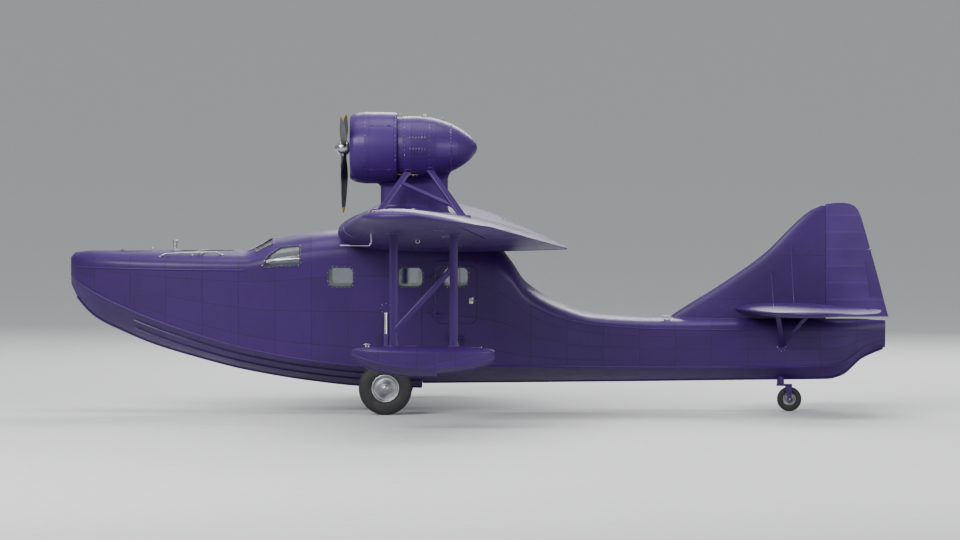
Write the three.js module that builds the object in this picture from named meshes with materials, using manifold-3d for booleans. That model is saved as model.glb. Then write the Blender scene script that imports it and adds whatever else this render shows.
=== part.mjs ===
// A cabin flying boat on its wheels: decked hull, thick cantilever wing on the cabin roof,
// one radial engine in a nacelle on struts above the wing, wing floats and a braced tail.
// Units are millimetres. The nose points to -X, the port side is -Y and Z is up.
// Heights in this file are measured from the lowest point of the keel. The airframe group
// is lifted by keelHeight, so the tyres stand on z = 0.

import * as THREE from 'three';
import { mergeVertices } from 'three/addons/utils/BufferGeometryUtils.js';
import Module from 'manifold-3d';

const wasm = await Module();
wasm.setup();

// Driving dimensions
const keelHeight = 420;
const seatGap = 0.3;

const cabinFrontX = -4150;
const cabinBackX = 300;
const stepX = -988;
const wallThickness = 50;
const innerStep = 2000;
const paneDepth = 12;
const paneThickness = 14;

const wingRootLeadingX = -2400;
const wingRootChord = 3880;
const wingRootZ = 2682;
const wingIncidence = Math.atan2(294, 3880);
const wingDihedral = THREE.MathUtils.degToRad(2.6);
const wingCentreHalf = 1150;
const wingTipY = 9250;
const wingTaperY = 8700;
const wingTipChord = 2050;
const wingRootThickness = 0.18;
const wingTipThickness = 0.12;
const wingCamber = 0.03;

const aileronInnerY = 5000;
const aileronOuterY = 8450;
const aileronHinge = 0.76;
const hingeGap = 10;
const hingeEndGap = 17;
const coveLip = 15;
const noseFit = 0.98;
const noseSegments = 16;
const pinSegments = 8;
const slotHalf = 16;
const pinRadius = 10;
const bracketHalf = 7;
const bracketEye = 24;
const bracketFoot = 30;

const engineZ = 4094;
const cowlFrontX = -2224;
const cowlBackX = -1420;
const cowlInner = 588;
const cowlOuter = 612;
const cowlSegments = 36;
const firewallX = -1500;
const cylinderX = -1830;
const cylinderCount = 9;
const propellerX = -2340;
const propellerRadius = 1120;
const bladeCount = 3;

const finHingeX = 5950;
const rudderBottomZ = 1200;
const tailplaneZ = 1330;
const elevatorHingeX = 5780;
const elevatorInnerY = 112;

const wheelX = -1600;
const wheelY = 1250;
const wheelRadius = 450;
const wheelWidth = 260;
const wheelSegments = 28;
const rimRadius = 232;
const hubWidth = 215;
const axleRadius = 45;
const tailPivotX = 5150;
const tailWheelX = 5300;
const tailWheelRadius = 210;
const tailWheelWidth = 130;
const tailRimRadius = 108;
const tailHubWidth = 118;
const tailAxleRadius = 20;

const floatY = 6200;
const floatZ = 450;

const doorFrontX = -760;
const doorBackX = -60;
const doorSillZ = 1120;
const doorTopZ = 2080;
const doorGap = 9;

const hatchFrontX = -6120;
const hatchBackX = -5560;
const hatchHalfWidth = 280;
const hatchThickness = 40;
const hatchLedge = 40;
const hatchGap = 7;
const lockerFloorZ = 1750;

const cabinFloorZ = 700;
const cockpitFloorZ = 1050;
const cockpitBackX = -2700;
const floorThickness = 40;

// Materials
const paints = {
  hullBlue: [0x39376b, 0.42, 0.15],
  wingBlue: [0x3c3a70, 0.42, 0.15],
  doorBlue: [0x363466, 0.4, 0.15],
  strutBlue: [0x312f5c, 0.45, 0.2],
  cowlBlue: [0x3a376d, 0.38, 0.2],
  engineGrey: [0x3c3d42, 0.5, 0.7],
  exhaustBrown: [0x54443a, 0.6, 0.8],
  bladeMetal: [0x5b5d66, 0.35, 0.9],
  glass: [0x7f8ba5, 0.08, 0.0],
  cabinGreen: [0x596457, 0.6, 0.0],
  panelBlack: [0x1d1e22, 0.6, 0.1],
  seatMetal: [0x8a8f92, 0.45, 0.8],
  benchCloth: [0x6b5a45, 0.9, 0.0],
  tyreRubber: [0x1b1b1c, 0.85, 0.0],
  hubMetal: [0x8f939a, 0.35, 0.9],
};
const materials = {};
for (const [name, [color, roughness, metalness]] of Object.entries(paints)) {
  materials[name] = new THREE.MeshStandardMaterial({ color, roughness, metalness, name });
}
materials.glass.transparent = true;
materials.glass.opacity = 0.4;

// Six times the volume that a triangle and the origin enclose, summed over the mesh.
function signedVolume(position, index) {
  const a = new THREE.Vector3();
  const b = new THREE.Vector3();
  const c = new THREE.Vector3();
  let sum = 0;
  for (let i = 0; i < index.length; i += 3) {
    a.fromBufferAttribute(position, index[i]);
    b.fromBufferAttribute(position, index[i + 1]);
    c.fromBufferAttribute(position, index[i + 2]);
    sum += a.dot(b.cross(c));
  }
  return sum;
}

// A solid from any closed three.js geometry: shared vertices merged, faces turned outward.
function solid(geometry) {
  const bare = geometry.clone();
  bare.deleteAttribute('normal');
  bare.deleteAttribute('uv');
  const merged = mergeVertices(bare, 0.001);
  const position = merged.getAttribute('position');
  const triangles = [];
  const source = merged.getIndex().array;
  for (let i = 0; i < source.length; i += 3) {
    const [a, b, c] = [source[i], source[i + 1], source[i + 2]];
    if (a !== b && b !== c && c !== a) triangles.push(a, b, c);
  }
  if (signedVolume(position, triangles) < 0) triangles.reverse();
  const mesh = new wasm.Mesh({
    numProp: 3,
    vertProperties: new Float32Array(position.array),
    triVerts: new Uint32Array(triangles),
  });
  return new wasm.Manifold(mesh);
}

function geometryOf(body) {
  const mesh = body.getMesh();
  const geometry = new THREE.BufferGeometry();
  geometry.setAttribute('position', new THREE.BufferAttribute(new Float32Array(mesh.vertProperties), 3));
  geometry.setIndex(Array.from(mesh.triVerts));
  geometry.computeVertexNormals();
  return geometry;
}

function joined(bodies) {
  return bodies.reduce((whole, body) => whole.add(body));
}

// A closed skin over sections with equal point counts, its ends filled flat.
function loft(sections) {
  const count = sections[0].length;
  const positions = [];
  for (const section of sections) {
    for (const point of section) positions.push(point.x, point.y, point.z);
  }
  const index = [];
  for (let s = 0; s + 1 < sections.length; s += 1) {
    for (let i = 0; i < count; i += 1) {
      const next = (i + 1) % count;
      const a = s * count + i;
      const b = s * count + next;
      index.push(a, b, b + count, a, b + count, a + count);
    }
  }
  const ends = [[0, true], [sections.length - 1, false]];
  for (const [s, first] of ends) {
    for (const [a, b, c] of flatFaces(sections[s])) {
      const base = s * count;
      if (first) index.push(base + a, base + c, base + b);
      else index.push(base + a, base + b, base + c);
    }
  }
  const geometry = new THREE.BufferGeometry();
  geometry.setAttribute('position', new THREE.Float32BufferAttribute(positions, 3));
  geometry.setIndex(index);
  return solid(geometry);
}

// Triangles of a flat loop, turned the way the loop runs.
function flatFaces(points) {
  const normal = new THREE.Vector3();
  points.forEach((p, i) => {
    const q = points[(i + 1) % points.length];
    normal.x += (p.y - q.y) * (p.z + q.z);
    normal.y += (p.z - q.z) * (p.x + q.x);
    normal.z += (p.x - q.x) * (p.y + q.y);
  });
  normal.normalize();
  const side = Math.abs(normal.z) > 0.9 ? new THREE.Vector3(1, 0, 0) : new THREE.Vector3(0, 0, 1);
  const u = new THREE.Vector3().crossVectors(side, normal).normalize();
  const v = new THREE.Vector3().crossVectors(normal, u);
  const flat = points.map((p) => new THREE.Vector2(p.dot(u), p.dot(v)));
  return THREE.ShapeUtils.triangulateShape(flat, []);
}

// A right prism over an outline in one of the planes 'xy', 'xz' or 'yz', from low to high.
function prism(outline, plane, low, high) {
  const place = {
    xy: ([a, b], c) => new THREE.Vector3(a, b, c),
    xz: ([a, b], c) => new THREE.Vector3(a, c, b),
    yz: ([a, b], c) => new THREE.Vector3(c, a, b),
  }[plane];
  return loft([low, high].map((level) => outline.map((point) => place(point, level))));
}

function box(x0, x1, y0, y1, z0, z1) {
  return prism([[x0, y0], [x1, y0], [x1, y1], [x0, y1]], 'xy', z0, z1);
}

// A rectangle with rounded corners, as points of the outline.
function roundedRectangle(a0, a1, b0, b1, radius, steps = 3) {
  const corners = [[a1, b1, 0], [a0, b1, 1], [a0, b0, 2], [a1, b0, 3]];
  const points = [];
  for (const [a, b, quarter] of corners) {
    const ca = a + (a === a1 ? -radius : radius);
    const cb = b + (b === b1 ? -radius : radius);
    for (let i = 0; i <= steps; i += 1) {
      const angle = (quarter + i / steps) * Math.PI / 2;
      points.push([ca + radius * Math.cos(angle), cb + radius * Math.sin(angle)]);
    }
  }
  return points;
}

// A body of revolution about an axis along X, from rows of [x, radius].
function turned(rows, segments, start = 0) {
  const points = rows.map(([x, radius]) => new THREE.Vector2(radius, x));
  const geometry = new THREE.LatheGeometry(points, segments, start);
  return geometry.rotateZ(-Math.PI / 2);
}

// A straight strut between two points with an elliptical section whose chord runs along X.
function strut(from, to, chord, thickness, segments = 12) {
  const a = new THREE.Vector3(...from);
  const b = new THREE.Vector3(...to);
  const along = b.clone().sub(a).normalize();
  const across = new THREE.Vector3(0, 1, 0).cross(along).lengthSq() < 0.01
    ? new THREE.Vector3(0, 0, 1)
    : new THREE.Vector3(1, 0, 0).cross(along).normalize();
  const forward = across.clone().cross(along).normalize();
  const ring = (centre) => Array.from({ length: segments }, (_, i) => {
    const angle = 2 * Math.PI * i / segments;
    return centre.clone()
      .addScaledVector(forward, chord / 2 * Math.cos(angle))
      .addScaledVector(across, thickness / 2 * Math.sin(angle));
  });
  return loft([ring(a), ring(b)]);
}

// A round bar or cone between two points.
function bar(from, to, radiusFrom, radiusTo = radiusFrom, segments = 16) {
  const a = new THREE.Vector3(...from);
  const b = new THREE.Vector3(...to);
  const geometry = new THREE.CylinderGeometry(radiusTo, radiusFrom, a.distanceTo(b), segments);
  const turn = new THREE.Quaternion().setFromUnitVectors(
    new THREE.Vector3(0, 1, 0),
    b.clone().sub(a).normalize(),
  );
  geometry.applyQuaternion(turn);
  const middle = a.clone().add(b).multiplyScalar(0.5);
  geometry.translate(middle.x, middle.y, middle.z);
  return solid(geometry);
}

// Monotone cubic curve through one column of a table whose first column is x.
function smoothValue(table, column, x) {
  const last = table.length - 1;
  if (x <= table[0][0]) return table[0][column];
  if (x >= table[last][0]) return table[last][column];
  const slope = (i) => (table[i + 1][column] - table[i][column]) / (table[i + 1][0] - table[i][0]);
  const tangent = (i) => {
    if (i === 0) return slope(0);
    if (i === last) return slope(last - 1);
    const [before, after] = [slope(i - 1), slope(i)];
    return before * after > 0 ? 2 * before * after / (before + after) : 0;
  };
  let i = 0;
  while (table[i + 1][0] < x) i += 1;
  const width = table[i + 1][0] - table[i][0];
  const t = (x - table[i][0]) / width;
  return (1 + 2 * t) * (1 - t) ** 2 * table[i][column]
    + t * (1 - t) ** 2 * width * tangent(i)
    + t * t * (3 - 2 * t) * table[i + 1][column]
    - t * t * (1 - t) * width * tangent(i + 1);
}

// The table's own stations from low to high, with more between them where they lie far apart.
function stationsBetween(table, low, high, longest) {
  const own = table.map(([x]) => x).filter((x) => x > low + 20 && x < high - 20);
  const ends = [low, ...own, high];
  const stations = [low];
  for (let i = 0; i + 1 < ends.length; i += 1) {
    const pieces = Math.ceil((ends[i + 1] - ends[i]) / longest);
    for (let k = 1; k <= pieces; k += 1) {
      stations.push(ends[i] + (ends[i + 1] - ends[i]) * k / pieces);
    }
  }
  return stations;
}

// Hull bottom ahead of the step and behind it.
// Columns: x, keel height, chine height, chine half width
const bottomFore = [
  [-7000, 1760, 1920, 70],
  [-6930, 1600, 1850, 165],
  [-6577, 1212, 1620, 365],
  [-6118, 976, 1400, 520],
  [-5553, 741, 1170, 660],
  [-4753, 500, 900, 775],
  [-4047, 320, 700, 820],
  [-2871, 120, 480, 832],
  [-1929, 25, 385, 835],
  [-988, 0, 345, 835],
];
const bottomAft = [
  [-988, 82, 400, 820],
  [300, 92, 385, 770],
  [1365, 102, 370, 660],
  [3012, 118, 350, 455],
  [4500, 136, 345, 315],
  [5953, 153, 370, 200],
  [6188, 212, 420, 180],
  [6541, 506, 640, 120],
  [6941, 682, 790, 55],
];
// Hull sides and deck. Columns: x, shoulder height, shoulder half width, crown height
const topsides = [
  [-7000, 2080, 95, 2230],
  [-6930, 2085, 205, 2305],
  [-6577, 2080, 420, 2341],
  [-6118, 2070, 580, 2341],
  [-5553, 2060, 710, 2341],
  [-4753, 2050, 815, 2341],
  [-3980, 2045, 855, 2343],
  [-3900, 2045, 857, 2365],
  [-3520, 2070, 862, 2545],
  [-3430, 2085, 863, 2560],
  [-2635, 2180, 866, 2680],
  [-1929, 2230, 868, 2720],
  [-988, 2200, 868, 2680],
  [300, 1900, 800, 2420],
  [541, 1740, 775, 2153],
  [776, 1470, 745, 1810],
  [1365, 1180, 665, 1447],
  [1953, 1060, 590, 1259],
  [3012, 985, 465, 1188],
  [4500, 960, 325, 1175],
  [5953, 950, 208, 1170],
  [6541, 960, 140, 1168],
  [6941, 980, 70, 1150],
];
const deckSteps = 5;
const deckPower = 1 / 1.2;
const bottomHollow = 0.47;

// Half of a boat section from keel to crown: hollow V bottom, flat side, rounded deck.
function boatSection(x, keel, chineZ, chineY, shoulderZ, shoulderY, crown, centreY = 0) {
  const half = [
    [0, keel],
    [chineY * 0.55, keel + (chineZ - keel) * bottomHollow],
    [chineY, chineZ],
  ];
  for (let i = 0; i <= deckSteps; i += 1) {
    const angle = Math.PI / 2 * i / deckSteps;
    const across = i === deckSteps ? 0 : Math.cos(angle) ** deckPower;
    half.push([shoulderY * across, shoulderZ + (crown - shoulderZ) * Math.sin(angle) ** deckPower]);
  }
  const mirrored = half.slice(1, -1).reverse().map(([y, z]) => [-y, z]);
  return [...half, ...mirrored].map(([y, z]) => new THREE.Vector3(x, centreY + y, z));
}

// One hull section, drawn in by inset from the outer skin.
function hullSection(x, inset, aft) {
  const bottom = aft ? bottomAft : bottomFore;
  const [keel, chineZ, chineY] = [1, 2, 3].map((column) => smoothValue(bottom, column, x));
  const [shoulderZ, shoulderY, crown] = [1, 2, 3].map((column) => smoothValue(topsides, column, x));
  return boatSection(
    x,
    keel + 1.15 * inset,
    chineZ + 0.5 * inset,
    chineY - inset,
    shoulderZ - 0.25 * inset,
    shoulderY - inset,
    crown - inset,
  );
}

const byStation = (bottom) => bottom.concat(topsides).sort((p, q) => p[0] - q[0]);

function hullBody(low, high, inset = 0, longest = 420) {
  const sections = [];
  if (low < stepX) {
    const end = Math.min(high, stepX);
    for (const x of stationsBetween(byStation(bottomFore), low, end, longest)) {
      sections.push(hullSection(x, inset, false));
    }
  }
  if (high > stepX) {
    const start = Math.max(low, stepX + 4);
    for (const x of stationsBetween(byStation(bottomAft), start, high, longest)) {
      sections.push(hullSection(x, inset, true));
    }
  }
  return loft(sections);
}

// Aerofoil outline as [distance behind the nose, height] in parts of the chord, from the
// trailing edge over the top to the nose and back below: thickness polynomial on a camber arc.
const camberCrest = 0.4;
const edgeThickness = 0.0022;

// Half thickness at a part x of the chord, in parts of the chord.
function spreadAt(x, thickness) {
  const shape = 0.2969 * Math.sqrt(x) - 0.126 * x - 0.3516 * x ** 2 + 0.2843 * x ** 3 - 0.1036 * x ** 4;
  return 5 * thickness * shape + edgeThickness * x;
}

function camberAt(x, camber) {
  return x < camberCrest
    ? camber / camberCrest ** 2 * (2 * camberCrest * x - x * x)
    : camber / (1 - camberCrest) ** 2 * (1 - 2 * camberCrest + 2 * camberCrest * x - x * x);
}

function aerofoil(thickness, camber, steps) {
  const heights = (x, side) => camberAt(x, camber) + side * spreadAt(x, thickness);
  const points = [];
  for (let i = 0; i <= steps; i += 1) {
    const x = (1 + Math.cos(Math.PI * i / steps)) / 2;
    points.push([x, heights(x, 1)]);
  }
  for (let i = steps - 1; i >= 0; i -= 1) {
    const x = (1 + Math.cos(Math.PI * i / steps)) / 2;
    points.push([x, heights(x, -1)]);
  }
  return points;
}

const aerofoilSteps = 11;

// Wing chord, nose place and height at a distance y from the middle.
function wingStation(y) {
  const outward = Math.max(0, y - wingCentreHalf);
  const taper = Math.min(1, outward / (wingTaperY - wingCentreHalf));
  const tipPart = Math.max(0, (y - wingTaperY) / (wingTipY - wingTaperY));
  const straight = wingRootChord + (wingTipChord - wingRootChord) * outward / (wingTaperY - wingCentreHalf);
  const chord = straight * Math.sqrt(Math.max(0.012, 1 - tipPart ** 2.4));
  const leading = wingRootLeadingX + 0.3 * (wingRootChord - straight) + 0.42 * (straight - chord);
  const thickness = wingRootThickness + (wingTipThickness - wingRootThickness) * taper;
  return { chord, leading, thickness, z: wingRootZ + outward * Math.tan(wingDihedral) };
}

// A point of the wing at the given part of the chord and height above the chord line.
function wingPoint(y, part, height) {
  const { chord, leading, z } = wingStation(Math.abs(y));
  const along = part * chord;
  const up = height * chord;
  return new THREE.Vector3(
    leading + along * Math.cos(wingIncidence) + up * Math.sin(wingIncidence),
    y,
    z - along * Math.sin(wingIncidence) + up * Math.cos(wingIncidence),
  );
}

function wingSection(y, grow) {
  const { chord, thickness } = wingStation(Math.abs(y));
  const swell = grow / chord;
  return aerofoil(thickness, wingCamber, aerofoilSteps).map(([part, height], i) => {
    const side = i < aerofoilSteps ? 1 : -1;
    const nose = i === aerofoilSteps;
    const reach = part + (nose ? -swell : 0) + (part > 0.99 ? swell : 0);
    return wingPoint(y, reach, height + (nose ? 0 : side * swell));
  });
}

function wingBody(from, to, rows, grow = 0) {
  const levels = rows.map((part) => from + (to - from) * part);
  return loft(levels.map((y) => wingSection(y, grow)));
}

// Strong centre section across the cabin roof and a panel for each side.
const panelRows = [0, 0.12, 0.25, 0.38, 0.51, 0.64, 0.77, 0.86, 0.915, 0.945, 0.965, 0.982, 0.993, 1];
const wingPanel = (side, grow = 0) => wingBody(
  side * (wingCentreHalf + seatGap),
  side * wingTipY,
  panelRows,
  grow,
);
const wingCentre = (grow = 0) => wingBody(-wingCentreHalf, wingCentreHalf, [0, 1], grow);

// A body of revolution about any line, from rows of [distance along the line, radius].
function spindle(start, along, rows, segments, turn = 0) {
  const profile = [[rows[0][0], 0], ...rows, [rows.at(-1)[0], 0]];
  const points = profile.map(([d, r]) => new THREE.Vector2(r, d));
  const geometry = new THREE.LatheGeometry(points, segments, turn);
  geometry.applyQuaternion(new THREE.Quaternion().setFromUnitVectors(new THREE.Vector3(0, 1, 0), along));
  geometry.translate(start.x, start.y, start.z);
  return solid(geometry);
}

// A hinge bracket: a plate across the hinge line with a round eye, drilled for the pin. The
// bore's flats stand against the pin's corners, and clear them in every position.
function hingeBracket(centre, along, reach) {
  const forward = new THREE.Vector3(-1, 0, 0).addScaledVector(along, along.x).normalize();
  const up = along.clone().cross(forward);
  const foot = reach + bracketFoot;
  const outline = [[foot, bracketEye]];
  for (let i = 0; i <= 5; i += 1) {
    const angle = Math.PI * (0.5 + i / 5);
    outline.push([bracketEye * Math.cos(angle), bracketEye * Math.sin(angle)]);
  }
  outline.push([foot, -bracketEye]);
  const plate = loft([-bracketHalf, bracketHalf].map((level) => outline.map(([f, u]) => (
    centre.clone().addScaledVector(along, level).addScaledVector(forward, f).addScaledVector(up, u)))));
  const bore = (pinRadius + seatGap) / Math.cos(Math.PI / pinSegments);
  const drill = [[-2 * bracketHalf, bore], [2 * bracketHalf, bore]];
  return plate.subtract(spindle(centre, along, drill, pinSegments, Math.PI / pinSegments));
}

// Takes a control surface off a fixed one. The moving part has a round nose on the hinge
// line, the fixed part a round cove that is wider by the gap. Brackets on the fixed part
// reach into slots of the nose and hold its pins. Rows are [distance along, nose radius].
function splitAtHinge(whole, start, along, rows, brackets, regionAt) {
  const wider = rows.map(([d, r]) => [d, r + hingeGap]);
  wider[0][0] -= hingeEndGap;
  wider.at(-1)[0] += hingeEndGap;
  let moving = whole.intersect(regionAt(0, 0)).add(spindle(start, along, rows, noseSegments));
  let fixed = whole.subtract(regionAt(hingeEndGap, coveLip))
    .subtract(spindle(start, along, wider, noseSegments));
  for (const distance of brackets) {
    const centre = start.clone().addScaledVector(along, distance);
    const reach = smoothValue(rows, 1, distance) + hingeGap;
    const room = [[-slotHalf, reach], [slotHalf, reach]];
    const pin = [[-slotHalf - 3, pinRadius], [slotHalf + 3, pinRadius]];
    moving = moving.subtract(spindle(centre, along, room, noseSegments))
      .add(spindle(centre, along, pin, pinSegments));
    fixed = fixed.add(hingeBracket(centre, along, reach));
  }
  return { moving, fixed };
}

// The middle of the wing's thickness at the hinge line, and half of the thickness there.
function wingHinge(side, y) {
  const { chord, thickness } = wingStation(y);
  return {
    point: wingPoint(side * y, aileronHinge, camberAt(aileronHinge, wingCamber)),
    half: chord * spreadAt(aileronHinge, thickness),
  };
}

function makeWingSide(side) {
  const inner = wingHinge(side, aileronInnerY);
  const outer = wingHinge(side, aileronOuterY);
  const [a, b] = [inner.point, outer.point];
  const length = a.distanceTo(b);
  const along = b.clone().sub(a).normalize();
  const rows = [[0, inner.half * noseFit], [length, outer.half * noseFit]];
  const slope = (b.x - a.x) / (b.y - a.y);
  const behind = 3000;
  const regionAt = (grow, lip) => {
    const innerY = a.y - side * grow;
    const outerY = b.y + side * grow;
    const innerX = a.x + slope * (innerY - a.y) - lip;
    const outerX = a.x + slope * (outerY - a.y) - lip;
    return prism([[innerX, innerY], [outerX, outerY], [behind, outerY], [behind, innerY]], 'xy', 1500, 4500);
  };
  return splitAtHinge(wingPanel(side), a, along, rows, [length * 0.14, length * 0.86], regionAt);
}

// Fin and rudder outline. Columns: height, nose x, trailing edge x, half thickness
const finRows = [
  [1000, 3000, 7040, 96],
  [rudderBottomZ, 3250, 7000, 95],
  [1282, 3365, 6975, 94],
  [1800, 4188, 6840, 86],
  [2306, 4894, 6700, 76],
  [2700, 5290, 6590, 66],
  [2976, 5590, 6500, 54],
  [3080, 5760, 6430, 44],
  [3135, 5920, 6330, 30],
  [3153, 6030, 6220, 14],
];

function finSection(z, grow) {
  const [nose, tail, half] = [1, 2, 3].map((column) => smoothValue(finRows, column, z));
  const chord = tail - nose;
  return aerofoil(2 * half / chord, 0, 10).map(([part, height], i) => {
    const side = i < 10 ? 1 : -1;
    const reach = nose + part * chord + (i === 10 ? -grow : 0) + (part > 0.99 ? grow : 0);
    return new THREE.Vector3(reach, height * chord + (i === 10 ? 0 : side * grow), z);
  });
}

function finBody(grow = 0) {
  const between = [1540, 2050, 2510, 2850];
  const levels = [...finRows.map(([z]) => z), ...between].sort((p, q) => p - q);
  return loft(levels.map((z) => finSection(z, grow)));
}

// Half thickness of a surface at its hinge, from a table row of nose, trailing edge and half.
function hingeHalf(table, key, hingeX) {
  const [nose, tail, half] = [1, 2, 3].map((column) => smoothValue(table, column, key));
  const chord = tail - nose;
  return chord * spreadAt((hingeX - nose) / chord, 2 * half / chord);
}

function makeFinAndRudder() {
  const beyond = 7400;
  const start = new THREE.Vector3(finHingeX, 0, rudderBottomZ);
  const rows = [rudderBottomZ, 1800, 2306, 2700, 2976, 3080, 3135].map((z) => (
    [z - rudderBottomZ, hingeHalf(finRows, z, finHingeX) * noseFit]));
  const regionAt = (grow, lip) => prism(
    [
      [finHingeX - lip, rudderBottomZ - grow],
      [beyond, rudderBottomZ - grow],
      [beyond, 3300],
      [finHingeX - lip, 3300],
    ],
    'xz',
    -400,
    400,
  );
  const { moving, fixed } = splitAtHinge(
    finBody(),
    start,
    new THREE.Vector3(0, 0, 1),
    rows,
    [330, 1560],
    regionAt,
  );
  const stub = box(finHingeX - 2 * coveLip, beyond, -400, 400, 900, rudderBottomZ);
  const seat = hullBody(cabinBackX + seatGap, bottomAft.at(-1)[0], -seatGap);
  return { rudder: moving, fin: fixed.subtract(stub).subtract(seat) };
}

// Tailplane. Columns: distance from the middle, nose x, trailing edge x, half thickness
const tailplaneRows = [
  [0, 4350, 6850, 112],
  [1000, 4560, 6800, 100],
  [2000, 4800, 6690, 84],
  [2450, 4990, 6580, 70],
  [2660, 5180, 6450, 54],
  [2770, 5420, 6270, 34],
  [2800, 5600, 6100, 16],
];

function tailplaneBody(side, grow = 0) {
  const levels = [20, 500, 1000, 1500, 2000, 2250, 2450, 2570, 2660, 2725, 2770, 2800];
  return loft(levels.map((y) => {
    const [nose, tail, half] = [1, 2, 3].map((column) => smoothValue(tailplaneRows, column, y));
    const chord = tail - nose;
    return aerofoil(2 * half / chord, 0, 10).map(([part, height], i) => {
      const up = i < 10 ? 1 : -1;
      return new THREE.Vector3(
        nose + part * chord + (i === 10 ? -grow : 0),
        side * y,
        tailplaneZ + height * chord + (i === 10 ? 0 : up * grow),
      );
    });
  }));
}

function makeTailplaneSide(side) {
  const innerY = side * elevatorInnerY;
  const start = new THREE.Vector3(elevatorHingeX, innerY, tailplaneZ);
  const rows = [elevatorInnerY, 1000, 2000, 2450, 2660, 2770].map((y) => (
    [y - elevatorInnerY, hingeHalf(tailplaneRows, y, elevatorHingeX) * noseFit]));
  const regionAt = (grow, lip) => prism(
    [
      [elevatorHingeX - lip, grow > 0 ? 0 : innerY],
      [7200, grow > 0 ? 0 : innerY],
      [7200, side * (2900 + grow)],
      [elevatorHingeX - lip, side * (2900 + grow)],
    ],
    'xy',
    800,
    1800,
  );
  const { moving, fixed } = splitAtHinge(
    tailplaneBody(side),
    start,
    new THREE.Vector3(0, side, 0),
    rows,
    [480, 2100],
    regionAt,
  );
  const rudderRoom = prism(
    [[5700, 0], [5700, innerY], [5950, side * 145], [7000, side * 740], [7000, 0]],
    'xy',
    800,
    1800,
  );
  return { elevator: moving.subtract(rudderRoom), tailplane: fixed.subtract(finBody(seatGap)) };
}

// Cabin shell: outer skin less inner skin, less the wing, the windows, the windscreen and
// the doorway.
const windowTopZ = 2060;
const windowSillZ = 1740;
const windowHalf = 205;
const windowRadius = 90;
const cabinWindows = [
  // Columns: name, x of the middle, side
  ['left_1', -2360, -1],
  ['left_2', -1180, -1],
  ['right_1', -2360, 1],
  ['right_2', -1180, 1],
  ['right_3', -410, 1],
];

// One side of the hull only: from well inside the cabin to beyond the skin.
function sidePrism(outline, side) {
  const [low, high] = side > 0 ? [300, 1200] : [-1200, -300];
  return prism(outline, 'xz', low, high);
}

function windowCut(x, side, shrink = 0) {
  return sidePrism(
    roundedRectangle(
      x - windowHalf + shrink,
      x + windowHalf - shrink,
      windowSillZ + shrink,
      windowTopZ - shrink,
      windowRadius - shrink,
    ),
    side,
  );
}

function drawnIn(outline, shrink) {
  const middle = outline.reduce((sum, [a, b]) => [sum[0] + a, sum[1] + b], [0, 0])
    .map((value) => value / outline.length);
  return outline.map(([a, b]) => {
    const [da, db] = [a - middle[0], b - middle[1]];
    const length = Math.hypot(da, db);
    return [a - da / length * shrink * 1.4, b - db / length * shrink * 1.4];
  });
}

const screenOutline = [[-3890, 38], [-3530, 38], [-3545, 590], [-3800, 640]];
const sidePaneOutline = [[-3690, 2075], [-3060, 2110], [-3060, 2430], [-3390, 2400], [-3600, 2250]];

function screenCut(side, shrink = 0) {
  const outline = drawnIn(screenOutline, shrink).map(([x, y]) => [x, side * y]);
  return prism(outline, 'xy', 2150, 2800);
}

function sidePaneCut(side, shrink = 0) {
  return sidePrism(drawnIn(sidePaneOutline, shrink), side);
}

const doorOutline = (grow) => roundedRectangle(
  doorFrontX - grow,
  doorBackX + grow,
  doorSillZ - grow,
  doorTopZ + grow,
  110 + grow,
);
const doorCut = (grow = 0) => sidePrism(doorOutline(grow), -1);
const doorPaneX = (doorFrontX + doorBackX) / 2;

const cabinOuter = hullBody(cabinFrontX + seatGap, cabinBackX);
const cabinInner = hullBody(cabinFrontX - 20, cabinBackX + 20, wallThickness, innerStep);
const cabinShell = cabinOuter.subtract(cabinInner);
const paneLayer = hullBody(cabinFrontX + 60, cabinBackX - 20, paneDepth)
  .subtract(hullBody(cabinFrontX + 40, cabinBackX, paneDepth + paneThickness));

// Door hinges outside the skin: a knuckle on the hull over a knuckle with a strap on the door
const doorHingeX = doorFrontX - 12;
const doorHingeY = -880;
const knuckleRadius = 9;
const knuckleLength = 55;
const hingeRootY = -822;
const doorHinges = [doorSillZ + 150, doorTopZ - 205];

function knuckle(low, high) {
  const ends = [low, high].map((z) => [doorHingeX, doorHingeY, z]);
  return bar(ends[0], ends[1], knuckleRadius, knuckleRadius, 10);
}

function hullKnuckle(z) {
  const [low, high] = [z + seatGap, z + knuckleLength];
  return knuckle(low, high)
    .add(box(doorHingeX - 60, doorHingeX, doorHingeY - 6, hingeRootY, low + 4, high - 4));
}

function doorKnuckle(z) {
  const [low, high] = [z - knuckleLength, z];
  return knuckle(low, high)
    .add(box(doorHingeX, doorFrontX + 100, doorHingeY - 6, doorHingeY + 8, low + 4, high - 4))
    .add(box(doorFrontX + 10, doorFrontX + 100, doorHingeY - 6, hingeRootY, low + 4, high - 4));
}

function makeCabin() {
  let shell = cabinShell.subtract(wingCentre(seatGap));
  for (const [, x, side] of cabinWindows) shell = shell.subtract(windowCut(x, side));
  for (const side of [-1, 1]) {
    shell = shell.subtract(screenCut(side)).subtract(sidePaneCut(side));
  }
  return joined([shell.subtract(doorCut(doorGap)), ...doorHinges.map(hullKnuckle)]);
}

function makeDoor() {
  const panel = cabinShell.intersect(doorCut()).subtract(windowCut(doorPaneX, -1));
  return joined([panel, ...doorHinges.map(doorKnuckle)]);
}

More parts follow.
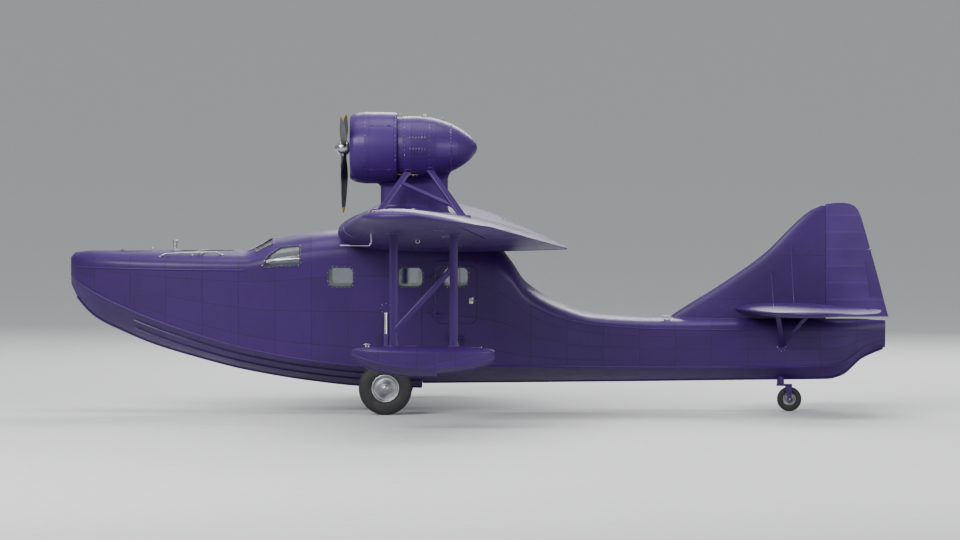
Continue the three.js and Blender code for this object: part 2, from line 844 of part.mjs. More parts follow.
// Decked bow with the mooring locker and its lid in the foredeck
function makeBow() {
  const bow = hullBody(bottomFore[0][0], cabinFrontX);
  const lidSeat = box(
    hatchFrontX - hatchGap,
    hatchBackX + hatchGap,
    -hatchHalfWidth - hatchGap,
    hatchHalfWidth + hatchGap,
    2341 - hatchThickness,
    2500,
  );
  const locker = box(
    hatchFrontX + hatchLedge,
    hatchBackX - hatchLedge,
    -hatchHalfWidth + hatchLedge,
    hatchHalfWidth - hatchLedge,
    lockerFloorZ,
    2500,
  );
  const lidRoom = box(
    hatchFrontX,
    hatchBackX,
    -hatchHalfWidth,
    hatchHalfWidth,
    2341 - hatchThickness + seatGap,
    2500,
  );
  return { bow: bow.subtract(lidSeat).subtract(locker), lid: bow.intersect(lidRoom) };
}

// Cabin floor in one piece with the raised cockpit floor, fitted to the hull's inside
function makeFloor() {
  const profile = [
    [cabinFrontX + 30, cockpitFloorZ - floorThickness],
    [cockpitBackX - floorThickness, cockpitFloorZ - floorThickness],
    [cockpitBackX - floorThickness, cabinFloorZ - floorThickness],
    [cabinBackX - 30, cabinFloorZ - floorThickness],
    [cabinBackX - 30, cabinFloorZ],
    [cockpitBackX, cabinFloorZ],
    [cockpitBackX, cockpitFloorZ],
    [cabinFrontX + 30, cockpitFloorZ],
  ];
  return prism(profile, 'xz', -1000, 1000)
    .intersect(hullBody(cabinFrontX - 20, cabinBackX + 20, wallThickness + seatGap, innerStep));
}

// Bulkhead behind the pilots, standing on the cockpit floor, with its doorway
function makeBulkhead() {
  const plate = box(cockpitBackX - 40, cockpitBackX, -1000, 1000, cockpitFloorZ + seatGap, 2800)
    .intersect(hullBody(cabinFrontX - 20, cabinBackX + 20, wallThickness + seatGap, innerStep));
  const doorway = prism(
    roundedRectangle(-300, 300, cockpitFloorZ - 200, 2380, 120),
    'yz',
    cockpitBackX - 100,
    cockpitBackX + 60,
  );
  return plate.subtract(doorway);
}

function makeInstrumentPanel() {
  const profile = [[-3870, 1650], [-3830, 1650], [-3790, 2200], [-3990, 2230], [-4010, 2200], [-3835, 2165]];
  return prism(profile, 'xz', -700, 700)
    .intersect(hullBody(cabinFrontX - 20, cabinBackX + 20, wallThickness + seatGap, innerStep));
}

// Control column: a cross tube, two uprights and two half-wheels on one rocking beam
function makeControls() {
  const parts = [box(-3560, -3500, -480, 480, cockpitFloorZ + seatGap, cockpitFloorZ + 40)];
  for (const side of [-1, 1]) {
    const y = side * 400;
    parts.push(bar([-3530, y, cockpitFloorZ + 30], [-3570, y, 1780], 22, 22, 6));
    parts.push(bar([-3620, y, 1780], [-3486, y, 1780], 18, 18, 8));
    const wheel = new THREE.TorusGeometry(135, 13, 5, 12);
    wheel.rotateY(Math.PI / 2);
    wheel.translate(-3490, y, 1780);
    parts.push(solid(wheel));
    parts.push(box(-3498, -3482, y - 136, y + 136, 1768, 1792));
  }
  return joined(parts);
}

// Pilot's bucket seat on a pedestal. The origin is on the floor below the seat.
function makePilotSeat() {
  const pan = box(-215, 235, -225, 225, 420, 450);
  const back = prism([[205, 430], [235, 430], [330, 1080], [300, 1080]], 'xz', -215, 215);
  const sides = [-1, 1].map((side) => prism(
    [[-180, 440], [235, 440], [275, 700], [150, 600], [-180, 520]],
    'xz',
    Math.min(side * 225, side * 205),
    Math.max(side * 225, side * 205),
  ));
  const legs = [[-150, -1], [-150, 1], [170, -1], [170, 1]].map(([x, side]) => (
    bar([x, side * 190, 14], [x, side * 180, 425], 16, 16, 6)));
  const skids = [-1, 1].map((side) => box(-200, 220, side * 190 - 20, side * 190 + 20, seatGap, 24));
  return joined([pan, back, ...sides, ...legs, ...skids]);
}

// Upholstered cabin bench along one side, a closed soft solid
function makeBench(side) {
  const seat = prism(
    roundedRectangle(Math.min(side * 250, side * 690), Math.max(side * 250, side * 690),
      cabinFloorZ + seatGap, cabinFloorZ + 430, 40),
    'yz',
    -2450,
    -1000,
  );
  const back = prism(
    roundedRectangle(Math.min(side * 600, side * 745), Math.max(side * 600, side * 745),
      cabinFloorZ + 330, cabinFloorZ + 940, 50),
    'yz',
    -2450,
    -1000,
  );
  return seat.add(back);
}

// Wing floats. Columns: x, keel, chine height, chine half width, deck edge height,
// deck half width, crown, all heights above the float's own bottom
const floatRows = [
  [-2050, 345, 375, 18, 400, 22, 420],
  [-1990, 270, 345, 75, 405, 84, 448],
  [-1800, 145, 275, 165, 400, 178, 472],
  [-1450, 45, 190, 236, 385, 246, 482],
  [-1050, 4, 145, 262, 375, 268, 484],
  [-700, 0, 138, 262, 372, 268, 482],
  [-690, 42, 150, 255, 372, 262, 482],
  [-300, 90, 190, 220, 372, 228, 474],
  [0, 150, 235, 155, 375, 162, 460],
  [170, 215, 285, 80, 380, 88, 440],
  [230, 280, 325, 24, 385, 30, 415],
];

function floatBody(side, grow = 0) {
  return loft(floatRows.map(([x, keel, chineZ, chineY, edgeZ, edgeY, crown]) => boatSection(
    x,
    floatZ + keel - grow,
    floatZ + chineZ,
    chineY + grow,
    floatZ + edgeZ,
    edgeY + grow,
    floatZ + crown + grow,
    side * floatY,
  )));
}

// N-shaped float struts with a side brace, cut to the float's deck and the wing's underside
function makeFloatStruts(side) {
  const y = side * floatY;
  const parts = [
    strut([-1380, y, floatZ + 380], [-1380, y, 2760], 130, 48),
    strut([-420, y, floatZ + 380], [-420, y, 2720], 130, 48),
    strut([-1380, y, 1160], [-420, y, 2200], 90, 36),
    strut([-1380, y, 1250], [-1380, side * 4900, 2620], 90, 36),
  ];
  return joined(parts).subtract(wingPanel(side, seatGap)).subtract(floatBody(side, seatGap));
}

// Engine group, turned about the engine's axis. Rows are [x, radius].
const cowlProfile = [
  [-2205, 466], [cowlFrontX, 500], [-2205, 545], [-2130, 586], [-1960, cowlOuter], [-1700, cowlOuter],
  [cowlBackX, 603], [cowlBackX, 593], [-1700, cowlInner], [-1960, cowlInner], [-2120, 545],
  [-2205, 466],
];
const nacelleProfile = (grow) => [
  [firewallX - grow, 0], [firewallX - grow, 500 + grow], [-1470, 520 + grow], [-1250, 540 + grow],
  [-1000, 536 + grow], [-760, 500 + grow], [-520, 420 + grow], [-320, 318 + grow], [-170, 205 + grow],
  [-80, 105 + grow], [-47 + grow, 0],
];

function onEngineAxis(geometry) {
  return geometry.translate(0, 0, engineZ);
}

const makeCowling = () => onEngineAxis(turned(cowlProfile, cowlSegments, Math.PI / cowlSegments));
const nacelleBody = (grow = 0) => solid(onEngineAxis(turned(nacelleProfile(grow), 28)));

// Radial engine: crankcase, gear case and finned cylinders with a boss that holds the cowling
function makeEngine() {
  const caseRows = [
    [firewallX - seatGap, 0], [firewallX - seatGap, 300], [-1560, 300], [-1600, 235], [-1700, 235],
    [-1730, 262], [-1930, 262], [-1960, 215], [-2030, 190], [-2120, 130], [-2160, 78], [-2245, 70],
    [-2245, 0],
  ];
  const bossTop = cowlInner * Math.cos(Math.PI / cowlSegments) - seatGap;
  const cylinderRows = [[235, 0], [235, 86]];
  for (const fin of [320, 400]) {
    cylinderRows.push([fin, 86], [fin + 5, 106], [fin + 25, 106], [fin + 30, 86]);
  }
  cylinderRows.push([480, 112], [540, 104], [552, 0]);
  const parts = [solid(turned(caseRows, 18))];
  for (let i = 0; i < cylinderCount; i += 1) {
    const one = turned(cylinderRows, 8);
    one.rotateY(-Math.PI / 2);
    one.translate(cylinderX, 0, 0);
    one.rotateX(2 * Math.PI * i / cylinderCount);
    const boss = new THREE.BoxGeometry(56, 40, bossTop - 540);
    boss.translate(cylinderX, 0, (bossTop + 540) / 2);
    boss.rotateX(2 * Math.PI * i / cylinderCount);
    parts.push(solid(one), solid(boss));
  }
  return geometryOf(joined(parts)).translate(0, 0, engineZ);
}

// Exhaust collector ring on the firewall with two tail pipes below the nacelle
function makeExhaust() {
  const ringRadius = 425;
  const tube = 42;
  const ring = new THREE.TorusGeometry(ringRadius, tube, 6, 24);
  ring.rotateY(Math.PI / 2);
  ring.translate(firewallX - tube * Math.sin(Math.PI / 3) - seatGap, 0, 0);
  const parts = [solid(ring)];
  for (const side of [-1, 1]) {
    const place = (x, radius) => {
      const angle = side * THREE.MathUtils.degToRad(35);
      return [x, radius * Math.sin(angle), -radius * Math.cos(angle)];
    };
    const route = [
      [-1545, 430], [-1530, 520], [-1490, 552], [-1380, 566], [-1240, 572], [-1060, 574],
    ].map(([x, radius]) => new THREE.Vector3(...place(x, radius)));
    const shape = new THREE.Shape();
    shape.absellipse(0, 0, 21, 21, 0, 2 * Math.PI);
    const curve = new THREE.CatmullRomCurve3(route);
    parts.push(solid(new THREE.ExtrudeGeometry(shape, {
      steps: 8, curveSegments: 4, bevelEnabled: false, extrudePath: curve,
    })));
  }
  return geometryOf(joined(parts)).translate(0, 0, engineZ);
}

// Propeller blade rows. Columns: distance from the axis, chord, thickness, blade angle in degrees
const bladeRows = [
  [90, 84, 78, 58],
  [200, 110, 60, 52],
  [350, 175, 38, 43],
  [560, 218, 28, 34],
  [820, 204, 18, 26],
  [1020, 146, 12, 21],
  [1100, 76, 8, 19],
  [propellerRadius, 24, 6, 19],
];

// The origin is in the blades' plane on the engine's axis.
function makePropeller() {
  const hubRows = [[94.7, 0], [94.7, 92], [70, 118], [-46, 118], [-84, 96], [-132, 44], [-146, 0]];
  const parts = [solid(turned(hubRows, 20))];
  for (let i = 0; i < bladeCount; i += 1) {
    const sections = bladeRows.map(([radius, chord, thickness, angle]) => {
      const turn = THREE.MathUtils.degToRad(angle);
      return aerofoil(thickness / chord, 0.02, 4).map(([part, height]) => {
        const along = (part - 0.4) * chord;
        const up = height * chord;
        return new THREE.Vector3(
          along * Math.sin(turn) - up * Math.cos(turn),
          along * Math.cos(turn) + up * Math.sin(turn),
          -radius,
        );
      });
    });
    const blade = geometryOf(loft(sections));
    blade.rotateX(2 * Math.PI * i / bladeCount);
    parts.push(solid(blade));
  }
  return geometryOf(joined(parts));
}

// Slim fairing between wing and nacelle, with the controls and pipes inside
function makePylon() {
  const outline = aerofoil(0.2, 0, 10).map(([part, height]) => [-1700 + part * 1150, height * 1150]);
  const cowlRoom = solid(onEngineAxis(turned(
    [
      [cowlFrontX - 10, 0],
      [cowlFrontX - 10, cowlOuter + 2],
      [cowlBackX + 8, cowlOuter + 2],
      [cowlBackX + 8, 0],
    ],
    cowlSegments,
    Math.PI / cowlSegments,
  )));
  return prism(outline, 'xy', 2800, 3900)
    .subtract(wingCentre(seatGap))
    .subtract(nacelleBody(seatGap))
    .subtract(cowlRoom);
}

// N-shaped engine struts on one side, from the wing's spars to the nacelle
function makeMountStruts(side) {
  const at = (x, y, z) => [x, side * y, z];
  const frontFoot = at(-1760, 640, 2900);
  const frontHead = at(-1230, 330, 3780);
  const rearFoot = at(-260, 640, 2820);
  const rearHead = at(-860, 330, 3780);
  const between = (a, b, t) => a.map((value, i) => value + (b[i] - value) * t);
  return joined([
    strut(frontFoot, frontHead, 110, 52),
    strut(rearFoot, rearHead, 110, 52),
    strut(between(frontFoot, frontHead, 0.7), between(rearFoot, rearHead, 0.3), 70, 36),
  ]).subtract(wingCentre(seatGap)).subtract(nacelleBody(seatGap));
}

// Tailplane strut pair on one side, joined near its foot on the hull
function makeTailStruts(side) {
  const foot = [5150, side * 215, 690];
  const knee = [5165, side * 330, 735];
  return joined([
    strut(foot, knee, 100, 44),
    strut(knee, [5020, side * 1500, 1300], 80, 34),
    strut(knee, [5520, side * 1500, 1300], 80, 34),
  ]).subtract(tailplaneBody(side, seatGap))
    .subtract(hullBody(cabinBackX + seatGap, bottomAft.at(-1)[0], -seatGap));
}

// Main leg on one side: two hinged arms at the chine, a shock strut and the axle
function makeLeg(side) {
  const wheelZ = wheelRadius - keelHeight;
  const at = (x, y, z) => [x, side * y, z];
  const knuckle = at(wheelX, 1035, wheelZ + 20);
  const parts = [
    strut(at(wheelX - 430, 790, 520), knuckle, 96, 60),
    strut(at(wheelX + 430, 790, 520), knuckle, 96, 60),
    bar(knuckle, at(wheelX, 905, 930), 58, 58, 12),
    bar(at(wheelX, 930, 800), at(wheelX, 830, 1420), 40, 40, 12),
    bar(at(wheelX, 990, wheelZ), at(wheelX, wheelY + 125, wheelZ), axleRadius, axleRadius, wheelSegments),
  ];
  const block = new THREE.SphereGeometry(86, 10, 6);
  block.translate(...knuckle);
  parts.push(solid(block));
  return joined(parts).subtract(hullBody(cabinFrontX, cabinBackX, -seatGap));
}

// Tyre and hub profiles, turned about X and then laid along Y. Rows are [x, radius].
function makeTyre(radius, width, rim) {
  const w = width / 2;
  const rows = [
    [-w * 0.66, rim], [-w, rim + (radius - rim) * 0.4], [-w * 0.88, rim + (radius - rim) * 0.8],
    [-w * 0.35, radius], [w * 0.35, radius], [w * 0.88, rim + (radius - rim) * 0.8],
    [w, rim + (radius - rim) * 0.4], [w * 0.66, rim], [-w * 0.66, rim],
  ];
  return turned(rows, wheelSegments).rotateZ(Math.PI / 2);
}

function makeHub(rim, width, bore) {
  const w = width / 2;
  const rows = [
    [-w, bore], [-w, bore * 1.9], [-w * 0.3, rim * 0.84], [-w * 0.7, rim],
    [w * 0.7, rim], [w * 0.3, rim * 0.84], [w, bore * 1.9], [w, bore], [-w, bore],
  ];
  return turned(rows, wheelSegments).rotateZ(Math.PI / 2);
}

// Swivelling tail fork and the post that carries it under the keel
const forkCrownZ = 45;
function makeTailPost() {
  return bar([tailPivotX, 0, forkCrownZ + seatGap], [tailPivotX, 0, 330], 62, 62, 20)
    .subtract(hullBody(cabinBackX + seatGap, bottomAft.at(-1)[0], -seatGap));
}

function makeTailFork() {
  const axleZ = tailWheelRadius - keelHeight;
  const crown = box(tailPivotX - 70, tailWheelX + 45, -112, 112, 16, forkCrownZ);
  const arms = [-1, 1].map((side) => prism(
    [
      [tailWheelX - 70, 30],
      [tailWheelX + 45, 30],
      [tailWheelX + 34, axleZ - 34],
      [tailWheelX - 34, axleZ - 34],
    ],
    'xz',
    Math.min(side * 84, side * 112),
    Math.max(side * 84, side * 112),
  ));
  const axleEnds = [-100, 100].map((y) => [tailWheelX, y, axleZ]);
  const axle = bar(axleEnds[0], axleEnds[1], tailAxleRadius, tailAxleRadius, wheelSegments);
  return joined([crown, ...arms, axle]);
}

// The assembly: one group for each part of the craft, all inside the lifted airframe
const craft = new THREE.Group();
craft.name = 'flying_boat';
const airframe = new THREE.Group();
airframe.name = 'airframe';
airframe.position.z = keelHeight;
craft.add(airframe);

const groups = {};
for (const name of ['hull', 'cabin', 'wing', 'power', 'tail', 'gear']) {
  groups[name] = new THREE.Group();
  groups[name].name = name;
  airframe.add(groups[name]);
}

function put(group, name, shape, material, place = [0, 0, 0]) {
  const geometry = shape.isBufferGeometry ? shape : geometryOf(shape);
  const mesh = new THREE.Mesh(geometry, materials[material]);
  mesh.name = name;
  mesh.position.set(...place);
  groups[group].add(mesh);
}

const sides = [['left', -1], ['right', 1]];

const { bow, lid } = makeBow();
put('hull', 'hull_bow', bow, 'hullBlue');
put('hull', 'bow_hatch', lid, 'doorBlue');
put('hull', 'hull_cabin', makeCabin(), 'hullBlue');
const afterbody = hullBody(cabinBackX + seatGap, bottomAft.at(-1)[0]).subtract(wingCentre(seatGap));
put('hull', 'hull_afterbody', afterbody, 'hullBlue');
put('hull', 'cabin_door', makeDoor(), 'doorBlue');

put('cabin', 'door_glass', paneLayer.intersect(windowCut(doorPaneX, -1, seatGap)), 'glass');
for (const [name, x, side] of cabinWindows) {
  put('cabin', `cabin_glass_${name}`, paneLayer.intersect(windowCut(x, side, seatGap)), 'glass');
}
put('cabin', 'cabin_floor', makeFloor(), 'cabinGreen');
put('cabin', 'cockpit_bulkhead', makeBulkhead(), 'cabinGreen');
put('cabin', 'instrument_panel', makeInstrumentPanel(), 'panelBlack');
put('cabin', 'control_columns', makeControls(), 'panelBlack');
for (const [name, side] of sides) {
  put('cabin', `windscreen_${name}`, paneLayer.intersect(screenCut(side, seatGap)), 'glass');
  put('cabin', `cockpit_glass_${name}`, paneLayer.intersect(sidePaneCut(side, seatGap)), 'glass');
  put('cabin', `pilot_seat_${name}`, makePilotSeat(), 'seatMetal', [-3200, side * 400, cockpitFloorZ]);
  put('cabin', `bench_${name}`, makeBench(side), 'benchCloth');
}

put('wing', 'wing_centre', wingCentre(), 'wingBlue');
for (const [name, side] of sides) {
  const { moving, fixed } = makeWingSide(side);
  put('wing', `wing_${name}`, fixed, 'wingBlue');
  put('wing', `aileron_${name}`, moving, 'wingBlue');
  put('wing', `float_${name}`, floatBody(side), 'hullBlue');
  put('wing', `float_struts_${name}`, makeFloatStruts(side), 'strutBlue');
}

put('power', 'nacelle', nacelleBody(), 'cowlBlue');
put('power', 'cowling', makeCowling(), 'cowlBlue');
put('power', 'engine', makeEngine(), 'engineGrey');
put('power', 'exhaust_ring', makeExhaust(), 'exhaustBrown');
put('power', 'pylon_fairing', makePylon(), 'cowlBlue');
put('power', 'propeller', makePropeller(), 'bladeMetal', [propellerX, 0, engineZ]);
for (const [name, side] of sides) {
  put('power', `mount_struts_${name}`, makeMountStruts(side), 'strutBlue');
}

const { fin, rudder } = makeFinAndRudder();
put('tail', 'fin', fin, 'wingBlue');
put('tail', 'rudder', rudder, 'wingBlue');
for (const [name, side] of sides) {
  const { elevator, tailplane } = makeTailplaneSide(side);
  put('tail', `tailplane_${name}`, tailplane, 'wingBlue');
  put('tail', `elevator_${name}`, elevator, 'wingBlue');
  put('tail', `tail_struts_${name}`, makeTailStruts(side), 'strutBlue');
}

for (const [name, side] of sides) {
  const centre = [wheelX, side * wheelY, wheelRadius - keelHeight];
  put('gear', `gear_leg_${name}`, makeLeg(side), 'strutBlue');
  const tyre = makeTyre(wheelRadius, wheelWidth, rimRadius);
  const hub = makeHub(rimRadius - seatGap, hubWidth, axleRadius + seatGap);
  put('gear', `main_tyre_${name}`, tyre, 'tyreRubber', centre);
  put('gear', `main_hub_${name}`, hub, 'hubMetal', centre);
}
const tailCentre = [tailWheelX, 0, tailWheelRadius - keelHeight];
put('gear', 'tail_post', makeTailPost(), 'strutBlue');
put('gear', 'tail_fork', makeTailFork(), 'strutBlue');
const tailTyre = makeTyre(tailWheelRadius, tailWheelWidth, tailRimRadius);
const tailHub = makeHub(tailRimRadius - seatGap, tailHubWidth, tailAxleRadius + seatGap);
put('gear', 'tail_tyre', tailTyre, 'tyreRubber', tailCentre);
put('gear', 'tail_hub', tailHub, 'hubMetal', tailCentre);

export default craft;
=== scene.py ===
# Cabin flying boat on its wheels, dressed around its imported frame.
# Sizes are metres. Heights are measured from the lowest point of the keel, and the put function lifts
# every piece by keelHeight, so that the tyres stand on the floor.
import functools
from math import atan2, ceil, cos, hypot, pi, radians, sin, tan

import bmesh
import bpy
import numpy as np
from mathutils.bvhtree import BVHTree
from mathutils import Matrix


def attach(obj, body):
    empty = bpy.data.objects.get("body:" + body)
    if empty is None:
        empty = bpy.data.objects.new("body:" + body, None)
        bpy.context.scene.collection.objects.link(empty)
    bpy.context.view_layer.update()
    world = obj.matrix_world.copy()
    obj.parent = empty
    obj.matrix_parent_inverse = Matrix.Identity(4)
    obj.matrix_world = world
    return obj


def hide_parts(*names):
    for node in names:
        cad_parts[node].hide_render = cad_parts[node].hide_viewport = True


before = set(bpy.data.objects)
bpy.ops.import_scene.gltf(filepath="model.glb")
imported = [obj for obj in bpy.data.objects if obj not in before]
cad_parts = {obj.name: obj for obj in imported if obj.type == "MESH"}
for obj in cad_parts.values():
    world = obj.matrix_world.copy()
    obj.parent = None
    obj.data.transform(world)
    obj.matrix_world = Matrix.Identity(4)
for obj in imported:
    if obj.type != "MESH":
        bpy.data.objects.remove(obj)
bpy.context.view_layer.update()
keelHeight = 0.42
forwardX, sideways, upZ = (1.0, 0.0, 0.0), (0.0, 1.0, 0.0), (0.0, 0.0, 1.0)
hands = (("left", -1), ("right", 1))
print("frame loaded:", len(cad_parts), "nodes")

# Camera, lights and floor
stage = {
    "lens": 197.0, "distance": 90.0, "elevation": 1.4, "lookAt": (0.0, 0.0, 2.42), "farthest": 3000.0,
    "floorReach": 420.0, "wallHeight": 260.0, "wallSpread": 1.6, "sky": "#dfe2e6", "skyStrength": 0.75,
}


def makeCamera():
    camera = bpy.data.cameras.new("camera")
    camera.lens = stage["lens"]
    camera.clip_end = stage["farthest"]
    piece = bpy.data.objects.new("camera", camera)
    rise, reach = radians(stage["elevation"]), stage["distance"]
    x, y, z = stage["lookAt"]
    piece.location = (x, y - reach * cos(rise), z + reach * sin(rise))
    piece.rotation_euler = (pi / 2 - rise, 0, 0)
    bpy.context.scene.collection.objects.link(piece)
    bpy.context.scene.camera = piece


def makeSoftbox(name, place, aim, size, power):
    # a rectangular area light at a place, turned towards its aim
    light = bpy.data.lights.new(name, "AREA")
    light.shape = "RECTANGLE"
    light.size, light.size_y = size
    light.energy = power
    piece = bpy.data.objects.new(name, light)
    x, y, z = np.array(aim, float) - np.array(place, float)
    piece.location = place
    piece.rotation_euler = (atan2(hypot(x, y), -z), 0, atan2(-x, y))
    bpy.context.scene.collection.objects.link(piece)


makeCamera()
makeSoftbox("keyLight", (-17, -27, 19), (0, 0, 2), (20, 12), 11500)
makeSoftbox("fillLight", (22, -24, 9), (1, 0, 2), (16, 10), 3600)
makeSoftbox("rimLight", (6, 26, 20), (0, 0, 3), (22, 9), 8500)
makeSoftbox("topLight", (0, -2, 26), (0, 0, 2), (20, 14), 3600)
for lampX, lampPower in ((-3.3, 12), (-2.2, 16), (-1.1, 16)):
    makeSoftbox("cabinLight", (lampX, 0, 2.66), (lampX, 0, 0), (0.5, 0.5), lampPower)
print("camera and lights placed")


# Numbers along a line and shapes on a grid
def smoothColumn(table, column, x):
    # monotone cubic through a table's rows: the slope at a row is the harmonic mean of its neighbours'
    rows = np.array(table, float)
    knots, values = rows[:, 0], rows[:, column]
    step = np.diff(knots)
    slope = np.diff(values) / step
    before, after = slope[:-1], slope[1:]
    total = np.where(before + after == 0, 1, before + after)
    inner = np.where(before * after > 0, 2 * before * after / total, 0)
    tangent = np.concatenate([slope[:1], inner, slope[-1:]])
    x = np.clip(x, knots[0], knots[-1])
    i = np.clip(np.searchsorted(knots, x) - 1, 0, len(step) - 1)
    u = (x - knots[i]) / step[i]
    return ((1 + 2 * u) * (1 - u) ** 2 * values[i] + u * (1 - u) ** 2 * step[i] * tangent[i]
            + u * u * (3 - 2 * u) * values[i + 1] - u * u * (1 - u) * step[i] * tangent[i + 1])


def stationsOf(low, high, step, table):
    # even stations from low to high, with the table's own rows among them
    count = max(2, ceil((high - low) / step) + 1)
    knots = [row[0] for row in table if low < row[0] < high]
    line = np.unique(np.round(np.concatenate([np.linspace(low, high, count), knots]), 5))
    keep = np.concatenate([[True], np.diff(line) > step * 0.2])
    keep[-1] = True
    return line[keep]


def spanLine(low, high, count, tip=0.0):
    # even stations, drawn together towards a rounded tip as u becomes (1 - tip)·u + tip·sin(90°·u)
    u = np.linspace(0, 1, count)
    u = (1 - tip) * u + tip * np.sin(u * pi / 2)
    return low + (high - low) * u


def grid(points, wrapU=False, wrapV=False, caps=False, uv=None):
    # quads between neighbours of a grid of points; wrap closes a direction, caps fill both end rings
    nu, nv = points.shape[:2]
    i, j = np.meshgrid(np.arange(nu if wrapU else nu - 1), np.arange(nv if wrapV else nv - 1), indexing="ij")
    i2, j2 = (i + 1) % nu, (j + 1) % nv
    quads = np.stack([i * nv + j, i * nv + j2, i2 * nv + j2, i2 * nv + j], -1).reshape(-1, 4)
    if uv is None:
        uv = np.stack(np.meshgrid(np.arange(nu) * 0.1, np.arange(nv) * 0.1, indexing="ij"), -1)
    rings = [list(range(nv))[::-1], list(range((nu - 1) * nv, nu * nv))] if caps else []
    return {"points": points.reshape(-1, 3), "quads": quads, "rings": rings, "uv": uv.reshape(-1, 2)}


def stacked(*parts):
    # coordinates of any matching shapes, broadcast and joined as the last direction
    return np.stack(np.broadcast_arrays(*parts), -1)


def unit(vectors):
    return vectors / np.maximum(np.linalg.norm(vectors, axis=-1, keepdims=True), 1e-12)


def evenTurns(count):
    # angles at even steps of a full turn, from 0
    return np.arange(count) * 2 * pi / count


def spokes(axis, count):
    # unit vectors at even turns about an axis, all square to it: across·cos + (axis×across)·sin
    across = unit(np.cross(axis, upZ if abs(axis[2]) < 0.9 else forwardX))
    a = evenTurns(count)[:, None]
    return np.cos(a) * across + np.sin(a) * np.cross(axis, across)


def curved(points, per=8):
    # cubic spline through the points: (2b + (c-a)t + (2a-5b+4c-d)t² + (3b-a-3c+d)t³) / 2
    p = np.array(points, float)
    p = np.concatenate([2 * p[:1] - p[1:2], p, 2 * p[-1:] - p[-2:-1]])
    a, b, c, d = (part[:, None] for part in (p[:-3], p[1:-2], p[2:-1], p[3:]))
    t = (np.arange(per) / per)[None, :, None]
    line = (2 * b + (c - a) * t + (2 * a - 5 * b + 4 * c - d) * t ** 2 + (3 * b - a - 3 * c + d) * t ** 3) / 2
    return np.concatenate([line.reshape(-1, p.shape[1]), p[-2:-1]])


def tube(path, radius, sides=12, closed=False, flat=1.0, up=upZ):
    # a circle of that radius carried along a path; flat squeezes it across the up direction
    path = np.array(path, float)
    radius = np.broadcast_to(np.asarray(radius, float), len(path))[:, None, None]
    ahead = unit(np.roll(path, -1, 0) - np.roll(path, 1, 0) if closed else np.gradient(path, axis=0))
    reference = np.broadcast_to(np.array(up, float), path.shape)
    close = np.abs((reference * ahead).sum(-1, keepdims=True)) > 0.95
    reference = np.where(close, (0.0, 1.0, 0.02), reference)
    side = unit(np.cross(ahead, reference))
    rise = np.cross(side, ahead)
    a = evenTurns(sides)[None, :, None]
    points = path[:, None] + radius * (np.cos(a) * side[:, None] + flat * np.sin(a) * rise[:, None])
    return grid(points, wrapU=closed, wrapV=True, caps=not closed)


def lathe(rows, start, along, sides=32, closed=False):
    # rows of (distance along the axis, radius) turned about the axis that leaves start towards along
    rows = np.array(rows, float)
    axis = unit(np.array(along, float))
    points = np.array(start, float) + rows[:, :1, None] * axis + rows[:, 1:, None] * spokes(axis, sides)[None]
    length = np.concatenate([[0], np.cumsum(np.linalg.norm(np.diff(rows, axis=0), axis=1))])
    uv = stacked(length[:, None], np.abs(evenTurns(sides) - pi)[None] * np.abs(rows[:, 1]).max())
    return grid(points, wrapU=closed, wrapV=True, caps=not closed, uv=uv)


def rod(start, stop, radius, sides=16, radiusEnd=None):
    # a plain round bar between two points, or a cone where the end has a radius of its own
    a, b = np.array(start, float), np.array(stop, float)
    return lathe([(0, radius), (float(np.linalg.norm(b - a)), radiusEnd or radius)], a, b - a, sides)


def slab(outline, low, high, plane="xy"):
    # an outline in one plane, pushed from low to high across it
    flat = np.array(outline, float)
    order = {"xy": (0, 1, 2), "xz": (0, 2, 1), "yz": (2, 0, 1)}[plane]
    levels = [np.column_stack([flat, np.full(len(flat), level)])[:, order] for level in (low, high)]
    return grid(np.array(levels), wrapV=True, caps=True)


def block(low, high):
    # a box between two opposite corners
    (x0, y0, z0), (x1, y1, z1) = low, high
    return slab([(x0, y0), (x1, y0), (x1, y1), (x0, y1)], z0, z1)


def arc(centre, radius, start, stop, count):
    # points of a circle from one angle to another, in degrees
    a = np.radians(np.linspace(start, stop, count))
    return [(centre[0] + radius * cos(t), centre[1] + radius * sin(t)) for t in a]


def roundedOutline(a0, a1, b0, b1, radius, count=6):
    # a rectangle whose corners are quarter circles
    r = radius
    return (arc((a1 - r, b1 - r), r, 0, 90, count) + arc((a0 + r, b1 - r), r, 90, 180, count)
            + arc((a0 + r, b0 + r), r, 180, 270, count) + arc((a1 - r, b0 + r), r, 270, 360, count))


def moved(part, offset):
    return {**part, "points": part["points"] + np.array(offset, float)}


def flipped(part, side):
    # the part as it is, or its mirror image across the middle where side is -1
    return {**part, "points": part["points"] * (1, side, 1)}


def spun(part, centre, axis, angle):
    # turned about an axis through centre: v·cos + (k×v)·sin + k(k·v)(1-cos)
    k = unit(np.array(axis, float))
    v = part["points"] - np.array(centre, float)
    c, s = cos(angle), sin(angle)
    turned = v * c + np.cross(k, v) * s + np.outer(v @ k, k) * (1 - c)
    return {**part, "points": turned + np.array(centre, float)}


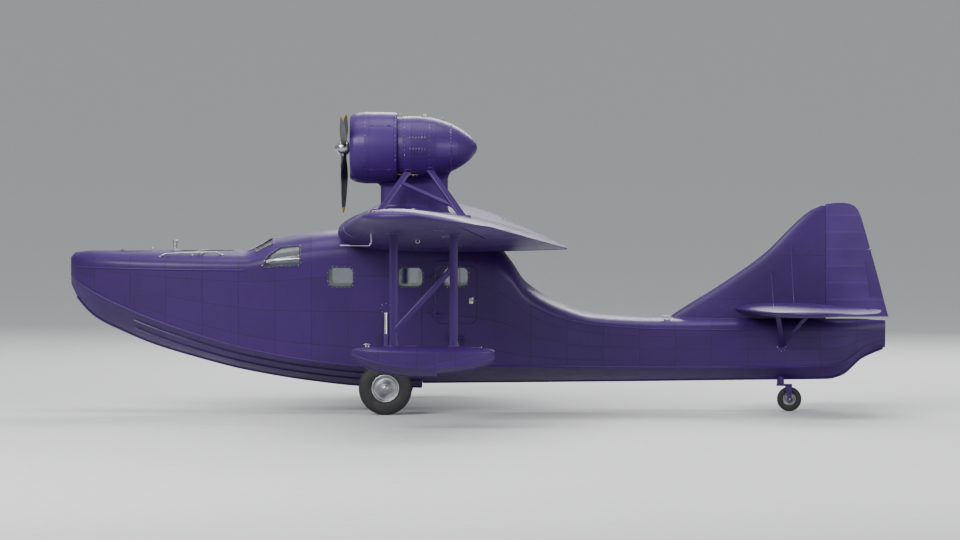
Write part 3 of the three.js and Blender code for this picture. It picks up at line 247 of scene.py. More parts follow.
# Meshes from parts
def rawPiece(name, parts):
    # one mesh from many parts, lifted onto the gear, with equal points joined and faces turned outward
    parts = parts if isinstance(parts, (list, tuple)) else [parts]
    points, faces, corners, base = [], [], [], 0
    for part in parts:
        points.append(part["points"])
        local = part["quads"].tolist() + part["rings"]
        faces += [[k + base for k in face] for face in local]
        corners.append(part["uv"][np.concatenate([np.asarray(face) for face in local])])
        base += len(part["points"])
    lifted = np.concatenate(points) + (0, 0, keelHeight)
    mesh = bpy.data.meshes.new(name)
    mesh.from_pydata(lifted.tolist(), [], faces)
    layer = mesh.uv_layers.new(name="metres")
    layer.data.foreach_set("uv", np.concatenate(corners).astype(np.float32).ravel())
    work = bmesh.new()
    work.from_mesh(mesh)
    bmesh.ops.remove_doubles(work, verts=work.verts, dist=2e-5)
    bmesh.ops.recalc_face_normals(work, faces=work.faces)
    work.to_mesh(mesh)
    work.free()
    piece = bpy.data.objects.new(name, mesh)
    bpy.context.scene.collection.objects.link(piece)
    return piece


def cut(piece, cutters, operation="DIFFERENCE"):
    # the cutters taken off the piece, or the overlap kept, and applied at once
    tool = rawPiece("cutter", cutters)
    change = piece.modifiers.new("cut", "BOOLEAN")
    change.operation = operation
    change.solver = "EXACT"
    change.object = tool
    graph = bpy.context.evaluated_depsgraph_get()
    fresh = bpy.data.meshes.new_from_object(piece.evaluated_get(graph))
    piece.modifiers.clear()
    old, piece.data = piece.data, fresh
    bpy.data.meshes.remove(old)
    bpy.data.objects.remove(tool)


def finished(piece, material, body="airframe", slot=None, stands=(), angle=32, bevel=0.0):
    # shading, edge rounding, material and body of a new piece; the slot argument is not used
    mesh = piece.data
    mesh.materials.clear()
    mesh.materials.append(material)
    mesh.shade_smooth()
    mesh.set_sharp_from_angle(angle=radians(angle))
    if bevel:
        edge = piece.modifiers.new("edges", "BEVEL")
        edge.width = bevel
        edge.segments = 2
        edge.limit_method = "ANGLE"
        edge.angle_limit = radians(38)
        edge.harden_normals = False
    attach(piece, body)
    if stands:
        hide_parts(*stands)


def put(name, parts, material, body="airframe", **rest):
    finished(rawPiece(name, parts), material, body, **rest)


def lineInside(piece, lining):
    # faces that look towards the hull's middle get the lining: the normal runs against the spoke from it
    mesh = piece.data
    mesh.materials.append(lining)
    centre, normal = (np.empty(len(mesh.polygons) * 3) for _ in range(2))
    mesh.polygons.foreach_get("center", centre)
    mesh.polygons.foreach_get("normal", normal)
    spoke = unit(centre.reshape(-1, 3) * (0, 1, 1) - (0, 0, hull["middleZ"] + keelHeight))
    inward = (spoke * normal.reshape(-1, 3)).sum(1) < -0.3
    mesh.polygons.foreach_set("material_index", inward.astype(np.int32))


# Materials
def linear(code):
    # an sRGB hex colour as linear light
    channels = [int(code[k:k + 2], 16) / 255 for k in (1, 3, 5)]
    return tuple(c / 12.92 if c <= 0.04045 else ((c + 0.055) / 1.055) ** 2.4 for c in channels) + (1.0,)


def addNode(tree, kind, inputs=None, out=0, **settings):
    # one node with its settings; an input is a value or another node's output, and one output comes back
    node = tree.nodes.new("ShaderNode" + kind)
    for key, value in settings.items():
        setattr(node, key, value)
    for key, value in (inputs or {}).items():
        if isinstance(value, bpy.types.NodeSocket):
            tree.links.new(value, node.inputs[key])
        else:
            node.inputs[key].default_value = value
    return node.outputs[out] if len(node.outputs) else node


def newMaterial(name):
    # an empty material, with a short way to add a node and the places that its patterns read
    material = bpy.data.materials.new(name)
    material.use_nodes = True
    material.node_tree.nodes.clear()
    add = functools.partial(addNode, material.node_tree)
    return material, add, material.node_tree.nodes.new("ShaderNodeTexCoord").outputs


soft = {"interpolation_type": "SMOOTHSTEP"}
colourMix = {"data_type": "RGBA"}
paint = {
    # the paler colour given to upward faces is painted top light together with the paint's sun fade
    "deep": "#2b0d4e", "faded": "#371762", "panel": "#200a3e", "sunFadeAndTopLight": "#4e327a", "grime": "#17111d",
    "rivet": "#48366f", "seamWidth": 0.005, "rivetPitch": 0.075, "rivetRadius": 0.006, "rivetInset": 0.026,
}


def seamsAndRivets(add, along, across, spacing):
    # away = distance to the nearest seam; rivet rows lie beside it, each head a dot at the pitch
    away = add("Math", {0: along, 1: spacing / 2}, operation="PINGPONG")
    seam = add("MapRange", {0: away, 1: paint["seamWidth"] * 0.3, 2: paint["seamWidth"]}, **soft)
    row = add("Math", {0: away, 1: paint["rivetInset"]}, operation="SUBTRACT")
    dot = add("Math", {0: across, 1: paint["rivetPitch"] / 2}, operation="PINGPONG")
    reach = add("VectorMath", {0: add("CombineXYZ", {0: row, 1: dot})}, "Value", operation="LENGTH")
    head = add("MapRange", {0: reach, 1: paint["rivetRadius"], 2: paint["rivetRadius"] * 0.5}, **soft)
    return seam, head


def makeEnamel(name, panelLength=0.0, panelWidth=0.0, coat=0.14, fade=(0.0, 0.6)):
    # Synthetic enamel sprayed on primed aluminium sheet: deep colour and a soft gloss with slight waves
    # between the rivet rows, paler on upward faces as sun fade and painted top light, dirt in streaks and
    # seams, and each sheet a shade of its own. Seams and rivet heads are drawn about twice their real width,
    # so that they show.
    material, add, places = newMaterial(name)
    spot = places["Object"]
    patch = add("TexNoise", {"Vector": spot, "Scale": 0.55, "Detail": 4.0}, "Fac")
    patch = add("MapRange", {0: patch, 1: 0.3, 2: 0.75, 3: fade[0], 4: fade[1]}, **soft)
    colour = add("Mix", {0: patch, 6: linear(paint["deep"]), 7: linear(paint["faded"])}, 2, **colourMix)
    # painted top light: faces that look upward are mixed towards a paler colour, which also stands for sun
    # fade
    upward = add("SeparateXYZ", {0: places["Normal"]}, 2)
    sunFadeAndTopLight = add("MapRange", {0: upward, 1: 0.25, 2: 1.0, 4: 0.4}, **soft)
    colour = add("Mix", {0: sunFadeAndTopLight, 6: colour, 7: linear(paint["sunFadeAndTopLight"])}, 2, **colourMix)
    runs = add("Mapping", {"Vector": spot, "Scale": (5.0, 5.0, 0.7)})
    streak = add("TexNoise", {"Vector": runs, "Scale": 3.0, "Detail": 5.0, "Roughness": 0.62}, "Fac")
    streak = add("MapRange", {0: streak, 1: 0.55, 2: 0.8, 4: 0.4}, **soft)
    colour = add("Mix", {0: streak, 6: colour, 7: linear(paint["grime"])}, 2, **colourMix)
    peel = add("TexNoise", {"Vector": spot, "Scale": 420.0}, "Fac")
    normal = add("Bump", {"Height": peel, "Distance": 0.0004, "Strength": 0.25})
    waves = add("TexNoise", {"Vector": spot, "Scale": 2.6}, "Fac")
    normal = add("Bump", {"Height": waves, "Distance": 0.007, "Strength": 0.35, "Normal": normal})
    cloud = add("TexNoise", {"Vector": spot, "Scale": 6.0, "Detail": 4.0}, "Fac")
    roughness = add("MapRange", {0: cloud, 1: 0.3, 2: 0.7, 3: 0.43, 4: 0.48}, **soft)
    if panelLength:
        across = add("SeparateXYZ", {0: places["UV"]}, 0)
        around = add("SeparateXYZ", {0: places["UV"]}, 1)
        seamA, headA = seamsAndRivets(add, across, around, panelLength)
        seamB, headB = seamsAndRivets(add, around, across, panelWidth)
        seam = add("Math", {0: seamA, 1: seamB}, operation="MINIMUM")
        head = add("Math", {0: headA, 1: headB}, operation="MAXIMUM")
        sheet = [add("Math", {0: add("Math", {0: run, 1: size}, operation="DIVIDE")}, operation="FLOOR")
                 for run, size in ((across, panelLength), (around, panelWidth))]
        lot = add("TexWhiteNoise", {"Vector": add("CombineXYZ", {0: sheet[0], 1: sheet[1]})}, "Value")
        shade = add("Math", {0: lot, 1: 0.34}, operation="MULTIPLY")
        colour = add("Mix", {0: shade, 6: colour, 7: linear(paint["panel"])}, 2, **colourMix)
        gloss = add("Math", {0: lot, 1: 0.06}, operation="MULTIPLY")
        roughness = add("Math", {0: roughness, 1: gloss}, operation="ADD")
        gap = add("MapRange", {0: seam, 3: 0.75, 4: 0.0})
        colour = add("Mix", {0: gap, 6: colour, 7: linear(paint["grime"])}, 2, **colourMix)
        worn = add("Math", {0: head, 1: 0.3}, operation="MULTIPLY")
        colour = add("Mix", {0: worn, 6: colour, 7: linear(paint["rivet"])}, 2, **colourMix)
        raised = add("Math", {0: head, 1: 0.8}, operation="MULTIPLY")
        height = add("Math", {0: raised, 1: seam}, operation="ADD")
        normal = add("Bump", {"Height": height, "Distance": 0.0022, "Strength": 0.8, "Normal": normal})
    add("OutputMaterial", {0: add("BsdfPrincipled", {
        "Base Color": colour, "Roughness": roughness, "Specular IOR Level": 0.25, "Coat Weight": coat,
        "Coat Roughness": 0.24, "Normal": normal,
    })})
    return material


def makeDopedCloth():
    # Doped cotton over metal ribs: flatter than enamel, the weave just shows, and a taped, stitched line
    # stands over each rib. The weave is drawn at 4 mm, about eight times its real pitch, so that it shows.
    material, add, places = newMaterial("doped cotton over ribs")
    spot = places["Object"]
    patch = add("TexNoise", {"Vector": spot, "Scale": 1.1, "Detail": 4.0}, "Fac")
    patch = add("MapRange", {0: patch, 1: 0.3, 2: 0.7}, **soft)
    colour = add("Mix", {0: patch, 6: linear("#2c0e50"), 7: linear("#371862")}, 2, **colourMix)
    # painted top light: faces that look upward are mixed towards a paler colour, which also stands for sun
    # fade
    upward = add("SeparateXYZ", {0: places["Normal"]}, 2)
    sunFadeAndTopLight = add("MapRange", {0: upward, 1: 0.25, 2: 1.0, 4: 0.35}, **soft)
    colour = add("Mix", {0: sunFadeAndTopLight, 6: colour, 7: linear("#4e327a")}, 2, **colourMix)
    span = add("SeparateXYZ", {0: places["UV"]}, 0)
    away = add("Math", {0: span, 1: control["ribPitch"] / 2}, operation="PINGPONG")
    tape = add("MapRange", {0: away, 1: control["ribTape"], 2: control["ribTape"] * 0.8}, **soft)
    edge = add("Math", {0: tape, 1: 0.14}, operation="MULTIPLY")
    colour = add("Mix", {0: edge, 6: colour, 7: linear("#563c7e")}, 2, **colourMix)
    chord = add("SeparateXYZ", {0: places["UV"]}, 1)
    dot = add("Math", {0: chord, 1: 0.03}, operation="PINGPONG")
    knot = add("VectorMath", {0: add("CombineXYZ", {0: away, 1: dot})}, "Value", operation="LENGTH")
    knot = add("MapRange", {0: knot, 1: 0.007, 2: 0.003, 4: 0.6}, **soft)
    raised = add("Math", {0: tape, 1: knot}, operation="ADD")
    weave = add("TexNoise", {"Vector": spot, "Scale": 250.0}, "Fac")
    normal = add("Bump", {"Height": weave, "Distance": 0.0008, "Strength": 0.45})
    normal = add("Bump", {"Height": raised, "Distance": 0.0016, "Strength": 0.7, "Normal": normal})
    add("OutputMaterial", {0: add("BsdfPrincipled", {
        "Base Color": colour, "Roughness": 0.5, "Specular IOR Level": 0.3, "Coat Weight": 0.08,
        "Coat Roughness": 0.3, "Normal": normal,
    })})
    return material


def makeMetal(name, low, high, rough, stretch=(1.0, 1.0, 1.0), grain=60.0, wear=0.15):
    # Bare metal as it was worked: brightness wanders a little, and fine tool marks break the reflection.
    material, add, places = newMaterial(name)
    patch = add("TexNoise", {"Vector": places["Object"], "Scale": 7.0, "Detail": 5.0}, "Fac")
    patch = add("MapRange", {0: patch, 1: 0.3, 2: 0.7}, **soft)
    colour = add("Mix", {0: patch, 6: linear(low), 7: linear(high)}, 2, **colourMix)
    run = add("Mapping", {"Vector": places["Object"], "Scale": stretch})
    marks = add("TexNoise", {"Vector": run, "Scale": grain, "Detail": 4.0, "Roughness": 0.6}, "Fac")
    smooth, rubbed = rough - wear / 2, rough + wear / 2
    roughness = add("MapRange", {0: marks, 1: 0.25, 2: 0.75, 3: smooth, 4: rubbed}, **soft)
    normal = add("Bump", {"Height": marks, "Distance": 0.0006, "Strength": 0.35})
    add("OutputMaterial", {0: add("BsdfPrincipled", {
        "Base Color": colour, "Metallic": 1.0, "Roughness": roughness, "Normal": normal,
    })})
    return material


def makeBladeFinish():
    # Forged aluminium blades, etched and sprayed dark grey, worn bright along the front edge, with plain
    # yellow tips. The UV map holds the radius and the distance behind the blade's axis.
    material, add, places = newMaterial("dark sprayed forged aluminium blade")
    radius = add("SeparateXYZ", {0: places["UV"]}, 0)
    back = add("SeparateXYZ", {0: places["UV"]}, 1)
    mottle = add("TexNoise", {"Vector": places["Object"], "Scale": 22.0, "Detail": 5.0}, "Fac")
    patch = add("MapRange", {0: mottle, 1: 0.3, 2: 0.7}, **soft)
    colour = add("Mix", {0: patch, 6: linear("#1c1c22"), 7: linear("#2a2a31")}, 2, **colourMix)
    tip = add("MapRange", {0: radius, 1: 1.018, 2: 1.021}, **soft)
    colour = add("Mix", {0: tip, 6: colour, 7: linear("#b98a1e")}, 2, **colourMix)
    nicks = add("TexNoise", {"Vector": places["Object"], "Scale": 90.0, "Detail": 3.0}, "Fac")
    uneven = add("Math", {0: nicks, 1: 0.012}, operation="MULTIPLY")
    rubbed = add("Math", {0: back, 1: uneven}, operation="SUBTRACT")
    rubbed = add("MapRange", {0: rubbed, 1: -0.068, 2: -0.084}, **soft)
    colour = add("Mix", {0: rubbed, 6: colour, 7: linear("#8b8d92")}, 2, **colourMix)
    roughness = add("MapRange", {0: mottle, 1: 0.3, 2: 0.7, 3: 0.34, 4: 0.5}, **soft)
    add("OutputMaterial", {0: add("BsdfPrincipled", {
        "Base Color": colour, "Metallic": rubbed, "Roughness": roughness,
    })})
    return material


def makeExhaustSteel():
    # Welded stainless tube that has run hot: straw, brown and blue tints wander along it under dry soot.
    material, add, places = newMaterial("heat browned welded steel")
    run = add("Mapping", {"Vector": places["Object"], "Scale": (1.0, 2.5, 2.5)})
    tint = add("TexNoise", {"Vector": run, "Scale": 3.2, "Detail": 4.0}, "Fac")
    colour = linear("#463126")
    for start, code in ((0.34, "#6a5348"), (0.5, "#5b5a6b"), (0.6, "#8a6d4e")):
        step = add("MapRange", {0: tint, 1: start, 2: start + 0.12}, **soft)
        colour = add("Mix", {0: step, 6: colour, 7: linear(code)}, 2, **colourMix)
    soot = add("TexNoise", {"Vector": places["Object"], "Scale": 11.0, "Detail": 5.0}, "Fac")
    soot = add("MapRange", {0: soot, 1: 0.45, 2: 0.75, 4: 0.6}, **soft)
    colour = add("Mix", {0: soot, 6: colour, 7: linear("#221c19")}, 2, **colourMix)
    roughness = add("MapRange", {0: tint, 1: 0.3, 2: 0.7, 3: 0.36, 4: 0.6}, **soft)
    add("OutputMaterial", {0: add("BsdfPrincipled", {
        "Base Color": colour, "Metallic": 1.0, "Roughness": roughness,
    })})
    return material


def makeAcrylic():
    # Clear moulded acrylic sheet: very smooth, with wiping marks that dull it in places.
    material, add, places = newMaterial("clear moulded acrylic sheet")
    smear = add("TexNoise", {"Vector": places["Object"], "Scale": 9.0, "Detail": 5.0}, "Fac")
    roughness = add("MapRange", {0: smear, 1: 0.4, 2: 0.8, 3: 0.02, 4: 0.08}, **soft)
    add("OutputMaterial", {0: add("BsdfPrincipled", {
        "Base Color": linear("#a7b0bc"), "Roughness": roughness, "Transmission Weight": 1.0, "IOR": 1.3,
        "Alpha": 0.45, "Coat Weight": 1.0, "Coat Roughness": 0.02,
    })})
    return material


def makeLens(name, low, high):
    # Moulded coloured glass over a lamp: deep, even colour under a hard gloss.
    material, add, places = newMaterial(name)
    shade = add("TexNoise", {"Vector": places["Object"], "Scale": 40.0}, "Fac")
    shade = add("MapRange", {0: shade, 1: 0.3, 2: 0.7}, **soft)
    colour = add("Mix", {0: shade, 6: linear(low), 7: linear(high)}, 2, **colourMix)
    add("OutputMaterial", {0: add("BsdfPrincipled", {
        "Base Color": colour, "Roughness": 0.08, "Coat Weight": 1.0, "Coat Roughness": 0.03,
    })})
    return material


def makeRubber():
    # Moulded black tyre rubber: matt, greyed by dust where it bulges, with a fine grain drawn at 3 mm.
    material, add, places = newMaterial("moulded tyre rubber")
    dust = add("TexNoise", {"Vector": places["Object"], "Scale": 5.0, "Detail": 5.0}, "Fac")
    dust = add("MapRange", {0: dust, 1: 0.45, 2: 0.75, 4: 0.5}, **soft)
    colour = add("Mix", {0: dust, 6: linear("#151518"), 7: linear("#35322f")}, 2, **colourMix)
    grain = add("TexNoise", {"Vector": places["Object"], "Scale": 350.0}, "Fac")
    roughness = add("MapRange", {0: grain, 1: 0.3, 2: 0.7, 3: 0.62, 4: 0.82}, **soft)
    normal = add("Bump", {"Height": grain, "Distance": 0.0008, "Strength": 0.5})
    add("OutputMaterial", {0: add("BsdfPrincipled", {
        "Base Color": colour, "Roughness": roughness, "IOR": 1.52, "Normal": normal,
    })})
    return material


def makeFlatPaint(name, low, high, rough, grain=180.0, depth=0.0006):
    # Flat brushed or sprayed paint: even and dull, a little mottled, rubbed shiny in patches.
    material, add, places = newMaterial(name)
    mottle = add("TexNoise", {"Vector": places["Object"], "Scale": 4.0, "Detail": 5.0}, "Fac")
    shade = add("MapRange", {0: mottle, 1: 0.3, 2: 0.75}, **soft)
    colour = add("Mix", {0: shade, 6: linear(low), 7: linear(high)}, 2, **colourMix)
    texture = add("TexNoise", {"Vector": places["Object"], "Scale": grain}, "Fac")
    normal = add("Bump", {"Height": texture, "Distance": depth, "Strength": 0.5})
    roughness = add("MapRange", {0: mottle, 1: 0.3, 2: 0.7, 3: rough - 0.06, 4: rough + 0.08}, **soft)
    add("OutputMaterial", {0: add("BsdfPrincipled", {
        "Base Color": colour, "Roughness": roughness, "Normal": normal,
    })})
    return material


def makeWovenCloth(name, low, high, pitch):
    # Plain woven wool cloth: warp and weft stand up by turns, with a soft sheen and faded patches.
    # The threads are drawn at the pitch given, a few times the real one, so that the weave shows.
    material, add, places = newMaterial(name)
    run = add("Mapping", {"Vector": places["Object"], "Scale": (1 / pitch, 1 / pitch, 1 / pitch)})
    warp = add("TexWave", {"Vector": run, "Scale": 0.5, "Distortion": 0.6}, "Fac", bands_direction="X")
    weft = add("TexWave", {"Vector": run, "Scale": 0.5, "Distortion": 0.6}, "Fac", bands_direction="Y")
    rise = add("TexWave", {"Vector": run, "Scale": 0.5, "Distortion": 0.6}, "Fac", bands_direction="Z")
    thread = add("Math", {0: add("Math", {0: warp, 1: weft}, operation="MULTIPLY"), 1: rise}, operation="ADD")
    fade = add("TexNoise", {"Vector": places["Object"], "Scale": 6.0, "Detail": 4.0}, "Fac")
    tone = add("Math", {0: add("Math", {0: thread, 1: 0.3}, operation="MULTIPLY"), 1: fade}, operation="ADD")
    tone = add("MapRange", {0: tone, 1: 0.35, 2: 1.05}, **soft)
    colour = add("Mix", {0: tone, 6: linear(low), 7: linear(high)}, 2, **colourMix)
    normal = add("Bump", {"Height": thread, "Distance": pitch * 0.35, "Strength": 0.5})
    add("OutputMaterial", {0: add("BsdfPrincipled", {
        "Base Color": colour, "Roughness": 0.85, "Sheen Weight": 0.35, "Sheen Roughness": 0.5,
        "Normal": normal,
    })})
    return material


def makeGrained(name, low, high, rough, scale, stretch, depth):
    # A surface with a directed grain: long soft fibres or ridges, darker in the hollows.
    material, add, places = newMaterial(name)
    run = add("Mapping", {"Vector": places["Object"], "Scale": stretch})
    grain = add("TexNoise", {"Vector": run, "Scale": scale, "Detail": 6.0, "Roughness": 0.6}, "Fac")
    tone = add("MapRange", {0: grain, 1: 0.3, 2: 0.7}, **soft)
    colour = add("Mix", {0: tone, 6: linear(low), 7: linear(high)}, 2, **colourMix)
    normal = add("Bump", {"Height": grain, "Distance": depth, "Strength": 0.6})
    roughness = add("MapRange", {0: grain, 1: 0.3, 2: 0.7, 3: rough + 0.08, 4: rough - 0.06}, **soft)
    add("OutputMaterial", {0: add("BsdfPrincipled", {
        "Base Color": colour, "Roughness": roughness, "Normal": normal,
    })})
    return material


control = {"gap": 0.010, "endGap": 0.017, "ribPitch": 0.29, "ribSag": 0.0035, "ribTape": 0.022}
hullPaint = makeEnamel("sprayed enamel on riveted hull sheet", 0.62, 0.36)
wingPaint = makeEnamel("sprayed enamel on riveted wing sheet", 0.75, 0.48)
cowlPaint = makeEnamel("sprayed enamel on spun cowl sheet", 0.42, 0.5, 0.2, (0.6, 1.3))
plainPaint = makeEnamel("brushed enamel on fittings")
dopedCloth = makeDopedCloth()
castAluminium = makeMetal("sand cast aluminium", "#8d9094", "#b4b6b8", 0.42)
platedSteel = makeMetal("ground and plated steel", "#9a9ca0", "#c2c3c6", 0.2, grain=140.0, wear=0.1)
bladeFinish = makeBladeFinish()
engineEnamel = makeFlatPaint("oily grey engine enamel", "#505257", "#73757a", 0.42, 90.0)
finSteel = makeMetal("oiled turned steel fins", "#77787c", "#a0a1a4", 0.45, grain=120.0, wear=0.2)
exhaustSteel = makeExhaustSteel()
acrylic = makeAcrylic()
tyreRubber = makeRubber()
cabinPaint = makeFlatPaint("brushed grey green cabin paint", "#58635a", "#6a7469", 0.6)
crackleBlack = makeFlatPaint("baked black crackle finish", "#141518", "#222328", 0.6, 300.0, 0.0012)
sealRubber = makeFlatPaint("extruded black seal rubber", "#17181a", "#232427", 0.7)
walkwayGrit = makeFlatPaint("rolled black grit paint", "#15151a", "#26262c", 0.92, 500.0, 0.004)
dialWhite = makeFlatPaint("printed white dial paint", "#c9c8bd", "#dcdacd", 0.5)
cabinLining = makeGrained("varnished birch plywood", "#8a6a43", "#a98658", 0.42, 3.0, (1.0, 8.0, 8.0), 0.0005)
ribbedMat = makeGrained("moulded ribbed floor rubber", "#1d1f20", "#2c2f2f", 0.75, 20, (0.6, 8.0, 8.0), 0.003)
hideLeather = makeGrained("dyed hide leather", "#4a2d1c", "#6b452b", 0.5, 60.0, (1.0, 1.0, 1.0), 0.0012)
benchCloth = makeWovenCloth("plain woven wool", "#3f4a3d", "#5d6857", 0.005)
strapWeb = makeWovenCloth("woven cotton strap", "#6f6a55", "#8d866c", 0.003)
redLens = makeLens("moulded red lamp glass", "#5a0606", "#8c0f10")
greenLens = makeLens("moulded green lamp glass", "#05391c", "#0b6033")
clearLens = makeLens("moulded clear lamp glass", "#3f444a", "#6b7076")
print("materials made")

# Hull, from its lines: (station, keel, chine height, chine half width) and
# (station, shoulder height, shoulder half width, crown)
hull = {
    "noseX": -7.0, "cabinFrontX": -4.15, "stepX": -0.988, "cabinBackX": 0.3, "sternX": 6.941,
    "wall": 0.05, "stationStep": 0.1, "gap": 0.0003, "hollow": 1.263, "deckPower": 1 / 1.2,
    "middleZ": 1.4,
    "fore": [
        (-7.000, 1.760, 1.920, 0.070), (-6.930, 1.600, 1.850, 0.165), (-6.577, 1.212, 1.620, 0.365),
        (-6.118, 0.976, 1.400, 0.520), (-5.553, 0.741, 1.170, 0.660), (-4.753, 0.500, 0.900, 0.775),
        (-4.047, 0.320, 0.700, 0.820), (-2.871, 0.120, 0.480, 0.832), (-1.929, 0.025, 0.385, 0.835),
        (-0.988, 0.000, 0.345, 0.835),
    ],
    "aft": [
        (-0.988, 0.082, 0.400, 0.820), (0.300, 0.092, 0.385, 0.770), (1.365, 0.102, 0.370, 0.660),
        (3.012, 0.118, 0.350, 0.455), (4.500, 0.136, 0.345, 0.315), (5.953, 0.153, 0.370, 0.200),
        (6.188, 0.212, 0.420, 0.180), (6.541, 0.506, 0.640, 0.120), (6.941, 0.682, 0.790, 0.055),
    ],
    "top": [
        (-7.000, 2.080, 0.095, 2.230), (-6.930, 2.085, 0.205, 2.305), (-6.577, 2.080, 0.420, 2.341),
        (-6.118, 2.070, 0.580, 2.341), (-5.553, 2.060, 0.710, 2.341), (-4.753, 2.050, 0.815, 2.341),
        (-3.980, 2.045, 0.855, 2.343), (-3.900, 2.045, 0.857, 2.365), (-3.520, 2.070, 0.862, 2.545),
        (-3.430, 2.085, 0.863, 2.560), (-2.635, 2.180, 0.866, 2.680), (-1.929, 2.230, 0.868, 2.720),
        (-0.988, 2.200, 0.868, 2.680), (0.300, 1.900, 0.800, 2.420), (0.541, 1.740, 0.775, 2.153),
        (0.776, 1.470, 0.745, 1.810), (1.365, 1.180, 0.665, 1.447), (1.953, 1.060, 0.590, 1.259),
        (3.012, 0.985, 0.465, 1.188), (4.500, 0.960, 0.325, 1.175), (5.953, 0.950, 0.208, 1.170),
        (6.541, 0.960, 0.140, 1.168), (6.941, 0.980, 0.070, 1.150),
    ],
}


def hullLine(x, aft):
    # keel, chine height and half width, shoulder height and half width, and crown at the stations
    bottom = hull["aft" if aft else "fore"]
    return [smoothColumn(table, c, x) for table in (bottom, hull["top"]) for c in (1, 2, 3)]


def linesAt(x):
    # the same six lines, each from the forebody ahead of the step and from the afterbody behind it
    return [np.where(x < hull["stepX"], f, g) for f, g in zip(hullLine(x, False), hullLine(x, True))]


def crossSection(lines, counts):
    # half ring: keel to chine as a hollow curve y = b·s, z = keel + rise·s^1.26; a straight side; then the
    # deck as a superellipse quarter. The other half is its mirror image.
    keel, chineZ, chineY, edgeZ, edgeY, crown = lines
    bottom, side, deck = counts
    s, t, a = np.linspace(0, 1, bottom), np.linspace(0, 1, side)[1:], np.linspace(0, pi / 2, deck)[1:]
    p = hull["deckPower"]
    across = np.where(a > 1.57, 0, np.cos(a).clip(0) ** p)
    y = np.concatenate([chineY * s, chineY + (edgeY - chineY) * t, edgeY * across], 1)
    z = np.concatenate([keel + (chineZ - keel) * s ** hull["hollow"], chineZ + (edgeZ - chineZ) * t,
                        edgeZ + (crown - edgeZ) * np.sin(a) ** p], 1)
    return np.concatenate([y, -y[:, -2:0:-1]], 1), np.concatenate([z, z[:, -2:0:-1]], 1)


def hullRings(x, aft, inset=0.0):
    # sections at the stations, each line moved inward by its share of the inset; the UV map counts 0.9 m
    # round the bottom, 1.08 m up the side and 0.9 m over the deck
    shares = (1.15, 0.5, -1, -0.25, -1, -1)
    y, z = crossSection([(v + k * inset)[:, None] for v, k in zip(hullLine(x, aft), shares)], (11, 9, 17))
    half = [np.linspace(0, 0.9, 11), np.linspace(0.9, 1.98, 9)[1:], np.linspace(1.98, 2.88, 17)[1:]]
    girth = np.concatenate(half + [np.concatenate(half)[-2:0:-1]])
    return stacked(x[:, None], y, z), stacked(x[:, None] + 7.2, girth[None])


def hullSkin(low, high, inset=0.0):
    # points and UV map of the skin from one station to another; the step's riser stands over 4 mm
    edge, rings = hull["stepX"], []
    spans = ((low, min(high, edge), "fore"), (max(low, edge + 0.004), high, "aft"))
    for start, stop, key in spans:
        if start < stop:
            x = stationsOf(start, stop, hull["stationStep"], hull[key] + hull["top"])
            rings.append(hullRings(x, key == "aft", inset))
    return tuple(np.concatenate(part) for part in zip(*rings))


def hullSolid(low, high):
    points, uv = hullSkin(low, high)
    return grid(points, wrapV=True, caps=True, uv=uv)


def hullShell(low, high, outer, inner):
    # outer skin forward to aft, then the inner skin back again, closed round both ends
    outside, outUv = hullSkin(low, high, outer)
    inside, inUv = hullSkin(low, high, inner)
    points = np.concatenate([outside, inside[::-1]])
    return grid(points, wrapU=True, wrapV=True, uv=np.concatenate([outUv, inUv[::-1]]))


def sideY(x, z, inset=0.0):
    # half width of the hull at a height: the straight side up to the shoulder, the deck curve above it
    x, z = np.broadcast_arrays(np.asarray(x, float), np.asarray(z, float))
    _, chineZ, chineY, shoulderZ, shoulderY, crown = linesAt(x)
    flat = chineY + (shoulderY - chineY) * (z - chineZ) / (shoulderZ - chineZ)
    rise = np.clip((z - shoulderZ) / (crown - shoulderZ), 0, 1) ** (1 / hull["deckPower"])
    deck = shoulderY * np.cos(np.arcsin(rise)).clip(0) ** hull["deckPower"]
    return np.where(z > shoulderZ, deck, flat) - inset


def deckZ(x, y):
    # height of the deck at a distance from the middle, from the same superellipse
    x, y = np.broadcast_arrays(np.asarray(x, float), np.asarray(y, float))
    shoulderZ, shoulderY, crown = hullLine(x, False)[3:]
    part = np.clip(np.abs(y) / shoulderY, 0, 1) ** (1 / hull["deckPower"])
    return shoulderZ + (crown - shoulderZ) * np.sin(np.arccos(part)) ** hull["deckPower"]


# Lifting surfaces
def camberLine(part, camber):
    # height of the middle line: two parabolas that meet at 0.4 of the chord, where it stands highest
    front = camber / 0.16 * (0.8 * part - part ** 2)
    back = camber / 0.36 * (0.2 + 0.8 * part - part ** 2)
    return np.where(part < 0.4, front, back)


def halfThickness(part, thickness):
    # 5·thickness times a square root less a quartic of the chord's part, and 0.0022·part for a blunt edge
    part = np.clip(part, 0, 1)
    shape = 0.2969 * np.sqrt(part) - 0.126 * part - 0.3516 * part ** 2 + 0.2843 * part ** 3
    return 5 * thickness * (shape - 0.1036 * part ** 4) + 0.0022 * part


wing = {
    "rootLeading": -2.4, "rootChord": 3.88, "rootZ": 2.682, "incidence": atan2(0.294, 3.88),
    "dihedral": radians(2.6), "centreHalf": 1.15, "tipY": 9.25, "taperY": 8.7, "tipChord": 2.05,
    "rootThickness": 0.18, "tipThickness": 0.12, "camber": 0.03,
    "aileronInner": 5.0, "aileronOuter": 8.45, "aileronHinge": 0.76,
}
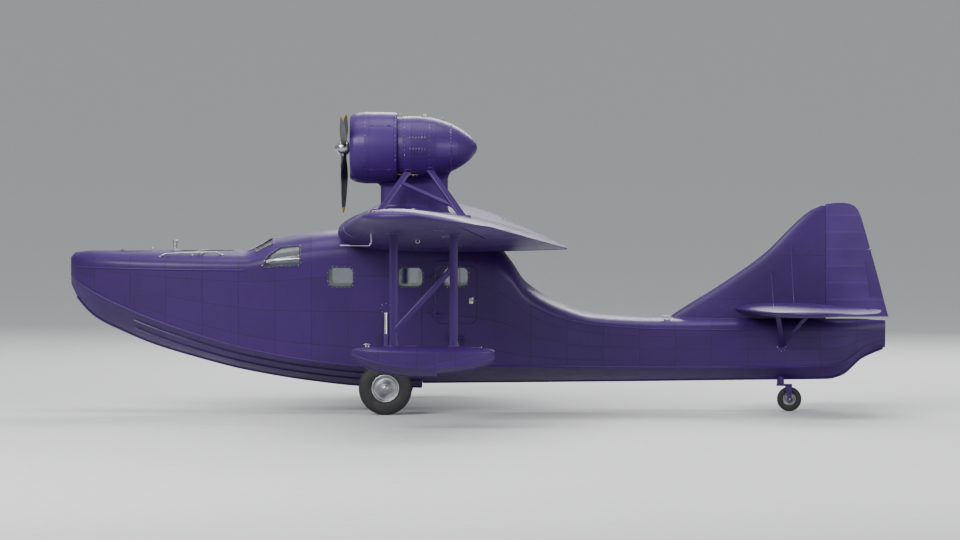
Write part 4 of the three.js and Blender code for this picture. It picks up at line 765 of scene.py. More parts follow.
# Rows of the fin and the tailplane: station, leading edge, trailing edge, half thickness at the hinge
fin = {
    "hingeX": 5.95, "bottom": 1.2, "top": 3.105, "tip": 3.153,
    "rows": [
        (1.000, 3.000, 7.040, 0.096), (1.200, 3.250, 7.000, 0.095), (1.282, 3.365, 6.975, 0.094),
        (1.800, 4.188, 6.840, 0.086), (2.306, 4.894, 6.700, 0.076), (2.700, 5.290, 6.590, 0.066),
        (2.976, 5.590, 6.500, 0.054), (3.080, 5.760, 6.430, 0.044), (3.135, 5.920, 6.330, 0.030),
        (3.153, 6.030, 6.220, 0.014),
    ],
}
tail = {
    "z": 1.33, "hingeX": 5.78, "inner": 0.112, "tip": 2.8,
    "rows": [
        (0.000, 4.350, 6.850, 0.112), (1.000, 4.560, 6.800, 0.100), (2.000, 4.800, 6.690, 0.084),
        (2.450, 4.990, 6.580, 0.070), (2.660, 5.180, 6.450, 0.054), (2.770, 5.420, 6.270, 0.034),
        (2.800, 5.600, 6.100, 0.016),
    ],
}


def wingSize(y):
    # chord, leading edge, thickness and height: a straight taper, then a tip whose chord falls off as
    # sqrt(1 - t^2.4)
    outward = np.maximum(0, np.abs(y) - wing["centreHalf"])
    share = outward / (wing["taperY"] - wing["centreHalf"])
    tip = np.maximum(0, (np.abs(y) - wing["taperY"]) / (wing["tipY"] - wing["taperY"]))
    straight = wing["rootChord"] + (wing["tipChord"] - wing["rootChord"]) * share
    chord = straight * np.sqrt(np.maximum(0.012, 1 - tip ** 2.4))
    leading = wing["rootLeading"] + 0.3 * (wing["rootChord"] - straight) + 0.42 * (straight - chord)
    thickness = wing["rootThickness"] + (wing["tipThickness"] - wing["rootThickness"]) * np.minimum(1, share)
    return chord, leading, thickness, wing["rootZ"] + outward * tan(wing["dihedral"])


def wingPlace(y, part, height):
    # chord line at the wing's incidence, height square to it, both in parts of the chord
    chord, leading, _, z = wingSize(y)
    c, s = cos(wing["incidence"]), sin(wing["incidence"])
    along, up = part * chord, height * chord
    return stacked(leading + along * c + up * s, y, z - along * s + up * c)


def plateEdges(table, at):
    # leading edge and chord at a station
    nose, back = (smoothColumn(table["rows"], c, np.abs(at)) for c in (1, 2))
    return nose, back - nose


def finPlace(z, part, height):
    # upright: the height across the chord runs along y
    nose, chord = plateEdges(fin, z)
    return stacked(nose + part * chord, height * chord, z)


def tailPlace(y, part, height):
    nose, chord = plateEdges(tail, y)
    return stacked(nose + part * chord, y, tail["z"] + height * chord)


def wingFigures(y):
    # chord, thickness and the hinge's part of the chord
    chord, _, thickness, _ = wingSize(y)
    return chord, thickness, np.full_like(y, wing["aileronHinge"])


def plateFigures(table, at):
    # the same for the fin or the tailplane, whose hinges run straight
    nose, chord = plateEdges(table, at)
    half = smoothColumn(table["rows"], 3, np.abs(at))
    return chord, 2 * half / chord, np.clip((table["hingeX"] - nose) / chord, 0, 1)


wingShape = (wingPlace, wingFigures, wing["camber"])
finShape = (finPlace, functools.partial(plateFigures, fin), 0.0)
tailShape = (tailPlace, functools.partial(plateFigures, tail), 0.0)


def skins(shape, at, part, spread):
    # points above and below the middle line, spread parts of the chord from it
    place, _, camber = shape
    middle = camberLine(part, camber)
    return place(at, part, middle + spread), place(at, part, middle - spread)


def surfaceFrame(shape, at, hinge):
    # the hinge point of each station, with unit vectors along the chord and square to it
    place, _, camber = shape
    height = camberLine(hinge, camber)
    centre = place(at, hinge, height)
    ahead, above = place(at, hinge + 0.01, height), place(at, hinge, height + 0.01)
    return centre, unit(ahead - centre), unit(above - centre)


def fixedRings(shape, at, coves=None, front=28, back=14):
    # Front skin from the lip over the nose and back, then either the tail skin or the round cove wall. The
    # lip is where a circle of the cove's radius about the hinge meets the skin, taken as straight there.
    chord, thickness, hinge = shape[1](at)
    half = halfThickness(hinge, thickness) * chord
    slope = (halfThickness(hinge - 0.01, thickness) - halfThickness(hinge, thickness)) / 0.01
    radius = half + control["gap"]
    rise = half * slope
    lip = np.sqrt(np.maximum(0, rise ** 2 + (1 + slope ** 2) * (radius ** 2 - half ** 2))) - rise
    lip = (hinge - np.minimum(lip / (1 + slope ** 2) / chord, hinge * 0.9))[:, None]
    thick = thickness[:, None]
    parts = lip * (1 + np.cos(np.linspace(0, pi, front + 1))) / 2
    upper, lower = skins(shape, at[:, None], parts, halfThickness(parts, thick))
    rest = lip + (1 - lip) * np.sin(np.linspace(0, pi / 2, back + 1)[1:]) ** 1.1
    above, below = skins(shape, at[:, None], rest, halfThickness(rest, thick))
    tailPart = np.concatenate([below, above[:, ::-1]], 1)
    if coves is not None:
        centre, chordwise, upward = surfaceFrame(shape, at, hinge)
        lipUp = upper[:, 0] - centre
        start = np.arctan2((lipUp * upward).sum(-1), (lipUp * chordwise).sum(-1))[:, None]
        a = (2 * pi - start + (2 * start - 2 * pi) * np.linspace(0, 1, 2 * back + 2)[1:-1])[..., None]
        size = np.linalg.norm(lipUp, axis=-1)[:, None, None]
        cove = centre[:, None] + size * (np.cos(a) * chordwise[:, None] + np.sin(a) * upward[:, None])
        tailPart = np.where(np.asarray(coves)[:, None, None], cove, tailPart)
    run = np.concatenate([parts, parts[:, ::-1][:, 1:], rest, rest[:, ::-1]], 1) * chord[:, None]
    return np.concatenate([upper, lower[:, ::-1][:, 1:], tailPart], 1), run


noseSheet = 0.24  # half a sheet's width, so that no seam runs along the nose


def fixedSurface(shape, at, coves=None):
    points, run = fixedRings(shape, at, coves)
    return grid(points, wrapV=True, caps=True, uv=stacked(np.abs(at)[:, None], run + noseSheet))


def withCove(at, low, high):
    # stations with a pair at each end of the cove, so that its end walls stand square
    inside = at[(at > low + 0.02) & (at < high - 0.02)]
    before, after = at[at < low - 0.02], at[at > high + 0.02]
    line = np.concatenate([before, [low, low], inside, [high, high], after])
    flags = np.concatenate([np.zeros(len(before) + 1), np.ones(len(inside) + 2), np.zeros(len(after) + 1)])
    return line, flags.astype(bool)


def movingSurface(shape, at, edge=None, back=18, nose=12):
    # skin from the hinge line to the trailing edge on both sides, and a round nose on the hinge line;
    # between ribs the cloth sinks by ribSag·sin²; an edge function moves the inner stations outward with x
    place, figures, _ = shape
    chord, thickness, hinge = figures(at)
    low, high = at[0], at[-1]
    wave = np.sin(np.linspace(0, pi / 2, back + 1)) ** 1.15
    station = np.broadcast_to(at[:, None], (len(at), back + 1)).copy()
    parts = hinge[:, None] + (1 - hinge[:, None]) * wave
    for _ in range(4 if edge else 0):
        inner = edge(place(station, parts, 0 * parts)[..., 0])
        station = inner + (high - inner) * ((at - low) / (high - low))[:, None]
        hingePart = figures(station)[2]
        parts = hingePart + (1 - hingePart) * wave
    chords, thick, _ = figures(station)
    phase = np.sin(pi * (station - low) / control["ribPitch"]) ** 2
    sag = control["ribSag"] * phase * np.sin(pi * np.clip(wave, 0, 1)) ** 0.5 / chords
    upper, lower = skins(shape, station, parts, np.maximum(halfThickness(parts, thick) - sag, 0.002 / chords))
    centre, chordwise, upward = surfaceFrame(shape, at, hinge)
    half = (halfThickness(hinge, thickness) * chord)[:, None, None]
    a = (pi * 1.5 - pi * np.linspace(0, 1, nose + 2)[1:-1])[None, :, None]
    nosePoints = centre[:, None] + half * (np.cos(a) * chordwise[:, None] + np.sin(a) * upward[:, None])
    points = np.concatenate([upper, lower[:, ::-1], nosePoints], 1)
    span = np.abs(np.concatenate([station, station[:, ::-1], np.repeat(at[:, None], nose, 1)], 1) - low)
    run = np.concatenate([parts, parts[:, ::-1], np.repeat(parts[:, :1], nose, 1)], 1) * chord[:, None]
    return grid(points, wrapV=True, caps=True, uv=stacked(span, run))


print("shapes defined")

# Hull pieces
windows = {"half": 0.205, "sill": 1.74, "top": 2.06, "radius": 0.09,
           "places": [(-2.36, -1), (-1.18, -1), (-2.36, 1), (-1.18, 1), (-0.41, 1)]}
door = {"front": -0.76, "back": -0.06, "sill": 1.12, "top": 2.08, "radius": 0.11, "gap": 0.009}
screen = {"outline": [(-3.89, 0.038), (-3.53, 0.038), (-3.545, 0.59), (-3.80, 0.64)],
          "side": [(-3.69, 2.075), (-3.06, 2.11), (-3.06, 2.43), (-3.39, 2.40), (-3.60, 2.25)],
          "radius": 0.035}
hatch = {"front": -6.12, "back": -5.56, "half": 0.28, "thick": 0.04, "ledge": 0.04, "gap": 0.007,
         "floor": 1.75, "deck": 2.341, "over": 2.6}
doorPaneX = (door["front"] + door["back"]) / 2
wingCentreSolid = fixedSurface(wingShape, np.linspace(-wing["centreHalf"], wing["centreHalf"], 9))


def drawnIn(outline, shrink):
    # each corner pulled towards the middle of the outline
    flat = np.array(outline)
    return flat - unit(flat - flat.mean(0)) * shrink * 1.4


def roundCorners(outline, radius, count=5):
    # each corner becomes a quadratic curve from radius before it to radius after it
    corner = np.array(outline, float)[:, None]
    start, stop = (corner + unit(np.roll(corner, way, 0) - corner) * radius for way in (1, -1))
    t = np.linspace(0, 1, count)[None, :, None]
    return ((1 - t) ** 2 * start + 2 * t * (1 - t) * corner + t ** 2 * stop).reshape(-1, 2)


def windowOutline(x, shrink=0.0):
    w, s = windows, shrink
    return roundedOutline(x - w["half"] + s, x + w["half"] - s, w["sill"] + s, w["top"] - s, w["radius"] - s)


def doorOutline(grow):
    d = door
    return roundedOutline(d["front"] - grow, d["back"] + grow, d["sill"] - grow, d["top"] + grow,
                          d["radius"] + grow, 7)


def sideCutter(outline, side):
    return slab(outline, *((0.3, 1.2) if side > 0 else (-1.2, -0.3)), "xz")


def openingCutters(shrink=0.0):
    # every window and windscreen pane, each a little smaller than its opening where shrink is set
    cutters = [sideCutter(windowOutline(x, shrink), side) for x, side in windows["places"]]
    front, pane = (roundCorners(drawnIn(screen[k], shrink), screen["radius"]) for k in ("outline", "side"))
    cutters += [slab(front * (1, side), 2.15, 2.8) for side in (-1, 1)]
    return cutters + [sideCutter(pane, side) for side in (-1, 1)]


def makeBow():
    # the bow with the hatch's seat and the locker cut out of it, and the lid as a slice of the same deck
    h = hatch
    front, back, half, over = h["front"], h["back"], h["half"], h["over"]
    g, ledge, seatZ = h["gap"], h["ledge"], h["deck"] - h["thick"]
    bow = rawPiece("bowHull", hullSolid(hull["noseX"], hull["cabinFrontX"]))
    cut(bow, block((front - g, -half - g, seatZ), (back + g, half + g, over)))
    cut(bow, block((front + ledge, -half + ledge, h["floor"]), (back - ledge, half - ledge, over + 0.01)))
    finished(bow, hullPaint, stands=["hull_bow"])
    lid = rawPiece("bowHatch", hullSolid(front - 0.2, back + 0.2))
    cut(lid, block((front, -half, seatZ + hull["gap"]), (back, half, over)), "INTERSECT")
    finished(lid, hullPaint, "bow_hatch", stands=["bow_hatch"], bevel=0.004)


def makeCabinHull():
    gap, back, wall = hull["gap"], hull["cabinBackX"], hull["wall"]
    cabin = rawPiece("cabinHull", hullShell(hull["cabinFrontX"] + gap, back, 0.0, wall))
    cut(cabin, openingCutters() + [sideCutter(doorOutline(door["gap"]), -1), wingCentreSolid])
    finished(cabin, hullPaint, stands=["hull_cabin"])
    lineInside(cabin, cabinPaint)
    after = rawPiece("afterHull", hullSolid(back + gap, hull["sternX"]))
    cut(after, wingCentreSolid)
    finished(after, hullPaint, stands=["hull_afterbody"])
    panel = rawPiece("cabinDoor", hullShell(-1.1, 0.25, 0.0, wall))
    cut(panel, sideCutter(doorOutline(0), -1), "INTERSECT")
    cut(panel, sideCutter(windowOutline(doorPaneX), -1))
    finished(panel, hullPaint, "cabin_door", stands=["cabin_door"], bevel=0.003)
    lineInside(panel, cabinPaint)


def makeGlazing():
    fit = hull["gap"]
    panes = rawPiece("cabinPanes", hullShell(-4.1, 0.28, 0.012, 0.026))
    cut(panes, openingCutters(fit), "INTERSECT")
    stands = [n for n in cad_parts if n.startswith(("cabin_glass", "windscreen", "cockpit_glass"))]
    finished(panes, acrylic, stands=stands)
    pane = rawPiece("doorPane", hullShell(-1.0, 0.2, 0.012, 0.026))
    cut(pane, sideCutter(windowOutline(doorPaneX, fit), -1), "INTERSECT")
    finished(pane, acrylic, "cabin_door", stands=["door_glass"])


makeBow()
makeCabinHull()
makeGlazing()
print("hull made")


# Wing, fin and tailplane
def makeWing():
    put("wingCentre", wingCentreSolid, wingPaint, stands=["wing_centre"])
    inner, outer = wing["aileronInner"], wing["aileronOuter"]
    base = np.concatenate([spanLine(1.1503, 8.55, 54), spanLine(8.55, wing["tipY"], 26, 0.95)[1:]])
    line, coves = withCove(base, inner - control["endGap"], outer + control["endGap"])
    ribs = np.linspace(inner, outer, round((outer - inner) / control["ribPitch"] * 6))
    for name, side in hands:
        panel, moving = fixedSurface(wingShape, side * line, coves), movingSurface(wingShape, side * ribs)
        body = f"aileron_{name}"
        put(f"wing{name.title()}", panel, wingPaint, stands=[f"wing_{name}"])
        put(f"aileron{name.title()}", moving, dopedCloth, body, stands=[body])


def inboardEdge(x):
    # room for the rudder's swing: the elevator's edge runs outward behind the rudder post
    post = fin["hingeX"]
    ahead = tail["inner"] + 0.033 * np.clip((x - post + 0.25) / 0.25, 0, 1)
    return np.where(x < post, ahead, 0.145 + (x - post) * 0.567)


def makeTail():
    line = np.concatenate([np.linspace(1.0, 2.9, 30), np.linspace(2.9, fin["top"], 8)[1:]])
    put("finSkin", fixedSurface(finShape, line, np.ones(len(line), bool)), wingPaint, stands=["fin"])
    line = np.concatenate([np.linspace(fin["bottom"], 2.9, 38), spanLine(2.9, fin["tip"], 16, 0.9)[1:]])
    put("rudderSkin", movingSurface(finShape, line), dopedCloth, "rudder", stands=["rudder"])
    tip = spanLine(2.5, tail["tip"], 14, 0.9)[1:]
    fixedLine = np.concatenate([np.linspace(0.02, 2.5, 30), tip])
    body = fixedSurface(tailShape, fixedLine, np.ones(len(fixedLine), bool))
    moving = movingSurface(tailShape, np.concatenate([np.linspace(tail["inner"], 2.5, 50), tip]), inboardEdge)
    for name, side in hands:
        put(f"tailplane{name.title()}", flipped(body, side), wingPaint, stands=[f"tailplane_{name}"])
        put(f"elevator{name.title()}", flipped(moving, side), dopedCloth, "elevator",
            stands=[f"elevator_{name}"])


makeWing()
makeTail()
print("wing and tail made")

# Engine group, about an axis along x at its own height
engine = {
    "z": 4.094, "cowlBack": -1.42, "cylinderX": -1.83, "count": 9, "finCount": 22, "propellerX": -2.34,
    "blades": 3, "cowl": [(-2.205, 0.466), (-2.224, 0.5), (-2.205, 0.545), (-2.13, 0.586), (-1.96, 0.612)],
    "cowlInside": [(-1.7, 0.612), (-1.42, 0.603), (-1.42, 0.593), (-1.7, 0.588), (-1.96, 0.588),
                   (-2.12, 0.545)],
    "nacelle": [
        (-1.5, 0.5), (-1.47, 0.52), (-1.25, 0.54), (-1.0, 0.536), (-0.76, 0.5), (-0.52, 0.42),
        (-0.32, 0.318), (-0.17, 0.205), (-0.08, 0.105), (-0.047, 0.0),
    ],
    "exhaustRadius": 0.425, "exhaustTube": 0.042, "exhaustX": -1.5367, "pipeLean": 35,
    "pipes": [(-1.545, 0.43), (-1.53, 0.52), (-1.49, 0.552), (-1.38, 0.566), (-1.24, 0.572), (-1.06, 0.574)],
    "stub": [(-1.77, 0.045, 0.49), (-1.7, 0.05, 0.505), (-1.62, 0.03, 0.485), (-1.56, 0.01, 0.445)],
}
axisPoint = np.array((0.0, 0.0, engine["z"]))


def axisOut(angle):
    # unit vectors away from the engine's axis, at angles from straight up towards positive y
    angle = np.asarray(angle, float)
    return np.stack([0 * angle, np.sin(angle), np.cos(angle)], -1)


def axisSpot(x, radius, angle):
    # points at a radius from the engine's axis
    return axisPoint + np.multiply.outer(x, forwardX) + np.asarray(radius)[..., None] * axisOut(angle)


def onAxis(rows, sides=72, closed=False):
    return lathe(rows, axisPoint, forwardX, sides, closed)


def engineUp(x, y, radius):
    return (x, y, engine["z"] + radius)


def roundEngine(parts, count):
    # the same parts, repeated at even turns about the engine's axis
    return [spun(part, axisPoint, forwardX, turn) for turn in evenTurns(count) for part in parts]


def strut(start, stop, chord, thickness, flare=1.3, cuff=0.14, sides=28):
    # a streamlined section carried from start to stop; within each cuff it swells by flare·(1 - s/cuff)²
    a, b = np.array(start, float), np.array(stop, float)
    length = np.linalg.norm(b - a)
    ahead = (b - a) / length
    chordwise = unit(np.array(forwardX) - ahead * ahead[0])
    across = np.cross(ahead, chordwise)
    cuff = min(cuff, length * 0.4)
    ends = np.linspace(0, cuff, 8)
    s = np.concatenate([ends, np.linspace(cuff, length - cuff, 4)[1:-1], ends + length - cuff])
    swell = 1 + (flare - 1) * (np.clip(1 - s / cuff, 0, 1) ** 2 + np.clip(1 - (length - s) / cuff, 0, 1) ** 2)
    turn = evenTurns(sides)
    part = (1 - np.cos(turn)) / 2
    spread = halfThickness(part, 1.0) * np.sign(np.sin(turn))
    ring = (part - 0.5)[:, None] * chord * chordwise + spread[:, None] * thickness * across
    points = a + s[:, None, None] * ahead + swell[:, None, None] * ring[None]
    return grid(points, wrapV=True, caps=True, uv=stacked(s[:, None], part[None] * chord))


def nacelleRadius(x):
    # straight lines between the nacelle's rows
    return np.interp(x, *np.array(engine["nacelle"]).T)


def wingTopZ(x, y=0.0):
    # height of the wing's upper skin over a place, read off the section at that distance from the middle
    part = np.linspace(0, 1, 400)
    curve = skins(wingShape, np.full_like(part, y), part, halfThickness(part, wing["rootThickness"]))[0]
    return np.interp(x, curve[:, 0], curve[:, 2])


def makeCowling():
    rows = np.concatenate([curved(engine["cowl"]), engine["cowlInside"]])
    put("cowlRing", onAxis(rows, 96, True), cowlPaint, stands=["cowling"])
    front, back = [(-1.5, 0.0), (-1.5, 0.5), (-1.485, 0.512)], [(-0.056, 0.05), (-0.047, 0.0)]
    rows = np.concatenate([front, curved(engine["nacelle"][1:-1]), back])
    put("nacelleSkin", onAxis(rows, 96), cowlPaint, stands=["nacelle"])


def cylinderPart():
    # one cylinder standing upwards: thin fins as a zigzag profile turned about its own axis
    rows = [(0.235, 0.0), (0.235, 0.098), (0.25, 0.098), (0.25, 0.078)]
    for start in np.linspace(0.262, 0.505, engine["finCount"]):
        reach = 0.102 if start < 0.42 else 0.116 - 0.12 * max(0, start - 0.47)
        rows += [(start, 0.078), (start, reach), (start + 0.0045, reach), (start + 0.0045, 0.078)]
    rows += [(0.518, 0.08), (0.54, 0.055), (0.552, 0.02), (0.552, 0.0)]
    return lathe(rows, engineUp(engine["cylinderX"], 0, 0), upZ, 28)


def headParts():
    # two rocker boxes and two pushrod tubes, and a boss between the boxes
    x, z = engine["cylinderX"], engine["z"]
    parts = [slab(roundedOutline(x - 0.028, x + 0.028, -0.02, 0.02, 0.008, 3), z + 0.535, z + 0.5853)]
    for side in (-1, 1):
        y = side * 0.052
        box = roundedOutline(x - 0.085, x + 0.055, y - 0.026, y + 0.026, 0.018, 5)
        parts.append(slab(box, z + 0.49, z + 0.556))
        parts.append(rod(engineUp(-1.915, side * 0.045, 0.235), engineUp(-1.895, y, 0.515), 0.0115, 12))
    return parts


def makeEngine():
    case = np.concatenate([
        [(-1.5003, 0.0), (-1.5003, 0.3), (-1.56, 0.3), (-1.6, 0.24), (-1.7, 0.235)],
        curved([(-1.73, 0.262), (-1.76, 0.266), (-1.9, 0.266), (-1.93, 0.262)], 4),
        [(-1.938, 0.25), (-1.945, 0.232), (-1.96, 0.215)],
        curved([(-2.0, 0.205), (-2.03, 0.19), (-2.08, 0.158), (-2.12, 0.125)], 5),
        [(-2.13, 0.118), (-2.14, 0.095), (-2.16, 0.078), (-2.245, 0.07), (-2.245, 0.0)],
    ])
    put("crankcase", onAxis(case, 64), engineEnamel, stands=["engine"], bevel=0.002)
    put("cylinders", roundEngine([cylinderPart()], engine["count"]), finSteel, angle=25)
    put("cylinderHeads", roundEngine(headParts(), engine["count"]), engineEnamel, bevel=0.003)


def makeExhaust():
    # a collector ring, a stub from each cylinder and a flattened tail pipe low on each side
    ring = axisSpot(np.full(96, engine["exhaustX"]), engine["exhaustRadius"], evenTurns(96))
    parts = [tube(ring, engine["exhaustTube"], 20, closed=True)]
    stub = curved([engineUp(*p) for p in engine["stub"]], 6)
    parts += roundEngine([tube(stub, 0.024, 14)], engine["count"])
    for side in (-1, 1):
        lean = pi - side * radians(engine["pipeLean"])
        path = curved([axisSpot(x, r, lean) for x, r in engine["pipes"]])
        parts.append(tube(path, 0.03, 20, flat=0.7, up=axisOut(lean)))
    put("exhaust", parts, exhaustSteel, stands=["exhaust_ring"])


# Blade rows: radius, chord, thickness, pitch in degrees
propeller = {
    "rows": [
        (0.09, 0.084, 0.078, 58), (0.2, 0.11, 0.06, 52), (0.35, 0.175, 0.038, 43), (0.56, 0.218, 0.028, 34),
        (0.82, 0.204, 0.018, 26), (1.02, 0.146, 0.012, 21), (1.1, 0.076, 0.008, 19), (1.12, 0.024, 0.006, 19),
    ],
    "hub": [
        (0.0947, 0.0), (0.0947, 0.088), (0.09, 0.094), (0.07, 0.118), (-0.02, 0.119), (-0.046, 0.117),
        (-0.068, 0.109), (-0.084, 0.098), (-0.11, 0.072), (-0.132, 0.042), (-0.143, 0.016), (-0.146, 0.0),
    ],
    "socket": [(0.06, 0.05), (0.125, 0.05), (0.128, 0.058), (0.146, 0.058), (0.149, 0.05)],
}


def bladePart():
    # radius rows with a closed section each; near the root the section blends into an ellipse
    tip = 1.02 + 0.1 * np.sin(np.linspace(0, pi / 2, 12)[1:])
    radius = np.concatenate([np.linspace(0.09, 1.02, 40), tip])
    chord, thick, lean = (smoothColumn(propeller["rows"], c, radius)[:, None] for c in (1, 2, 3))
    turn = evenTurns(36)[None]
    part = (1 - np.cos(turn)) / 2
    oval = np.sin(turn) * 0.5 * thick
    foil = np.sign(np.sin(turn)) * halfThickness(part, 1.0) * thick + camberLine(part, 0.02) * chord
    blend = np.clip((radius[:, None] - 0.12) / 0.3, 0, 1)
    up = oval * (1 - blend) + foil * blend
    along = (part - 0.4) * chord
    s, c = np.sin(np.radians(lean)), np.cos(np.radians(lean))
    x = engine["propellerX"] + along * s - up * c
    points = stacked(x, along * c + up * s, engine["z"] - radius[:, None])
    return grid(points, wrapV=True, caps=True, uv=stacked(radius[:, None], along))


def makePropeller():
    x, count = engine["propellerX"], engine["blades"]
    blades = roundEngine([bladePart()], count)
    put("propellerBlades", blades, bladeFinish, "propeller", stands=["propeller"], angle=50)
    hub = onAxis([(x + at, r) for at, r in propeller["hub"]], 48)
    parts = [hub] + roundEngine([lathe(propeller["socket"], engineUp(x, 0, 0), (0, 0, -1), 28)], count)
    put("propellerHub", parts, platedSteel, "propeller", slot="propeller_metal", bevel=0.0015)


pylon = {"front": -1.7, "chord": 1.15, "thickness": 0.2, "middle": -1.2, "flare": 0.055, "flareShare": 0.16}


def makePylon():
    # an aerofoil outline between the wing's top and the nacelle's underside, flared into a fillet at both
    p = pylon
    turn = evenTurns(64)
    part = (1 - np.cos(turn)) / 2
    x = p["front"] + part * p["chord"]
    y = halfThickness(part, p["thickness"]) * np.sign(np.sin(turn)) * p["chord"]
    t = (1 - np.cos(np.linspace(0, pi, 26)))[:, None] / 2
    flare = p["flare"] * sum(np.clip(1 - end / p["flareShare"], 0, 1) ** 2 for end in (t, 1 - t))
    normal = unit(np.stack([np.gradient(y), -np.gradient(x)], -1))
    normal *= np.sign((normal * np.stack([x - p["middle"], y], -1)).sum(-1, keepdims=True))
    px, py = x[None] + flare * normal[None, :, 0], y[None] + flare * normal[None, :, 1]
    low = wingTopZ(px) - 0.006
    radius = np.where(px < engine["cowlBack"] + 0.008, 0.6135, nacelleRadius(px) + 0.001)
    pz = low + (engine["z"] - np.sqrt(radius ** 2 - py ** 2) - low) * t
    solid = grid(np.stack([px, py, pz], -1), wrapV=True, caps=True, uv=stacked(part[None] * p["chord"], pz))
    put("pylonFairing", solid, cowlPaint, stands=["pylon_fairing"])


mounts = {
    "feet": [(-1.76, 0.64, 2.94), (-0.26, 0.64, 2.86)], "heads": [(-1.23, 0.33, 3.69), (-0.86, 0.33, 3.72)],
    "brace": (0.76, 0.26),
}


def putStruts(name, parts, node, body="airframe", **rest):
    # struts wear the strut paint and stand for one node
    put(name, parts, plainPaint, body, slot="strut_paint", stands=[node], **rest)


def makeMountStruts():
    # an N on each side: two struts from the wing to the nacelle, and a brace between places on them
    for name, side in hands:
        pairs = [np.array(pair) * (1, side, 1) for pair in zip(mounts["feet"], mounts["heads"])]
        low, high = (foot + (head - foot) * share for (foot, head), share in zip(pairs, mounts["brace"]))
        parts = [strut(*pair, 0.11, 0.052) for pair in pairs] + [strut(low, high, 0.07, 0.036, 1.15)]
        putStruts(f"mountStruts{name.title()}", parts, f"mount_struts_{name}")


makeCowling()
makeEngine()
makeExhaust()
makePropeller()
makePylon()
makeMountStruts()
print("engine group made")

# Wing floats: station, keel, chine height and half width, deck edge height and half width, crown
wingFloat = {
    "y": 6.2, "z": 0.45, "strutX": (-1.38, -0.42), "braceY": 4.9,
    "fore": [
        (-2.05, 0.345, 0.375, 0.018, 0.400, 0.022, 0.420), (-1.99, 0.270, 0.345, 0.075, 0.405, 0.084, 0.448),
        (-1.80, 0.145, 0.275, 0.165, 0.400, 0.178, 0.472), (-1.45, 0.045, 0.190, 0.236, 0.385, 0.246, 0.482),
        (-1.05, 0.004, 0.145, 0.262, 0.375, 0.268, 0.484), (-0.70, 0.000, 0.138, 0.262, 0.372, 0.268, 0.482),
    ],
    "aft": [
        (-0.69, 0.042, 0.150, 0.255, 0.372, 0.262, 0.482), (-0.30, 0.090, 0.190, 0.220, 0.372, 0.228, 0.474),
        (0.00, 0.150, 0.235, 0.155, 0.375, 0.162, 0.460), (0.17, 0.215, 0.285, 0.080, 0.380, 0.088, 0.440),
        (0.23, 0.280, 0.325, 0.024, 0.385, 0.030, 0.415),
    ],
}


def floatRings(table):
    x = stationsOf(table[0][0], table[-1][0], 0.06, table)
    y, z = crossSection([smoothColumn(table, c, x)[:, None] for c in range(1, 7)], (7, 6, 10))
    return stacked(x[:, None], y + wingFloat["y"], z + wingFloat["z"])


def makeFloats():
    # the same half section as the hull's, and an N of struts with a brace towards the fuselage
    points = np.concatenate([floatRings(wingFloat["fore"]), floatRings(wingFloat["aft"])])
    lengths = np.linalg.norm(np.diff(points, axis=1), axis=-1).cumsum(1)
    girth = np.concatenate([np.zeros((len(points), 1)), lengths], 1)
    uv = stacked(points[..., 0] + 2.25, np.minimum(girth, girth[:, -1:] - girth))
    front, back = wingFloat["strutX"]
    for name, side in hands:
        body = grid(points * (1, side, 1), wrapV=True, caps=True, uv=uv)
        put(f"float{name.title()}", body, hullPaint, stands=[f"float_{name}"])
        y = side * wingFloat["y"]
        parts = [
            strut((front, y, 0.925), (front, y, 2.79), 0.13, 0.048),
            strut((back, y, 0.92), (back, y, 2.82), 0.13, 0.048),
            strut((front, y, 1.16), (back, y, 2.2), 0.09, 0.036, 1.1),
            strut((front, y, 1.25), (front, side * wingFloat["braceY"], 2.72), 0.09, 0.036, 1.15),
        ]
        putStruts(f"floatStruts{name.title()}", parts, f"float_struts_{name}")


makeFloats()
print("floats made")

# Landing gear
gear = {
    "x": -1.6, "y": 1.25, "radius": 0.45, "width": 0.26, "rim": 0.232, "hub": 0.215, "axle": 0.045,
    "braceReach": 0.43, "fit": 0.0003, "grooves": (-0.42, 0.0, 0.42), "sides": 72,
}
tailGear = {
    "x": 5.3, "pivotX": 5.15, "radius": 0.21, "width": 0.13, "rim": 0.108, "hub": 0.118, "axle": 0.02,
    "crownZ": 0.045, "armY": (0.084, 0.112), "axleY": 0.118, "grooves": (-0.4, 0.4), "sides": 48,
}
tailBrace = {"foot": (5.15, 0.245, 0.70), "knee": (5.165, 0.33, 0.735), "headX": (5.02, 5.52), "headY": 1.5}


def tyrePart(centre, radius, width, rim, grooves, sides):
    # crown: y = w·cos(a)^0.62, r = middle + (R - middle)·sin(a)^0.8; below it a quarter ellipse to the bead
    w, middle = width / 2, rim + (radius - rim) * 0.42
    a = np.linspace(0, pi, 91)
    y = w * np.sign(np.cos(a)) * np.abs(np.cos(a)) ** 0.62
    r = middle + (radius - middle) * np.sin(a).clip(0) ** 0.8
    for at in grooves:
        r = r - 0.007 * (np.abs(y - at * w) < 0.035 * w)
    b = np.linspace(0, pi / 2, 10)[1:]
    lower = np.stack([w * (0.66 + 0.34 * np.cos(b)), middle - (middle - rim) * np.sin(b)], -1)
    rows = np.concatenate([lower[::-1], np.stack([y, r], -1), lower * (-1, 1)])
    return lathe(rows, centre, sideways, sides, closed=True)


